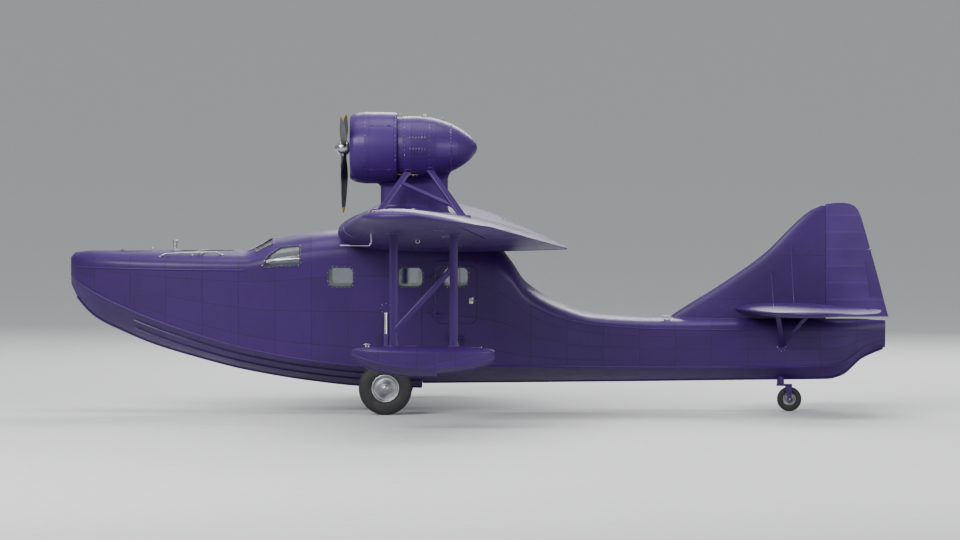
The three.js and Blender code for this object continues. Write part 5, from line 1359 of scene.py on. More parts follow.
def hubPart(centre, rim, width, bore):
    # a dished wheel: bead seats at the rim, a thin web with a swage, and a boss round the axle
    w = width / 2
    web = [(0.45, 0.62), (0.36, 0.78), (0.44, 0.86), (0.92, 0.9), (1.0, 0.96), (0.98, 0.995)]
    boss = [(w, bore), (w, bore * 1.7), (w * 0.9, bore * 1.9)]
    half = curved(boss + [(w * out, rim * up) for out, up in web], 4)
    seat = rim - gear["fit"]
    rows = np.concatenate([half, [(w * 0.72, seat), (-w * 0.72, seat)], half[::-1] * (-1, 1)])
    return lathe(rows, centre, sideways, 64, closed=True)


def putWheel(names, nodes, body, g, y):
    # the tyre and the hub of one wheel, from its dictionary
    centre = (g["x"], y, g["radius"] - keelHeight)
    tyre = tyrePart(centre, g["radius"], g["width"], g["rim"], g["grooves"], g["sides"])
    put(names[0], tyre, tyreRubber, body, stands=[nodes[0]])
    hub = hubPart(centre, g["rim"], g["hub"], g["axle"] + gear["fit"])
    put(names[1], hub, castAluminium, body, stands=[nodes[1]])


def makeWheels():
    for name, side in hands:
        names = f"tyre{name.title()}", f"hub{name.title()}"
        nodes = f"main_tyre_{name}", f"main_hub_{name}"
        putWheel(names, nodes, f"main_wheel_{name}", gear, side * gear["y"])
    putWheel(("tailTyre", "tailHub"), ("tail_tyre", "tail_hub"), "tail_wheel", tailGear, 0)


def makeLegs():
    # two braces from the hull's side to a knuckle at the axle, and a shock strut from there upward
    x, low = gear["x"], gear["radius"] - keelHeight
    dome = [(-0.086 * cos(t), 0.086 * sin(t)) for t in np.linspace(0, pi, 19)]
    for name, side in hands:
        knuckle = (x, side * 1.035, low + 0.02)
        feet = [(x + way * gear["braceReach"], side * 0.8, 0.512) for way in (-1, 1)]
        parts = [strut(foot, knuckle, 0.096, 0.06, 1.25) for foot in feet]
        parts += [
            lathe(dome, knuckle, upZ, 28),
            rod(knuckle, (x, side * 0.908, 0.9), 0.056, 28),
            rod((x, side * 0.92, 0.84), (x, side * 0.905, 0.935), 0.064, 28),
        ]
        putStruts(f"gearLeg{name.title()}", parts, f"gear_leg_{name}", bevel=0.002)
        piston = rod((x, side * 0.925, 0.83), (x, side * 0.845, 1.36), 0.036, 28)
        put(f"shockPiston{name.title()}", piston, platedSteel)
        axle = rod((x, side * 0.99, low), (x, side * (gear["y"] + 0.125), low), gear["axle"], 32)
        put(f"axle{name.title()}", axle, platedSteel, bevel=0.004)


def makeTailGear():
    g = tailGear
    x, pivot, crownZ, low = g["x"], g["pivotX"], g["crownZ"], g["radius"] - keelHeight
    post = rod((pivot, 0, crownZ + gear["fit"]), (pivot, 0, crownZ + gear["fit"] + 0.28), 0.062, 36)
    putStruts("tailPost", post, "tail_post")
    crown = slab(roundedOutline(pivot - 0.07, x + 0.045, -0.112, 0.112, 0.03, 5), 0.016, crownZ)
    arm = [(x - 0.07, 0.03), (x + 0.045, 0.03)] + arc((x, low), 0.036, 20, -200, 12)
    arms = [slab(arm, *sorted(side * y for y in g["armY"]), "xz") for side in (-1, 1)]
    putStruts("tailFork", [crown] + arms, "tail_fork", "tail_fork", bevel=0.003)
    axle = rod((x, -g["axleY"], low), (x, g["axleY"], low), g["axle"], 24)
    put("tailAxle", axle, platedSteel, "tail_fork", bevel=0.002)


def makeTailStruts():
    # a V on each side, from a knee at the hull to two places under the tailplane
    for name, side in hands:
        foot, knee = (np.array(tailBrace[key]) * (1, side, 1) for key in ("foot", "knee"))
        parts = [strut(foot, knee, 0.12, 0.05, 1.2)]
        heads = [(x, side * tailBrace["headY"], 1.262) for x in tailBrace["headX"]]
        parts += [strut(knee, head, 0.08, 0.034, 1.2) for head in heads]
        putStruts(f"tailStruts{name.title()}", parts, f"tail_struts_{name}")


makeWheels()
makeLegs()
makeTailGear()
makeTailStruts()
print("gear and tail struts made")


# Strips, frames and fittings that follow a surface
def band(path, outward, profile, closed=False):
    # a profile of (across, out) pairs carried along a path; out follows the surface's outward direction
    path = np.array(path, float)
    outward = np.broadcast_to(np.array(outward, float), path.shape)
    ahead = unit(np.roll(path, -1, 0) - np.roll(path, 1, 0) if closed else np.gradient(path, axis=0))
    across = unit(np.cross(ahead, outward))
    out = np.cross(across, ahead)
    flat = np.array(profile, float)
    points = path[:, None] + flat[None, :, :1] * across[:, None] + flat[None, :, 1:] * out[:, None]
    return grid(points, wrapU=closed, wrapV=True, caps=not closed)


def flatBar(width, height, sunk=0.004):
    # a strip's section: sunk below the surface, with both upper corners cut at 45 degrees
    w, c = width / 2, height * 0.45
    return [(-w, -sunk), (-w, height - c), (-w + c, height), (w - c, height), (w, height - c), (w, -sunk)]


def halfRound(width, height, sunk=0.004):
    # a strip's section: half an ellipse on a sunk foot
    w = width / 2
    return [(-w, -sunk)] + [(w * cos(t), height * sin(t)) for t in np.linspace(pi, 0, 9)] + [(w, -sunk)]


def finer(path, step=0.03, closed=True):
    # the same line with points no further apart than step
    line = np.array(path, float)
    after = np.roll(line, -1, 0) if closed else line[1:]
    counts = [max(1, ceil(np.linalg.norm(b - a) / step)) for a, b in zip(line, after)]
    pieces = [a + (b - a) * np.arange(n)[:, None] / n for a, b, n in zip(line, after, counts)]
    return np.concatenate(pieces if closed else pieces + [line[-1:]])


def studs(points, normals, radius, height, sides=8):
    # low round heads: a ring in the surface, one above it and a smaller one on top, with flat ends
    points = np.array(points, float)
    normals = np.broadcast_to(unit(np.array(normals, float)), points.shape)
    helper = np.where(np.abs(normals[:, :1]) > 0.9, (0.0, 1.0, 0.0), (1.0, 0.0, 0.0))
    across = unit(np.cross(normals, helper))
    a = evenTurns(sides)[None, :, None]
    spoke = np.cos(a) * across[:, None] + np.sin(a) * np.cross(normals, across)[:, None]
    levels = ((radius, -height), (radius, height * 0.5), (radius * 0.6, height))
    cloud = np.stack([points[:, None] + spoke * r + normals[:, None] * h for r, h in levels], 1)
    cloud = cloud.reshape(-1, 3)
    i = np.arange(len(points))[:, None, None] * 3 * sides + np.arange(2)[None, :, None] * sides
    k = np.arange(sides)[None, None, :]
    k2 = (k + 1) % sides
    quads = np.stack([i + k, i + k2, i + sides + k2, i + sides + k], -1).reshape(-1, 4)
    starts = [s * sides for n in range(len(points)) for s in (3 * n, 3 * n + 2)]
    rings = [list(range(s, s + sides)) for s in starts]
    return {"points": cloud, "quads": quads, "rings": rings, "uv": cloud[:, :2].copy()}


def patch(surface, normals, thickness, sunk=0.001):
    # a thin sheet on a surface: upper points across, then the lower ones back, lofted along the other way
    top = surface + normals * thickness
    bottom = surface - normals * sunk
    return grid(np.concatenate([top, bottom[:, ::-1]], 1), wrapV=True, caps=True)


def slopes(shape, a, b, step=0.01):
    # how fast shape(a, b) rises along each of the two, from the difference over a centimetre either way
    return ((shape(a + step, b) - shape(a - step, b)) / (2 * step),
            (shape(a, b + step) - shape(a, b - step)) / (2 * step))


def hullSide(x, z, side, out=0.0):
    # a point on the side of the hull and its outward direction, from the slopes of sideY
    x, z = np.broadcast_arrays(np.asarray(x, float), np.asarray(z, float))
    alongX, alongZ = slopes(sideY, x, z)
    normal = unit(np.stack([-alongX, np.ones_like(x), -alongZ], -1)) * (1, side, 1)
    return np.stack([x, side * sideY(x, z), z], -1) + out * normal, normal


def hullDeck(x, y, out=0.0):
    # a point on the deck and its outward direction, from the slopes of deckZ
    x, y = np.broadcast_arrays(np.asarray(x, float), np.asarray(y, float))
    alongX, alongY = slopes(deckZ, x, y)
    normal = unit(np.stack([-alongX, -alongY, np.ones_like(x)], -1))
    return np.stack([x, y, deckZ(x, y)], -1) + out * normal, normal


def hullBottom(x, s, side):
    # points of the bottom, s of the way from the keel to the chine
    keel, chineZ, chineY = linesAt(x)[:3]
    return np.stack([x, side * chineY * s, keel + (chineZ - keel) * s ** hull["hollow"]], -1)


def wingSkin(y, part, face):
    # a point on the wing's upper (1) or lower (-1) skin and its outward direction
    y, part = np.broadcast_arrays(np.asarray(y, float), np.asarray(part, float))

    def at(y, part):
        return skins(wingShape, y, part, face * halfThickness(part, wingSize(y)[2]))[0]
    point = at(y, part)
    chordwise, spanwise = at(y, part + 0.004) - point, at(y + 0.01, part) - point
    return point, unit(np.cross(chordwise, spanwise)) * face


trim = {
    "frameWidth": 0.036, "frameHeight": 0.006, "frameGrow": 0.016, "sealWidth": 0.012, "sealHeight": 0.009,
    "screwPitch": 0.075, "screwRadius": 0.0055, "screwHeight": 0.0015,
}


def frameParts(outline, place, step=0.03):
    # a flat frame round an opening, the seal between frame and pane, and the frame's screws
    t = trim
    outline = np.array(outline)
    outer = outline + unit(outline - outline.mean(0)) * t["frameGrow"]
    rim = band(*place(*finer(outer, step).T), flatBar(t["frameWidth"], t["frameHeight"]), closed=True)
    seal = band(*place(*finer(outline, step).T), halfRound(t["sealWidth"], t["sealHeight"]), closed=True)
    fine = 0.004
    points, normals = place(*finer(outer, fine)[::int(t["screwPitch"] / fine)].T)
    return rim, seal, studs(points + normals * t["frameHeight"], normals, t["screwRadius"], t["screwHeight"])


def makeFrames():
    onSide = {side: functools.partial(hullSide, side=side) for side in (-1, 1)}
    openings = [(windowOutline(x), onSide[side]) for x, side in windows["places"]]
    for side in (-1, 1):
        openings.append((roundCorners(screen["side"], screen["radius"]), onSide[side]))
        openings.append((roundCorners(np.array(screen["outline"]) * (1, side), screen["radius"]), hullDeck))
    rims, seals, heads = zip(*(frameParts(outline, place) for outline, place in openings))
    put("windowFrames", rims, plainPaint)
    put("windowSeals", seals, sealRubber)
    put("frameScrews", heads, platedSteel, angle=20)
    rim, seal, heads = frameParts(windowOutline(doorPaneX), onSide[-1])
    put("doorWindowFrame", rim, plainPaint, "cabin_door")
    put("doorWindowSeal", seal, sealRubber, "cabin_door")
    put("doorWindowScrews", heads, platedSteel, "cabin_door", angle=20)


doorTrim = {
    "hingeX": -0.772, "hingeY": -0.88, "knuckle": 0.009, "length": 0.055, "root": -0.822,
    "hinges": (1.27, 1.875), "handle": (-0.15, 1.50), "seal": (0.003, 0.006), "sealGrow": 0.006,
    "sealDepth": 0.015,
    "gutterX": (-0.70, -0.12), "gutterZ": 2.075, "gutterRadius": 0.1, "stepX": (-0.52, -0.30), "stepZ": 0.88,
}


def makeDoorHinges():
    # on each hinge the hull's knuckle stands on the door's, about one pin
    d = doorTrim
    x, y, root, front = d["hingeX"], d["hingeY"], d["root"], door["front"]
    fixed, moving, pins = [], [], []
    for z in d["hinges"]:
        low, high = z + 0.0003, z + d["length"]
        fixed.append(rod((x, y, low), (x, y, high), d["knuckle"], 24))
        fixed.append(block((x - 0.06, y - 0.006, low + 0.004), (x, root, high - 0.004)))
        low, high = z - d["length"], z
        moving.append(rod((x, y, low), (x, y, high), d["knuckle"], 24))
        leaf = roundedOutline(x, front + 0.1, low + 0.004, high - 0.004, 0.008, 3)
        moving.append(slab(leaf, y - 0.006, y + 0.008, "xz"))
        moving.append(block((front + 0.01, y - 0.005, low + 0.005), (front + 0.098, root, high - 0.005)))
        heads = [(front + ahead, y - 0.006, low + up) for ahead in (0.03, 0.07) for up in (0.015, 0.04)]
        moving.append(studs(heads, (0, -1, 0), 0.005, 0.002))
        pins.append(studs([(x, y, z + d["length"])], (0, 0, 1), 0.006, 0.004, 12))
    put("doorHingeHull", fixed, plainPaint, bevel=0.001)
    put("doorHingeLeaf", moving, plainPaint, "cabin_door", bevel=0.001)
    put("doorHingePins", pins, platedSteel)


def makeDoorHandles():
    # outside a lever on a rose plate, inside a straight grip on the same spindle
    x, z = doorTrim["handle"]
    point, normal = hullSide(x, z, -1)
    rose = finer(roundedOutline(x - 0.035, x + 0.035, z - 0.055, z + 0.055, 0.02, 5), 0.02)
    around, out = hullSide(*rose.T, -1)
    face = (around - point) * 0.9 + point + out * 0.006
    levels = np.stack([around - out * 0.004, around + out * 0.004, face])
    route = curved([(x, 0, 0), (x + 0.03, 0, -0.004), (x + 0.075, 0, -0.006), (x + 0.115, 0, -0.002)], 5)
    lever = tube(route + (0, point[1] - 0.036, z), np.linspace(0.011, 0.0075, len(route)), 14, flat=0.7)
    outside = [grid(levels, wrapV=True, caps=True), rod(point, point + normal * 0.04, 0.011, 20), lever]
    put("doorHandle", outside, platedSteel, "cabin_door", bevel=0.001)
    y = point[1] + 0.05
    grip = tube([(x, y + 0.03, z), (x - 0.05, y + 0.032, z), (x - 0.1, y + 0.03, z)], 0.008, 12)
    put("doorInnerHandle", [rod((x, y, z), (x, y + 0.035, z), 0.01, 16), grip], castAluminium, "cabin_door")


def makeDoorway():
    # the seal round the opening, the gutter over it and the boarding step below it
    d = doorTrim
    around, out = hullSide(*finer(doorOutline(d["sealGrow"]), 0.04).T, -1, -d["sealDepth"])
    across, deep = d["seal"]
    oval = [(across * cos(t), deep * sin(t)) for t in evenTurns(8)]
    put("doorSeal", band(around, out, oval, closed=True), sealRubber)
    front, back = ((x, d["gutterZ"]) for x in d["gutterX"])
    line = arc(front, d["gutterRadius"], 150, 90, 5) + arc(back, d["gutterRadius"], 90, 30, 5)
    around, out = hullSide(*finer(line, 0.04, closed=False).T, -1)
    put("doorGutter", band(around, out, halfRound(0.012, 0.016)), plainPaint)
    x0, x1 = d["stepX"]
    z, y = d["stepZ"], hullSide(x0, d["stepZ"], -1)[0][1]
    tread = slab(roundedOutline(x0 - 0.04, x1 + 0.04, y - 0.14, y + 0.012, 0.02, 4), z - 0.018, z)
    stays = [rod((x, y - 0.11, z - 0.014), (x, y + 0.03, z - 0.16), 0.009, 12) for x in (x0, x1)]
    put("boardingStep", [tread] + stays, plainPaint, slot="strut_paint", bevel=0.003)
    grit = roundedOutline(x0 - 0.025, x1 + 0.025, y - 0.128, y - 0.005, 0.015, 4)
    put("boardingStepGrip", slab(grit, z - 0.0005, z + 0.0025), walkwayGrit)


makeFrames()
makeDoorHinges()
makeDoorHandles()
makeDoorway()
print("frames and door fittings made")


def cleat(point, size=0.09):
    # two feet on a base and a horned bar that thins towards both ends, along x
    x, y, z = point
    bar = [(-1, 0.036), (-0.55, 0.044), (0, 0.046), (0.55, 0.044), (1, 0.036)]
    route = curved([(x + at * size, y, z + up) for at, up in bar], 5)
    reach = 0.011 - 0.005 * np.abs(np.linspace(-1, 1, len(route))) ** 1.5
    places = (x - size * 0.4, x + size * 0.4)
    feet = [rod((at, y, z - 0.012), (at, y, z + 0.04), 0.014, 14, 0.008) for at in places]
    half = size * 0.62
    base = slab(roundedOutline(x - half, x + half, y - 0.02, y + 0.02, 0.015, 4), z - 0.012, z + 0.006)
    return [tube(route, reach, 12), base] + feet


strips = {
    "chine": (0.034, 0.02), "keel": (0.045, 0.022), "rail": (0.03, 0.016), "afterRail": (0.022, 0.01),
    "strake": [(-0.015, -0.004), (-0.013, 0.018), (0.004, 0.014), (0.016, -0.004)], "strakesAt": (0.42, 0.72),
}


def makeHullStrips():
    parts, strakes, rails = [], [], []
    for x, aft in ((np.linspace(-6.9, -0.995, 110), False), (np.linspace(-0.98, 6.9, 120), True)):
        keel, chineZ, chineY = hullLine(x, aft)[:3]
        for side in (-1, 1):
            line = np.stack([x, side * chineY, chineZ], -1)
            parts.append(band(line, (0.0, side * 0.8, -0.6), halfRound(*strips["chine"])))
        down = np.stack([np.gradient(keel, x), 0 * x, -1 + 0 * x], -1)
        parts.append(band(np.stack([x, 0 * x, keel], -1), down, halfRound(*strips["keel"])))
    put("chineAndKeelStrips", parts, plainPaint, angle=40)
    x = np.linspace(-5.9, -1.02, 80)
    for side in (-1, 1):
        for s in strips["strakesAt"]:
            strakes.append(band(hullBottom(x, s, side), (-0.05, side * 0.35, -0.93), strips["strake"]))
    put("sprayStrakes", strakes, plainPaint)
    fore, aft = np.linspace(-6.9, -4.0, 60), np.linspace(0.9, 6.7, 80)
    for x, up, key in ((fore, -0.03, "rail"), (aft, 0.02, "afterRail")):
        level = hullLine(x, False)[3] + up
        rails += [band(*hullSide(x, level, side), halfRound(*strips[key])) for side in (-1, 1)]
    put("rubbingStrakes", rails, plainPaint, angle=40)


deckGear = {
    "bittX": -5.22, "cleats": [(-4.75, 0.55), (3.2, 0.26)], "railX": (-5.45, -4.4), "railY": 0.6,
    "eyeX": -6.985, "eyeZ": 1.93, "hingeX": -6.13, "hingeZ": 2.352, "hingesY": (-0.18, 0.18),
    "handleX": -5.605, "walkway": (-5.1, -4.22, 0.26),
    "bitt": [(-0.01, 0.075), (0.008, 0.075), (0.014, 0.04), (0.02, 0.034), (0.15, 0.034), (0.155, 0.045),
             (0.17, 0.045), (0.178, 0.03)],
}


def grabRail(side):
    # a bar that lies 5 cm over the deck between two feet and a middle post, each foot on a small flange
    count = 24
    x = np.linspace(*deckGear["railX"], count)
    foot, normal = hullDeck(x, np.full(count, side * deckGear["railY"]))
    toEnd = np.minimum(np.arange(count), count - 1 - np.arange(count))
    lift = 0.05 * np.clip(toEnd / 2, 0, 1) - 0.004
    post = rod(foot[12] - normal[12] * 0.004, foot[12] + normal[12] * 0.046, 0.0095, 12)
    flange = [(-0.003, 0.026), (0.005, 0.026), (0.008, 0.014)]
    return [tube(foot + normal * lift[:, None], 0.0105, 14), post] + [
        lathe(flange, foot[k], normal[k], 16) for k in (0, 12, 23)]


def makeDeckGear():
    d, top = deckGear, hatch["deck"]
    a = evenTurns(28)
    eye = np.stack([d["eyeX"] - 0.022 * np.cos(a), 0 * a, d["eyeZ"] + 0.034 * np.sin(a)], -1)
    put("bowEye", tube(eye, 0.008, 12, closed=True), platedSteel)
    cross = rod((d["bittX"], -0.1, top + 0.1), (d["bittX"], 0.1, top + 0.1), 0.014, 16)
    put("mooringBitt", [lathe(d["bitt"], (d["bittX"], 0, top), upZ, 28), cross], castAluminium, bevel=0.001)
    cleats = [cleat((x, side * y, float(deckZ(x, y)))) for x, y in d["cleats"] for side in (-1, 1)]
    put("cleats", sum(cleats, []), castAluminium)
    put("grabRails", grabRail(-1) + grabRail(1), platedSteel)


def makeHatchFittings():
    d, h = deckGear, hatch
    leaves, lidLeaves = [], []
    x, z = d["hingeX"], d["hingeZ"]
    for y in d["hingesY"]:
        leaves.append(rod((x, y - 0.04, z), (x, y - 0.0003, z), 0.009, 20))
        leaves.append(slab(roundedOutline(x - 0.06, x, y - 0.038, y - 0.002, 0.006, 3), z - 0.016, z - 0.005))
        lidLeaves.append(rod((x, y, z), (x, y + 0.04, z), 0.009, 20))
        lidLeaf = roundedOutline(x, x + 0.07, y + 0.002, y + 0.038, 0.006, 3)
        lidLeaves.append(slab(lidLeaf, z - 0.0115, z - 0.0045))
    x = d["handleX"]
    bow = [(-0.06, 2.338), (-0.055, 2.375), (0, 2.382), (0.055, 2.375), (0.06, 2.338)]
    lidLeaves.append(tube(curved([(x, y, z) for y, z in bow], 6), 0.007, 12))
    put("hatchHingeDeck", leaves, platedSteel, bevel=0.001)
    put("hatchHingeLid", lidLeaves, platedSteel, "bow_hatch", bevel=0.001)
    half = h["half"] - 0.03
    rim = finer(roundedOutline(h["front"] + 0.03, h["back"] - 0.03, -half, half, 0.04, 5), 0.04)
    put("hatchLidBead", band(*hullDeck(*rim.T), halfRound(0.022, 0.006), closed=True), hullPaint, "bow_hatch")
    x0, x1, half = d["walkway"]
    x, y = np.meshgrid(np.linspace(x0, x1, 30), np.linspace(-half, half, 12), indexing="ij")
    put("foredeckWalkway", patch(*hullDeck(x, y), 0.0025), walkwayGrit)


makeHullStrips()
makeDeckGear()
makeHatchFittings()
print("hull strips and deck gear made")

# Cabin
cabin = {
    "cockpitFloorZ": 1.05, "bulkheadX": -2.70, "ribs": (-3.98, -3.0, -2.1, -1.77, -1.44, -0.92, 0.03),
    "rib": (0.03, 0.032), "ribHeights": (1.66, 2.34), "cockpitRibHeights": (1.1, 2.0),
    "stringer": (0.022, 0.018), "stringers": (1.69, 2.13),
    "runs": {-1: [(-2.66, -0.82), (0.0, 0.27)], 1: [(-2.66, 0.27)]},
    "lining": (-2.66, -0.84, 0.71, 1.66), "ends": ((-4.145, -4.135), (0.284, 0.2995)),
    "doorway": (0.3, 0.85, 2.38, 0.12), "panelFoot": (-3.83, 1.65), "panelHead": (-3.79, 2.20),
}


def dressNode(name, material):
    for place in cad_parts[name].material_slots:
        place.material = material


def insideSkin(x, z, side):
    # a point on the inner face of the hull's wall and the direction into the cabin
    point, normal = hullSide(x, z, side)
    return point - normal * hull["wall"], -normal


def makeLining():
    dressNode("cabin_floor", ribbedMat)
    dressNode("cockpit_bulkhead", cabinPaint)
    dressNode("instrument_panel", crackleBlack)
    c = cabin
    ribs, stringers, boards = [], [], []
    for side in (-1, 1):
        for x in c["ribs"]:
            if side < 0 and door["front"] - 0.05 < x < door["back"]:
                continue
            z = np.linspace(*c["ribHeights" if x > c["bulkheadX"] else "cockpitRibHeights"], 20)
            ribs.append(band(*insideSkin(x, z, side), flatBar(*c["rib"])))
        for z in c["stringers"]:
            for run in c["runs"][side]:
                stringers.append(band(*insideSkin(np.linspace(*run, 40), z, side), flatBar(*c["stringer"])))
        x0, x1, z0, z1 = c["lining"]
        x, z = np.meshgrid(np.linspace(x0, x1, 40), np.linspace(z0, z1, 14), indexing="ij")
        boards.append(patch(*insideSkin(x, z, side), 0.006))
    put("cabinRibs", ribs, cabinPaint)
    put("cabinStringers", stringers, cabinPaint)
    put("sideLining", boards, cabinLining)
    walls = [grid(hullSkin(low, high, 0.052)[0], wrapV=True, caps=True) for low, high in c["ends"]]
    put("endLinings", walls, cabinPaint)


def makeCeiling():
    # the wing's underside less 4 mm, out to the cabin's walls
    x, share = np.meshgrid(np.linspace(-2.3, 0.27, 40), np.linspace(-1, 1, 30), indexing="ij")
    level = wingSkin(0 * x, (x - wing["rootLeading"]) / wing["rootChord"], -1)[0][..., 2] - 0.004
    half = np.minimum(sideY(x, level, 0.03), 0.84)
    surface = np.stack([x, share * half, level], -1)
    put("ceilingLining", patch(surface, np.array([0.0, 0.0, -1.0]), 0.006), cabinPaint)


def makeDoorwayEdges():
    # strips round the bulkhead's doorway on both faces, from floor to floor over the top
    half, low, high, radius = cabin["doorway"]
    foot = cabin["cockpitFloorZ"] + 0.01
    edge = [(y, z) for y, z in roundedOutline(-half, half, low, high, radius, 8) if z > foot]
    edge = sorted(edge, key=lambda p: -atan2(p[0], p[1] - 1.6))
    line = finer(edge, 0.05, closed=False)
    for name, x, way in (("doorwayEdgeFront", -2.7405, -1), ("doorwayEdgeBack", -2.6995, 1)):
        path = np.column_stack([np.full(len(line), x), line])
        put(name, band(path, (way, 0, 0), flatBar(0.04, 0.008, 0.0)), castAluminium)


dials = {
    "big": 0.045, "bigY": (-0.52, -0.41, -0.30, 0.30, 0.41, 0.52), "bigZ": (1.93, 2.05),
    "small": 0.031, "smallY": (-0.17, -0.085, 0.0, 0.085, 0.17), "smallZ": (1.9, 1.985, 2.07),
    "switchZ": 1.82, "switchReach": 0.5, "switches": 15,
    "bezel": [(-0.002, 1), (0.01, 1), (0.012, 0.94), (0.009, 0.87), (0.004, 0.86), (0.004, 0)],
}


def panelPoint(y, z):
    # a point on the leaning instrument panel and the direction towards the seats
    (x0, z0), (x1, z1) = cabin["panelFoot"], cabin["panelHead"]
    return np.array([x0 + (x1 - x0) * (z - z0) / (z1 - z0), y, z]), unit(np.array([z1 - z0, 0.0, x0 - x1]))


def makeInstruments():
    # a dial is a turned bezel with a recessed face, a ring of dots and a needle
    d = dials
    places = [(y, z, d["big"]) for y in d["bigY"] for z in d["bigZ"]]
    places += [(y, z, d["small"]) for y in d["smallY"] for z in d["smallZ"]]
    bezels, marks, knobs = [], [], []
    for index, (y, z, r) in enumerate(places):
        centre, n = panelPoint(y, z)
        bezels.append(lathe([(up, r * share) for up, share in d["bezel"]], centre, n, 28))
        across = unit(np.cross(n, upZ))
        up = np.cross(across, n)
        a = np.radians(np.arange(-135, 136, 27))[:, None]
        dots = centre + n * 0.0045 + r * 0.72 * (np.sin(a) * across + np.cos(a) * up)
        marks.append(studs(dots, n, r * 0.055, 0.001, 6))
        lean = radians(-120 + 67 * index % 230)
        tip = centre + n * 0.006 + r * 0.62 * (sin(lean) * across + cos(lean) * up)
        marks.append(rod(centre + n * 0.006, tip, 0.0016, 6, 0.0008))
        knobs.append(lathe([(0.003, 0.005), (0.009, 0.005), (0.009, 0.0)], centre, n, 12))
    lever = [(0, 0.009), (0.004, 0.009), (0.005, 0.005), (0.018, 0.0045), (0.02, 0.0)]
    for y in np.linspace(-d["switchReach"], d["switchReach"], d["switches"]):
        knobs.append(lathe(lever, *panelPoint(y, d["switchZ"]), 12))
    put("dialBezels", bezels, crackleBlack)
    put("dialMarks", marks, dialWhite, angle=20)
    put("switches", knobs, castAluminium)


controls = {
    "y": 0.4, "shaftX": -3.53, "shaftZ": 1.0703, "wheelX": -3.49, "wheelZ": 1.78, "wheelRadius": 0.135,
    "column": [(0, 1.07), (-0.02, 1.3), (-0.04, 1.6), (-0.045, 1.78)],
    "boss": [(0, 0.03), (0.03, 0.034), (0.07, 0.03), (0.134, 0.018)],
    "leverY": (-0.06, -0.03, 0.0, 0.03, 0.06), "pedalX": -3.985, "pedalY": (-0.52, -0.30, 0.30, 0.52),
}


def makeColumns():
    # a half-wheel on a leaning column at each seat, both on one shaft across the floor
    c = controls
    x, z = c["shaftX"], c["shaftZ"]
    parts, grips = [rod((x, -0.48, z), (x, 0.48, z), 0.02, 20)], []
    parts += [block((x - 0.03, y - 0.02, z - 0.02), (x + 0.03, y + 0.02, z + 0.0197)) for y in (-0.46, 0.46)]
    x, z = c["wheelX"], c["wheelZ"]
    for y in (-c["y"], c["y"]):
        parts.append(tube(curved([(c["shaftX"] + dx, y, up) for dx, up in c["column"]], 6), 0.021, 18))
        parts.append(lathe(c["boss"], (-3.62, y, z), forwardX, 24))
        a = np.radians(np.linspace(150, 390, 40))
        rim = stacked(x, y + c["wheelRadius"] * np.cos(a), z + c["wheelRadius"] * np.sin(a))
        grips.append(tube(rim, 0.0135, 14))
        for a in (radians(195), radians(345)):
            parts.append(rod((x - 0.002, y, z), (x, y + 0.13 * cos(a), z + 0.13 * sin(a)), 0.011, 12, 0.008))
    put("controlColumns", parts, crackleBlack, stands=["control_columns"], bevel=0.001)
    put("controlWheelRims", grips, sealRubber)


def makeLeversAndPedals():
    c = controls
    box = [slab(roundedOutline(-3.82, -3.66, -0.09, 0.09, 0.02, 4), 1.56, 1.66),
           slab(roundedOutline(-3.82, -3.7, -0.05, 0.05, 0.02, 4), 1.0503, 1.57)]
    knobs = []
    for k, y in enumerate(c["leverY"]):
        head = (-3.72 + 0.012 * (k % 3), y, 1.755)
        box.append(rod((-3.74, y, 1.655), head, 0.004, 10))
        knob = [(-0.014, 0.006), (-0.01, 0.013), (0.004, 0.014), (0.012, 0.009), (0.014, 0.0)]
        knobs.append(lathe(knob, head, upZ, 16))
    put("throttleBox", box, crackleBlack, bevel=0.003)
    put("throttleKnobs", knobs, redLens, slot="panel_black")
    pedals, x = [], c["pedalX"]
    for y in c["pedalY"]:
        plate = roundedOutline(y - 0.05, y + 0.05, 1.24, 1.36, 0.02, 4)
        pedals.append(slab(plate, x - 0.005, x + 0.007, "yz"))
        pedals.append(rod((x, y, 1.25), (x, y, 1.055), 0.01, 12))
    pedals.append(rod((x, -0.56, 1.07), (x, 0.56, 1.07), 0.014, 16))
    put("rudderPedals", pedals, castAluminium, bevel=0.002)


# Cushions: outer size, voxel, how far the cloth may swell, how much smaller it starts, the sewn channels
cushions = {
    "benchSeat": {"size": (0.468, 0.432, 0.128), "voxel": 0.014, "cap": 0.024, "inset": 0.012,
                  "channels": (-0.145, 0.0, 0.145)},
    "benchBack": {"size": (0.468, 0.112, 0.49), "voxel": 0.014, "cap": 0.022, "inset": 0.010,
                  "channels": (-0.15, 0.0, 0.15)},
    "pilotSeat": {"size": (0.40, 0.40, 0.085), "voxel": 0.012, "cap": 0.016, "inset": 0.008,
                  "channels": (-0.07, 0.07)},
    "pilotBack": {"size": (0.07, 0.38, 0.52), "voxel": 0.012, "cap": 0.015, "inset": 0.008, "channels": ()},
}
cushionTrim = {"corner": 0.028, "channelWidth": 0.011, "piping": 0.0045, "fill": 0.7, "frames": 20}


def roundedBlock(size, radius):
    # a box with rounded upright edges, thinned at both ends by a quarter circle
    rings = []
    for t in np.linspace(0, pi / 2, 5):
        x, y = (s / 2 - radius + radius * sin(t) for s in size[:2])
        outline = np.array(roundedOutline(-x, x, -y, y, radius * 1.01, 5))
        level = size[2] / 2 - radius + radius * cos(t)
        rings.append(np.column_stack([outline, np.full(len(outline), level)]))
    lower = [ring * (1, 1, -1) for ring in rings[::-1]]
    return grid(np.array(rings + lower), wrapV=True, caps=True)


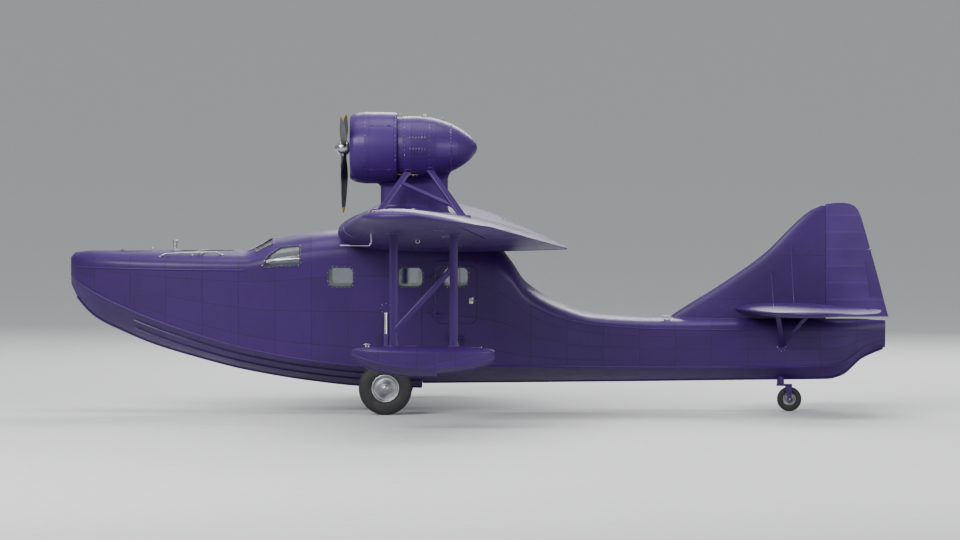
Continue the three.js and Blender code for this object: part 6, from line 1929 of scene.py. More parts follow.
def padPoints(kind):
    # the padded shape as points and faces about its own middle: voxels, then twenty frames of inflated cloth
    s = cushions[kind]
    core = roundedBlock([d - 2 * s["inset"] for d in s["size"]], cushionTrim["corner"])
    start = rawPiece("pad", moved(core, (0, 0, -keelHeight)))
    remesh = start.modifiers.new("remesh", "REMESH")
    remesh.mode = "VOXEL"
    remesh.voxel_size = s["voxel"]
    graph = bpy.context.evaluated_depsgraph_get()
    mesh = bpy.data.meshes.new_from_object(start.evaluated_get(graph))
    start.modifiers.clear()
    start.data = mesh
    before = np.empty(len(mesh.vertices) * 3)
    mesh.vertices.foreach_get("co", before)
    after = before.copy()
    cloth = start.modifiers.new("cloth", "CLOTH").settings
    cloth.use_pressure = True
    cloth.uniform_pressure_force = 4
    cloth.effector_weights.gravity = 0
    cloth.tension_stiffness = 12
    cloth.compression_stiffness = 12
    for number in range(1, cushionTrim["frames"] + 1):
        bpy.context.scene.frame_set(number)
    graph = bpy.context.evaluated_depsgraph_get()
    puffed = start.evaluated_get(graph).to_mesh()
    puffed.vertices.foreach_get("co", after)
    start.evaluated_get(graph).to_mesh_clear()
    bpy.context.scene.frame_set(1)
    move = (after - before).reshape(-1, 3)
    move *= np.minimum(1, s["cap"] / np.maximum(np.linalg.norm(move, axis=1, keepdims=True), 1e-9))
    half = np.array(s["size"]) / 2
    points = np.clip(before.reshape(-1, 3) + move, -half - (0.004, 0.004, 0), half + (0.004, 0.004, 0.006))
    faces = [tuple(face.vertices) for face in mesh.polygons]
    bpy.data.objects.remove(start)
    return quilted(points, kind), faces


def quilted(points, kind):
    # sewn channels press the cloth in along straight lines, each a bell curve: across the top of a seat,
    # 8 mm deep, and across both faces of a bench back, 7 mm deep
    along, down, depth = (2, 1, 0.007) if kind == "benchBack" else (0, 2, 0.008)
    way = np.sign(points[:, 1]) if kind == "benchBack" else points[:, 2] > 0
    for line in cushions[kind]["channels"]:
        away = (points[:, along] - line) / cushionTrim["channelWidth"]
        points[:, down] -= way * depth * np.exp(-away ** 2)
    return points


def leaned(points, lean):
    # turned about the y axis by the lean
    x, y, z = points.T
    return np.stack([x * cos(lean) + z * sin(lean), y, z * cos(lean) - x * sin(lean)], -1)


def putPad(name, kind, shape, place, material, lean=0.0):
    points, faces = shape
    mesh = bpy.data.meshes.new(name)
    mesh.from_pydata((leaned(points, lean) + np.array(place) + (0, 0, keelHeight)).tolist(), [], faces)
    pad = bpy.data.objects.new(name, mesh)
    bpy.context.scene.collection.objects.link(pad)
    mesh.materials.append(material)
    mesh.shade_smooth()
    smooth = pad.modifiers.new("smooth", "SUBSURF")
    smooth.levels = smooth.render_levels = 1
    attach(pad, "airframe")
    lines = [leaned(line, lean) + place for line in pipingLines(kind, shape)]
    return [tube(line, cushionTrim["piping"], 6, closed=True) for line in lines]


def pipingLines(kind, shape):
    # the cord's line round each flat face: an outline snapped to the nearest points and evened out
    size = np.array(cushions[kind]["size"])
    thin = int(np.argmin(size))
    a, b = [k for k in range(3) if k != thin]
    outline = finer(roundedOutline(-size[a] / 2, size[a] / 2, -size[b] / 2, size[b] / 2, 0.035, 6), 0.02)
    tree = BVHTree.FromPolygons(shape[0].tolist(), shape[1])
    lines = []
    for face in (-1, 1):
        spots = np.empty((len(outline), 3))
        spots[:, [a, b]], spots[:, thin] = outline, face * size[thin] * 0.36
        line = np.array([tree.find_nearest(spot)[0] for spot in spots])
        lines.append((np.roll(line, 1, 0) + line + np.roll(line, -1, 0)) / 3)
    return lines


bench = {
    "x": (-2.45, -1.0), "pads": (-2.208, -1.725, -1.242), "seatY": 0.472, "seatZ": 1.061, "backY": 0.668,
    "backZ": 1.385, "drawerY": (0.297, 0.301), "drawerZ": (0.72, 0.93), "drawerHalf": 0.2,
    "base": [(0.30, 0.7003), (0.68, 0.7003), (0.69, 0.99), (0.25, 0.99), (0.25, 0.965), (0.30, 0.94)],
    "board": [(0.728, 0.99), (0.745, 0.99), (0.745, 1.63), (0.728, 1.63)],
}


def makeBenches():
    b = bench
    seat, back = padPoints("benchSeat"), padPoints("benchBack")
    piping = []
    for name, side in hands:
        hand = name.title()
        frames = [slab([(side * y, z) for y, z in b[key]], *b["x"], "yz") for key in ("base", "board")]
        put(f"benchBase{hand}", frames, cabinPaint, stands=[f"bench_{name}"], bevel=0.004)
        (y0, y1), (z0, z1) = b["drawerY"], b["drawerZ"]
        front = [(side * y, z) for y, z in ((y0, z0), (y1, z0), (y1, z1), (y0, z1))]
        drawers = [slab(front, x - b["drawerHalf"], x + b["drawerHalf"], "yz") for x in b["pads"]]
        put(f"benchDrawer{hand}", drawers, cabinLining, bevel=0.002)
        for k, x in enumerate(b["pads"]):
            low, high = (x, side * b["seatY"], b["seatZ"]), (x, side * b["backY"], b["backZ"])
            piping += putPad(f"seatPad{hand}{k + 1}", "benchSeat", seat, low, benchCloth)
            piping += putPad(f"backPad{hand}{k + 1}", "benchBack", back, high, benchCloth)
    put("cushionPiping", piping, hideLeather)


pilotSeat = {
    "x": -3.2, "y": 0.4, "lean": atan2(0.095, 0.65),
    "wings": [(-0.18, 0.44), (0.235, 0.44), (0.275, 0.70), (0.235, 0.69), (0.15, 0.60), (0.0, 0.545),
              (-0.18, 0.52)],
    "strap": [(0.15, 0.205, 0.46), (0.12, 0.19, 0.55), (0.03, 0.12, 0.553), (-0.03, 0.03, 0.553)],
    "strapSection": [(-0.022, 0.0), (-0.022, 0.003), (0.022, 0.003), (0.022, 0.0)],
}


def makePilotSeats():
    p = pilotSeat
    seat, back = padPoints("pilotSeat"), padPoints("pilotBack")
    piping = []
    lean, x, z = p["lean"], p["x"], cabin["cockpitFloorZ"]
    for name, side in hands:
        hand, y = name.title(), side * p["y"]
        pan = roundedOutline(x - 0.215, x + 0.235, y - 0.225, y + 0.225, 0.06)
        rest = roundedOutline(y - 0.215, y + 0.215, z + 0.43, z + 1.08, 0.09, 8)
        rest = slab(rest, x + 0.205, x + 0.235, "yz")
        shell = [slab(pan, z + 0.42, z + 0.45), spun(rest, (x + 0.205, y, z + 0.43), sideways, lean)]
        legs, skids, straps = [], [], []
        for edge in (-1, 1):
            low, high = sorted((y + edge * 0.225, y + edge * 0.207))
            shell.append(slab([(x + a, z + b) for a, b in p["wings"]], low, high, "xz"))
            foot, rail = y + edge * 0.19, y + edge * 0.186
            for at in (x - 0.15, x + 0.17):
                legs.append(rod((at, foot, z + 0.014), (at, y + edge * 0.18, z + 0.425), 0.014))
            legs.append(rod((x - 0.15, rail, z + 0.2), (x + 0.17, rail, z + 0.2), 0.009, 12))
            skid = roundedOutline(x - 0.2, x + 0.22, foot - 0.02, foot + 0.02, 0.01, 3)
            skids.append(slab(skid, z + 0.0003, z + 0.024))
            path = curved([(x + a, y + edge * b, z + c) for a, b, c in p["strap"]], 6)
            straps.append(band(path, (0.25, edge * 0.1, 1.0), p["strapSection"]))
        put(f"pilotSeatShell{hand}", shell, castAluminium, stands=[f"pilot_seat_{name}"], bevel=0.004)
        put(f"pilotSeatLegs{hand}", legs + skids, crackleBlack, bevel=0.002)
        piping += putPad(f"pilotPad{hand}", "pilotSeat", seat, (x - 0.02, y, z + 0.493), hideLeather)
        middle = (x + 0.165 + 0.31 * sin(lean), y, z + 0.78)
        piping += putPad(f"pilotBackPad{hand}", "pilotBack", back, middle, hideLeather, lean)
        put(f"lapStrap{hand}", straps, strapWeb)
        buckle = slab(roundedOutline(x - 0.06, x, y - 0.03, y + 0.03, 0.008, 4), z + 0.552, z + 0.562)
        put(f"buckle{hand}", buckle, platedSteel, bevel=0.002)
    put("pilotPiping", piping, sealRubber, slot="bench_cloth")


makeLining()
makeCeiling()
makeDoorwayEdges()
makeInstruments()
makeColumns()
makeLeversAndPedals()
makeBenches()
makePilotSeats()
print("cabin made")

# Small fittings that are bolted to a surface
def footPlate(point, normal, radius, bolts=8, height=0.01):
    # a round plate, bevelled at its rim, with bolt heads at even turns on 0.82 of its radius
    out = unit(np.array(normal, float))
    rows = [(-0.02, 0.0), (-0.02, radius), (height * 0.5, radius), (height, radius * 0.95), (height, 0.0)]
    spots = np.array(point, float) + out * height + 0.82 * radius * spokes(out, bolts)
    return lathe(rows, point, out, 36), studs(spots, out, radius * 0.085, 0.004)


def putPlates(name, places):
    # many foot plates as one painted piece and their bolts as another; a place is (point, normal, radius)
    plates, heads = zip(*(footPlate(*place) for place in places))
    put(name, plates, plainPaint, bevel=0.001)
    put(f"{name}Bolts", heads, platedSteel, angle=20)


def tieRod(start, stop, radius=0.005, end=0.0095):
    # a thin rod with a thicker threaded end on both sides
    a, b = np.array(start, float), np.array(stop, float)
    reach = float(np.linalg.norm(b - a))
    rows = [(0, end), (0.11, end), (0.125, radius)]
    return lathe(rows + [(reach - at, r) for at, r in rows[::-1]], a, b - a, 10)


def eyeRing(centre, radius, wire):
    # a closed wire ring that stands upright along x
    a = evenTurns(28)
    line = np.array(centre, float) + radius * np.stack([np.cos(a), 0 * a, np.sin(a)], -1)
    return tube(line, wire, 10, closed=True, up=sideways)


def teardrop(point, along, length, radius):
    # a solid of revolution with r = 2.6·radius·sqrt(t)·(1 - t)
    t = (1 - np.cos(np.linspace(0, pi, 16))) / 2
    return lathe(np.column_stack([t * length, radius * 2.6 * np.sqrt(t) * (1 - t)]), point, along, 24)


# Engine fittings
engineTrim = {
    "harnessX": -1.975, "harnessRadius": 0.252, "lead": 0.0062, "intake": 0.021, "caseBolts": 18,
    "leadRoute": [(-1.987, 0.004, 0.33), (-1.975, 0.006, 0.43), (-1.965, 0, 0.478), (-1.93, 0, 0.482)],
    "intakeRoute": [(-1.64, -0.07, 0.225), (-1.67, -0.085, 0.32), (-1.7, -0.07, 0.43),
                    (-1.765, -0.048, 0.505)],
    "plug": [(0, 0.0), (0, 0.013), (0.02, 0.013), (0.022, 0.009), (0.05, 0.008), (0.05, 0.0)],
    "governor": [(0.15, 0.034), (0.235, 0.034), (0.24, 0.02), (0.275, 0.018), (0.275, 0.0)],
    "cowlBands": ((-1.955, 0.611), (-1.447, 0.604)), "nacelleBands": (-1.29, -0.86, -0.5),
    "latches": (52, 128, 232, 308), "latchX": (-1.85, -1.55), "louvreX": np.linspace(-1.21, -0.96, 6),
    "louvreLean": (68, 96), "louvreLength": 0.115, "louvreWidth": 0.034, "louvreHeight": 0.016,
    "oilCap": [(0.52, 0.055), (0.548, 0.055), (0.552, 0.048), (0.552, 0.03), (0.566, 0.028), (0.57, 0.02),
               (0.57, 0.0)],
    "oilCapX": -0.95, "eyesX": (-1.36, -0.66), "clampsX": (-1.3, -1.14),
    "breather": [(-0.78, 0.2, 3.66), (-0.74, 0.21, 3.58), (-0.68, 0.215, 3.53), (-0.6, 0.215, 3.51)],
    "clamp": [(-0.012, 0.024), (-0.012, 0.032), (0.012, 0.032), (0.012, 0.024)],
}


def ringBand(x, radius, width, height):
    # a flat hoop about the engine's axis, its edges sloped over a tenth of its width
    half = width / 2
    rows = [(x - half, radius - 0.004), (x - half * 0.8, radius + height), (x + half * 0.8, radius + height),
            (x + half, radius - 0.004)]
    return onAxis(rows, 96, True)


def ringStuds(x, radius, count, size, forward=False):
    # heads between even turns, facing outward, or forward where that is set
    turn = evenTurns(count) + pi / count
    facing = (-1, 0, 0) if forward else axisOut(turn)
    return studs(axisSpot(np.full(count, x), radius, turn), facing, size, 0.0025)


def louvre(x, lean):
    # a hood in the sheet that rises towards its open back edge: height·sqrt(sin(πu))·v
    e = engineTrim
    u, v = np.meshgrid(np.linspace(0, 1, 11), np.linspace(0, 1, 6), indexing="ij")
    angle = radians(lean) + (u - 0.5) * e["louvreLength"] / 0.54
    xs = x + v * e["louvreWidth"]
    rise = e["louvreHeight"] * np.sqrt(np.sin(pi * u).clip(0)) * v + 0.001
    return patch(axisSpot(xs, nacelleRadius(xs), angle), axisOut(angle), rise[..., None])


def makeEngineFittings():
    e = engineTrim
    x, r = e["harnessX"], e["harnessRadius"]
    ring = axisSpot(np.full(72, x), r, evenTurns(72))
    lead = curved([engineUp(x, 0, r)] + [engineUp(*p) for p in e["leadRoute"]], 5)
    wires = [tube(ring, 0.0115, 12, closed=True)] + roundEngine([tube(lead, e["lead"], 8)], engine["count"])
    put("ignitionHarness", wires, sealRubber, slot="engine_metal")
    plug = lathe(e["plug"], engineUp(-1.962, 0, 0.4815), forwardX, 12)
    intake = tube(curved([engineUp(*p) for p in e["intakeRoute"]], 6), e["intake"], 14)
    put("plugsAndIntakes", roundEngine([plug, intake], engine["count"]), platedSteel, slot="engine_metal")
    sump = block(engineUp(-2.06, -0.045, -0.235), engineUp(-1.985, 0.045, -0.17))
    governor = [lathe(e["governor"], engineUp(-2.035, 0, 0), upZ, 20), sump]
    put("governorAndSump", governor, engineEnamel, bevel=0.003)
    heads = [ringStuds(-1.937, 0.247, e["caseBolts"], 0.008, True), ringStuds(-2.137, 0.103, 8, 0.006, True)]
    put("caseBolts", heads, platedSteel, slot="engine_metal", angle=20)
    breather = tube(curved(e["breather"], 6), 0.014, 14)
    put("breatherPipe", breather, platedSteel)


def makeCowlFittings():
    # hoops and lengthwise strips on the cowling and the nacelle with their fasteners, latches and louvres
    e = engineTrim
    hoops = [(x, float(nacelleRadius(x))) for x in e["nacelleBands"]]
    bands = [ringBand(x, r, 0.026, 0.0025) for x, r in e["cowlBands"]]
    bands += [ringBand(x, r, 0.034, 0.0035) for x, r in hoops]
    for lean in e["latches"]:
        lean = radians(lean)
        xs = np.linspace(-1.94, -1.46, 12)
        radius = np.interp(xs, (-1.94, -1.7, -1.42), (0.612, 0.612, 0.603))
        bands.append(band(axisSpot(xs, radius, lean), axisOut(lean), flatBar(0.03, 0.003)))
        for x in e["latchX"]:
            ends = axisSpot(np.array([x - 0.03, x + 0.03]), 0.608, lean)
            bands.append(band(ends, axisOut(lean), flatBar(0.016, 0.013)))
    put("cowlBands", bands, cowlPaint, angle=40)
    heads = [ringStuds(x, r + 0.0025, 44, 0.0055) for x, r in e["cowlBands"]]
    heads += [ringStuds(x, r + 0.0035, 40, 0.0055) for x, r in hoops]
    put("cowlFasteners", heads, platedSteel, angle=20)
    hoods = [louvre(x, side * lean) for x in e["louvreX"] for lean in e["louvreLean"] for side in (-1, 1)]
    put("nacelleLouvres", hoods, cowlPaint, angle=40)
    caps = [lathe(e["oilCap"], engineUp(e["oilCapX"], 0, 0), upZ, 32)]
    caps += [eyeRing(engineUp(x, 0, float(nacelleRadius(x)) + 0.022), 0.028, 0.007) for x in e["eyesX"]]
    put("oilCapAndLiftingEyes", caps, castAluminium, bevel=0.001)
    for name, side in hands:
        lean = pi - side * radians(engine["pipeLean"])
        places = [axisSpot(x, np.interp(x, *np.array(engine["pipes"]).T), lean) for x in e["clampsX"]]
        clamps = [lathe(e["clamp"], place, forwardX, 20, True) for place in places]
        put(f"pipeClamps{name.title()}", clamps, platedSteel)


def makeMountPlates():
    # a round plate under each strut's foot on the wing, and one at its head on the nacelle
    plates = []
    for side in (-1, 1):
        for x, y, _ in mounts["feet"]:
            plates.append(((x, side * y, wingTopZ(x, y)), upZ, 0.105))
        for x, y, z in mounts["heads"]:
            lean = atan2(side * y, z - engine["z"])
            plates.append((axisSpot(x, nacelleRadius(x) - 0.003, lean), axisOut(lean), 0.085))
    putPlates("mountPlates", plates)


makeEngineFittings()
makeCowlFittings()
makeMountPlates()
print("engine fittings made")

# Wing fittings
wingTrim = {
    "walkway": (0.76, 1.1, 0.1, 0.84), "capY": 1.95, "coverY": (2.7, 4.1, 5.5, 7.4), "lampY": 8.93,
    "landingLight": (-3.4, -3.08), "pitotY": -5.35, "ringY": 4.55, "tabY": (5.5, 6.25), "tabStart": 0.915,
    "armFraction": (0.14, 0.86),
    "cap": [(-0.004, 0.075), (0.004, 0.075), (0.007, 0.068), (0.007, 0.045), (0.012, 0.042), (0.012, 0.0)],
    "mast": [(0, 0.02), (0, -0.13), (-0.02, -0.175), (-0.07, -0.19), (-0.5, -0.19)],
}


def wingSection(y, front=0.0, back=1.0, count=40):
    # the section's outline from the back over the top and nose to the back below, with outward directions
    part = front + (back - front) * (1 - np.cos(np.linspace(0, pi, count))) / 2
    (top, up), (low, down) = (wingSkin(y, part, face) for face in (1, -1))
    return np.concatenate([top[::-1], low[1:]]), np.concatenate([up[::-1], down[1:]])


def wingSpot(x, y, face):
    # the point on the wing's skin above or below a place, by its part of the chord there
    chord, leading, _, _ = wingSize(y)
    return wingSkin(y, (x - leading) / chord, face)


def hingeArm(shape, at, width=0.016):
    # a plate from inside the cove's wall to the hinge line, where the moving nose hides its eye
    chord, thickness, hinge = shape[1](at)
    centre, chordwise, upward = surfaceFrame(shape, at, hinge)
    half = halfThickness(hinge, thickness) * chord
    outline = [(-half - 0.05, -0.6 * half), (0, -0.3 * half), (0, 0.3 * half), (-half - 0.05, 0.6 * half)]
    across = unit(np.cross(chordwise, upward)) * width / 2
    rings = [[centre + a * chordwise + b * upward + s * across for a, b in outline] for s in (-1, 1)]
    return grid(np.array(rings), wrapV=True, caps=True)


def tabParts(shape, low, high, start):
    # a plate on both faces from start to near the trailing edge, with a hinge rod along its front
    at, part = np.meshgrid(np.linspace(low, high, 10), np.linspace(start, 0.992, 6), indexing="ij")
    faces = skins(shape, at, part, halfThickness(part, shape[1](at[:, :1])[1]))
    plates = []
    for skin, other in (faces[::-1], faces):
        out = unit(skin - other)
        plates.append(patch(skin, out, 0.0028))
        plates.append(tube(skin[:, 0] + out[:, 0] * 0.001, 0.0065, 8))
    return plates


def makeWingTopFittings():
    w = wingTrim
    y0, y1, part0, part1 = w["walkway"]
    walks, strips, caps, covers = [], [], [], []
    for side in (-1, 1):
        y, part = np.linspace(side * y0, side * y1, 14)[:, None], np.linspace(part0, part1, 36)[None]
        walks.append(patch(*wingSkin(y, part, 1), 0.003))
        strips.append(band(*wingSection(side * wing["centreHalf"]), flatBar(0.07, 0.0035)))
        point, normal = wingSpot(-1.15, side * w["capY"], 1)
        caps.append(lathe(w["cap"], point, normal, 32))
        ends = point + np.array([(-0.03, 0, 0.012), (0.03, 0, 0.012)])
        caps.append(band(ends, normal, flatBar(0.012, 0.012)))
        for y in w["coverY"]:
            chord, leading, _, _ = wingSize(y)
            covers.append((*wingSpot(leading + chord * 0.55, side * y, -1), 0.085, 10, 0.003))
    put("wingWalkways", walks, walkwayGrit)
    put("wingJointStrips", strips, wingPaint, angle=40)
    put("fuelCaps", caps, castAluminium, bevel=0.001)
    putPlates("wingCovers", covers)


def makeAileronFittings():
    w = wingTrim
    inner, outer = wing["aileronInner"], wing["aileronOuter"]
    for name, side in hands:
        arms = [hingeArm(wingShape, side * (inner + share * (outer - inner))) for share in w["armFraction"]]
        put(f"aileronArms{name.title()}", arms, castAluminium)
        tab = tabParts(wingShape, *(side * y for y in w["tabY"]), w["tabStart"])
        put(f"aileronTab{name.title()}", tab, plainPaint, f"aileron_{name}", slot="wing_paint", angle=40)
        point, _ = wingSpot(wingSize(w["lampY"])[1] + 0.12, side * w["lampY"], 1)
        lens = teardrop(point - (0.035, 0, 0.012), (1, 0, 0.03), 0.15, 0.034)
        put(f"tipLamp{name.title()}", lens, redLens if side < 0 else greenLens)
        x, y, z = point
        base = slab(roundedOutline(x - 0.04, x + 0.12, y - 0.026, y + 0.026, 0.025, 6), z - 0.03, z + 0.004)
        put(f"tipLampBase{name.title()}", base, plainPaint, slot="wing_paint", bevel=0.002)


def makeLandingLight():
    # a pane over the wing's nose, and a frame that runs round its four edges
    rows = [wingSection(y, 0.0, 0.05, 14) for y in np.linspace(*wingTrim["landingLight"], 8)]
    surface, normals = (np.array(part) for part in zip(*rows))
    put("landingLight", patch(surface, normals, 0.003), clearLens)
    edge, out = (np.concatenate([v[0], v[1:-1, -1], v[-1, ::-1], v[-2:0:-1, 0]]) for v in (surface, normals))
    rim = band(edge, out, flatBar(0.022, 0.006), closed=True)
    put("landingLightFrame", rim, plainPaint, slot="wing_paint", angle=40)


def makeUnderwingFittings():
    w = wingTrim
    x, y, z = wingSpot(wingSize(w["pitotY"])[1] + 0.35, w["pitotY"], -1)[0]
    mast = curved([(x + ahead, y, z + up) for ahead, up in w["mast"]], 6)
    put("pitotTube", tube(mast, np.linspace(0.014, 0.0085, len(mast)), 14), platedSteel)
    rings, plates = [], []
    front = wingFloat["strutX"][0]
    for side in (-1, 1):
        point, normal = wingSpot(-1.0, side * w["ringY"], -1)
        rings.append(eyeRing(point - (0, 0, 0.03), 0.03, 0.006))
        plates.append((point, normal, 0.035, 4, 0.005))
        plates += [(*wingSpot(x, side * wingFloat["y"], -1), 0.1) for x in wingFloat["strutX"]]
        plates.append((*wingSpot(front, side * wingFloat["braceY"], -1), 0.08))
    put("tieDownRings", rings, platedSteel)
    putPlates("wingLowerPlates", plates)


# Tail fittings
tailTrim = {
    "rudderArms": (1.53, 2.76), "elevatorArms": (0.592, 2.212), "rudderTab": (1.55, 2.15, 0.93),
    "elevatorTab": (0.7, 1.35), "elevatorTabStart": 0.9, "lampZ": 2.35,
    "rods": [((5.32, 0.04, 2.42), (5.28, 1.72, 1.375)), ((4.98, 0.045, 2.02), (4.95, 1.5, 1.372))],
    "filletX": (3.3, 5.86),
    "fillet": [(-0.045, -0.032), (-0.02, 0.0), (0.0, 0.006), (0.02, 0.0), (0.045, -0.032)],
}


def makeTailFittings():
    t = tailTrim
    arms = [hingeArm(finShape, z) for z in t["rudderArms"]]
    arms += [hingeArm(tailShape, side * y) for y in t["elevatorArms"] for side in (-1, 1)]
    put("tailHingeArms", arms, castAluminium)
    put("rudderTab", tabParts(finShape, *t["rudderTab"]), plainPaint, "rudder", slot="wing_paint", angle=40)
    ends = [[side * y for y in t["elevatorTab"]] for side in (-1, 1)]
    tabs = sum((tabParts(tailShape, *pair, t["elevatorTabStart"]) for pair in ends), [])
    put("elevatorTabs", tabs, plainPaint, "elevator", slot="wing_paint", angle=40)
    back = smoothColumn(fin["rows"], 2, t["lampZ"])
    put("tailLamp", teardrop((back + 0.03, 0, t["lampZ"]), (-1, 0, 0), 0.1, 0.017), clearLens, "rudder")
    wires, plates = [], []
    for side in (-1, 1):
        for pair in t["rods"]:
            high, low = np.array(pair) * (1, side, 1)
            wires.append(tieRod(high, low))
            plates.append((low - (0, 0, 0.002), upZ, 0.032, 4, 0.005))
        heads = [(x, side * tailBrace["headY"], 1.268) for x in tailBrace["headX"]]
        plates += [(head, (0, 0, -1), 0.062, 6, 0.008) for head in heads]
    put("tailTieRods", wires, plainPaint, slot="strut_paint")
    putPlates("tailplanePlates", plates)


def makeFinFillets():
    # a strip along each side of the fin's foot, where its section at 1.2 m meets the deck
    xs = np.linspace(*tailTrim["filletX"], 60)
    rows = np.array(fin["rows"])
    foot = np.interp(1.19, rows[:, 0], rows[:, 1])
    chord = smoothColumn(fin["rows"], 2, 1.2) - foot
    half = halfThickness(np.clip((xs - foot) / chord, 0.002, 1), plateFigures(fin, 1.2)[1]) * chord
    fillets = []
    for side in (-1, 1):
        line = np.stack([xs, side * half, deckZ(xs, half)], -1)
        fillets.append(band(line, (0.0, side * 0.7, 0.7), tailTrim["fillet"]))
    put("finRootFillets", fillets, wingPaint, angle=40)


makeWingTopFittings()
makeAileronFittings()
makeLandingLight()
makeUnderwingFittings()
makeTailFittings()
makeFinFillets()
print("wing and tail fittings made")

# Float, gear and windscreen fittings
floatTrim = {"stripEnds": ((-2.03, -0.705), (-0.685, 0.2)), "hatches": ((-1.08, "fore"), (-0.05, "aft"))}
gearTrim = {
    "wheelBolts": 10, "boltCircle": 0.105, "drum": 0.15, "drumIn": 1.068, "drumOut": 1.132, "pipe": 0.007,
    "pipeRoute": [(-0.06, 1.06, 0.14), (-0.12, 1.04, 0.19), (-0.24, 0.95, 0.34), (-0.38, 0.855, 0.5),
                  (-0.43, 0.815, 0.58)],
    "cap": [(0.0, 0.0), (0.0, 0.068), (0.018, 0.066), (0.034, 0.05), (0.042, 0.025), (0.044, 0.0)],
}


def makeFloatFittings():
    f = wingFloat
    strips, cleats, plates = [], [], []
    for side in (-1, 1):
        y = side * f["y"]
        for key, ends in zip(("fore", "aft"), floatTrim["stripEnds"]):
            xs = np.linspace(*ends, 40)
            keel, chineZ, chineY = (smoothColumn(f[key], c, xs) for c in (1, 2, 3))
            down = np.stack([np.gradient(keel, xs), 0 * xs, -1 + 0 * xs], -1)
            strips.append(band(stacked(xs, y, keel + f["z"]), down, halfRound(0.03, 0.012)))
            for edge in (-1, 1):
                line = np.stack([xs, y + edge * chineY, chineZ + f["z"]], -1)
                strips.append(band(line, (0, edge * 0.8, -0.6), halfRound(0.022, 0.011)))
        cleats += cleat((-1.8, y, smoothColumn(f["fore"], 6, -1.82) + f["z"]), 0.055)
        for x, key in floatTrim["hatches"]:
            top = smoothColumn(f[key], 6, x) + f["z"]
            plates.append(((x, y, top - 0.004), upZ, 0.085, 10, 0.007))
        plates += [((x, y, 0.929), upZ, 0.095) for x in f["strutX"]]
    put("floatStrips", strips, plainPaint, angle=40)
    put("floatCleats", cleats, castAluminium)
    putPlates("floatPlates", plates)


def makeHullPlates():
    # plates where the gear's braces, the shock struts and the tail struts meet the hull, with a lug on two
    x = gear["x"]
    plates, lugs = [], []
    for side in (-1, 1):
        for way in (-1, 1):
            point, normal = hullSide(x + way * gear["braceReach"], 0.53, side)
            plates.append((point - normal * 0.004, normal, 0.1))
        point, normal = hullSide(x, 1.37, side)
        plates.append((point, normal, 0.1))
        low, high = sorted((point[1] - side * 0.01, point[1] + side * 0.045))
        lugs.append(slab(roundedOutline(x - 0.055, x + 0.055, 1.3, 1.42, 0.03, 5), low, high, "xz"))
        y = point[1] + side * 0.03
        lugs.append(rod((x - 0.075, y, 1.355), (x + 0.075, y, 1.355), 0.017, 20))
    putPlates("gearPlates", plates)
    put("gearLugs", lugs, plainPaint, slot="strut_paint", bevel=0.002)
    putPlates("tailStrutPlates", [(*hullSide(tailBrace["foot"][0], 0.69, side), 0.085) for side in (-1, 1)])


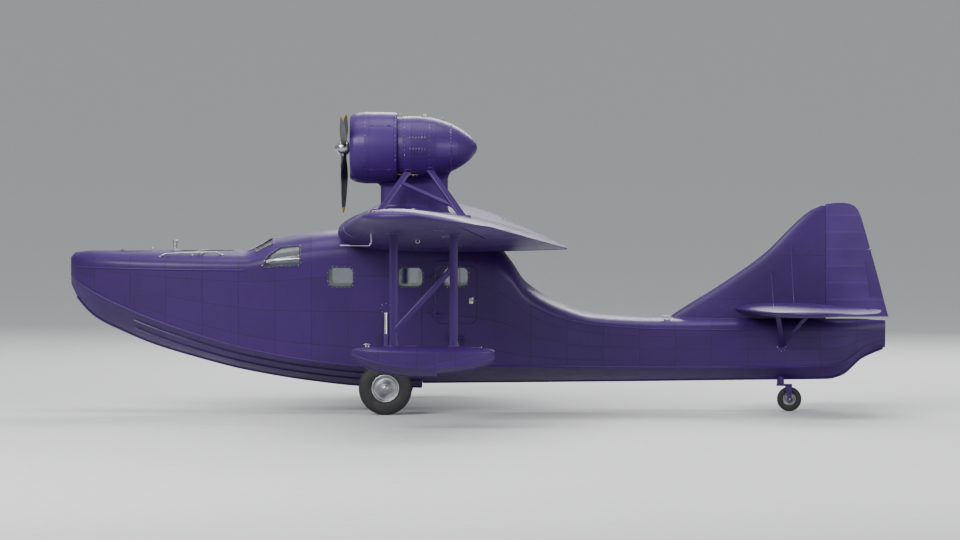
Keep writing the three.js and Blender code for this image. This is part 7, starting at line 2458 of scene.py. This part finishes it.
def makeWheelFittings():
    g, x, low = gearTrim, gear["x"], gear["radius"] - keelHeight
    drum = [(g["drumIn"], 0.05), (g["drumIn"], g["drum"] * 0.8), (g["drumIn"] + 0.012, g["drum"]),
            (g["drumOut"], g["drum"]), (g["drumOut"], 0.05)]
    brakes, pipes = [], []
    for name, side in hands:
        body = f"main_wheel_{name}"
        brakes.append(lathe([(side * a, r) for a, r in drum], (x, 0, low), sideways, 48, True))
        route = curved([(x + ahead, side * y, z) for ahead, y, z in g["pipeRoute"]], 6)
        pipes.append(tube(route, g["pipe"], 10))
        face, cap = (side * (gear["y"] + reach) for reach in (0.062, 0.107))
        a = evenTurns(g["wheelBolts"])
        spots = stacked(x + g["boltCircle"] * np.cos(a), face, low + g["boltCircle"] * np.sin(a))
        heads = studs(spots, (0, side, 0), 0.011, 0.022, 6)
        put(f"wheelBolts{name.title()}", heads, platedSteel, body, angle=20)
        put(f"hubCap{name.title()}", lathe(g["cap"], (x, cap, low), (0, side, 0), 36), castAluminium, body)
    put("brakeDrums", brakes, crackleBlack, bevel=0.002)
    put("brakePipes", pipes, platedSteel)
    t = tailGear
    ends = np.array([(t["x"], side * t["axleY"], t["radius"] - keelHeight) for side in (-1, 1)])
    nuts = studs(ends, [(0, -1, 0), (0, 1, 0)], 0.016, 0.008, 6)
    put("tailAxleNuts", nuts, platedSteel, "tail_fork", angle=20)


def makeWipers():
    # an arm that thins from its round boss, and a blade across its end that touches the pane
    arms, blades = [], []
    for side in (-1, 1):
        at = np.linspace(0, 1, 8)
        path, _ = hullDeck(-3.925 + 0.3 * at, side * (0.36 - 0.12 * at), 0.014)
        arms.append(tube(path, np.linspace(0.007, 0.0045, 8), 10))
        boss = [(-0.005, 0.014), (0.016, 0.014), (0.02, 0.009), (0.02, 0.0)]
        arms.append(lathe(boss, *hullDeck(-3.925, side * 0.36), 16))
        at = np.linspace(-0.5, 0.5, 10)
        path, normal = hullDeck(-3.66 + 0.17 * at, side * (0.26 - 0.26 * at), 0.004)
        blades.append(band(path, normal, flatBar(0.009, 0.012, 0.0)))
    put("wiperArms", arms, platedSteel)
    put("wiperBlades", blades, sealRubber)


makeFloatFittings()
makeHullPlates()
makeWheelFittings()
makeWipers()
print("float, gear and windscreen fittings made")

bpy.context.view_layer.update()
floorMaterial = makeFlatPaint("matt pale studio floor", "#c9cac9", "#d3d3d1", 0.8, 40.0, 0.0004)
reach, height = stage["floorReach"], stage["wallHeight"]
floorRows = [(0.0, r) for r in (0.0, 40.0, 120.0, 300.0, reach)]
turn = np.linspace(0, pi / 2.3, 14)[1:]
rise = [(height * (1 - cos(t)), reach + height * sin(t) * stage["wallSpread"]) for t in turn]
sheet = lathe(floorRows + rise, (0, 0, -keelHeight), upZ, 128)
sheet["rings"] = []
floor = rawPiece("studioFloor", sheet)
floor.data.flip_normals()
floor.data.materials.append(floorMaterial)
floor.data.shade_smooth()
world = bpy.data.worlds.new("studio")
bpy.context.scene.world = world
world.use_nodes = True
sky = world.node_tree.nodes["Background"].inputs
sky["Color"].default_value = linear(stage["sky"])
sky["Strength"].default_value = stage["skyStrength"]
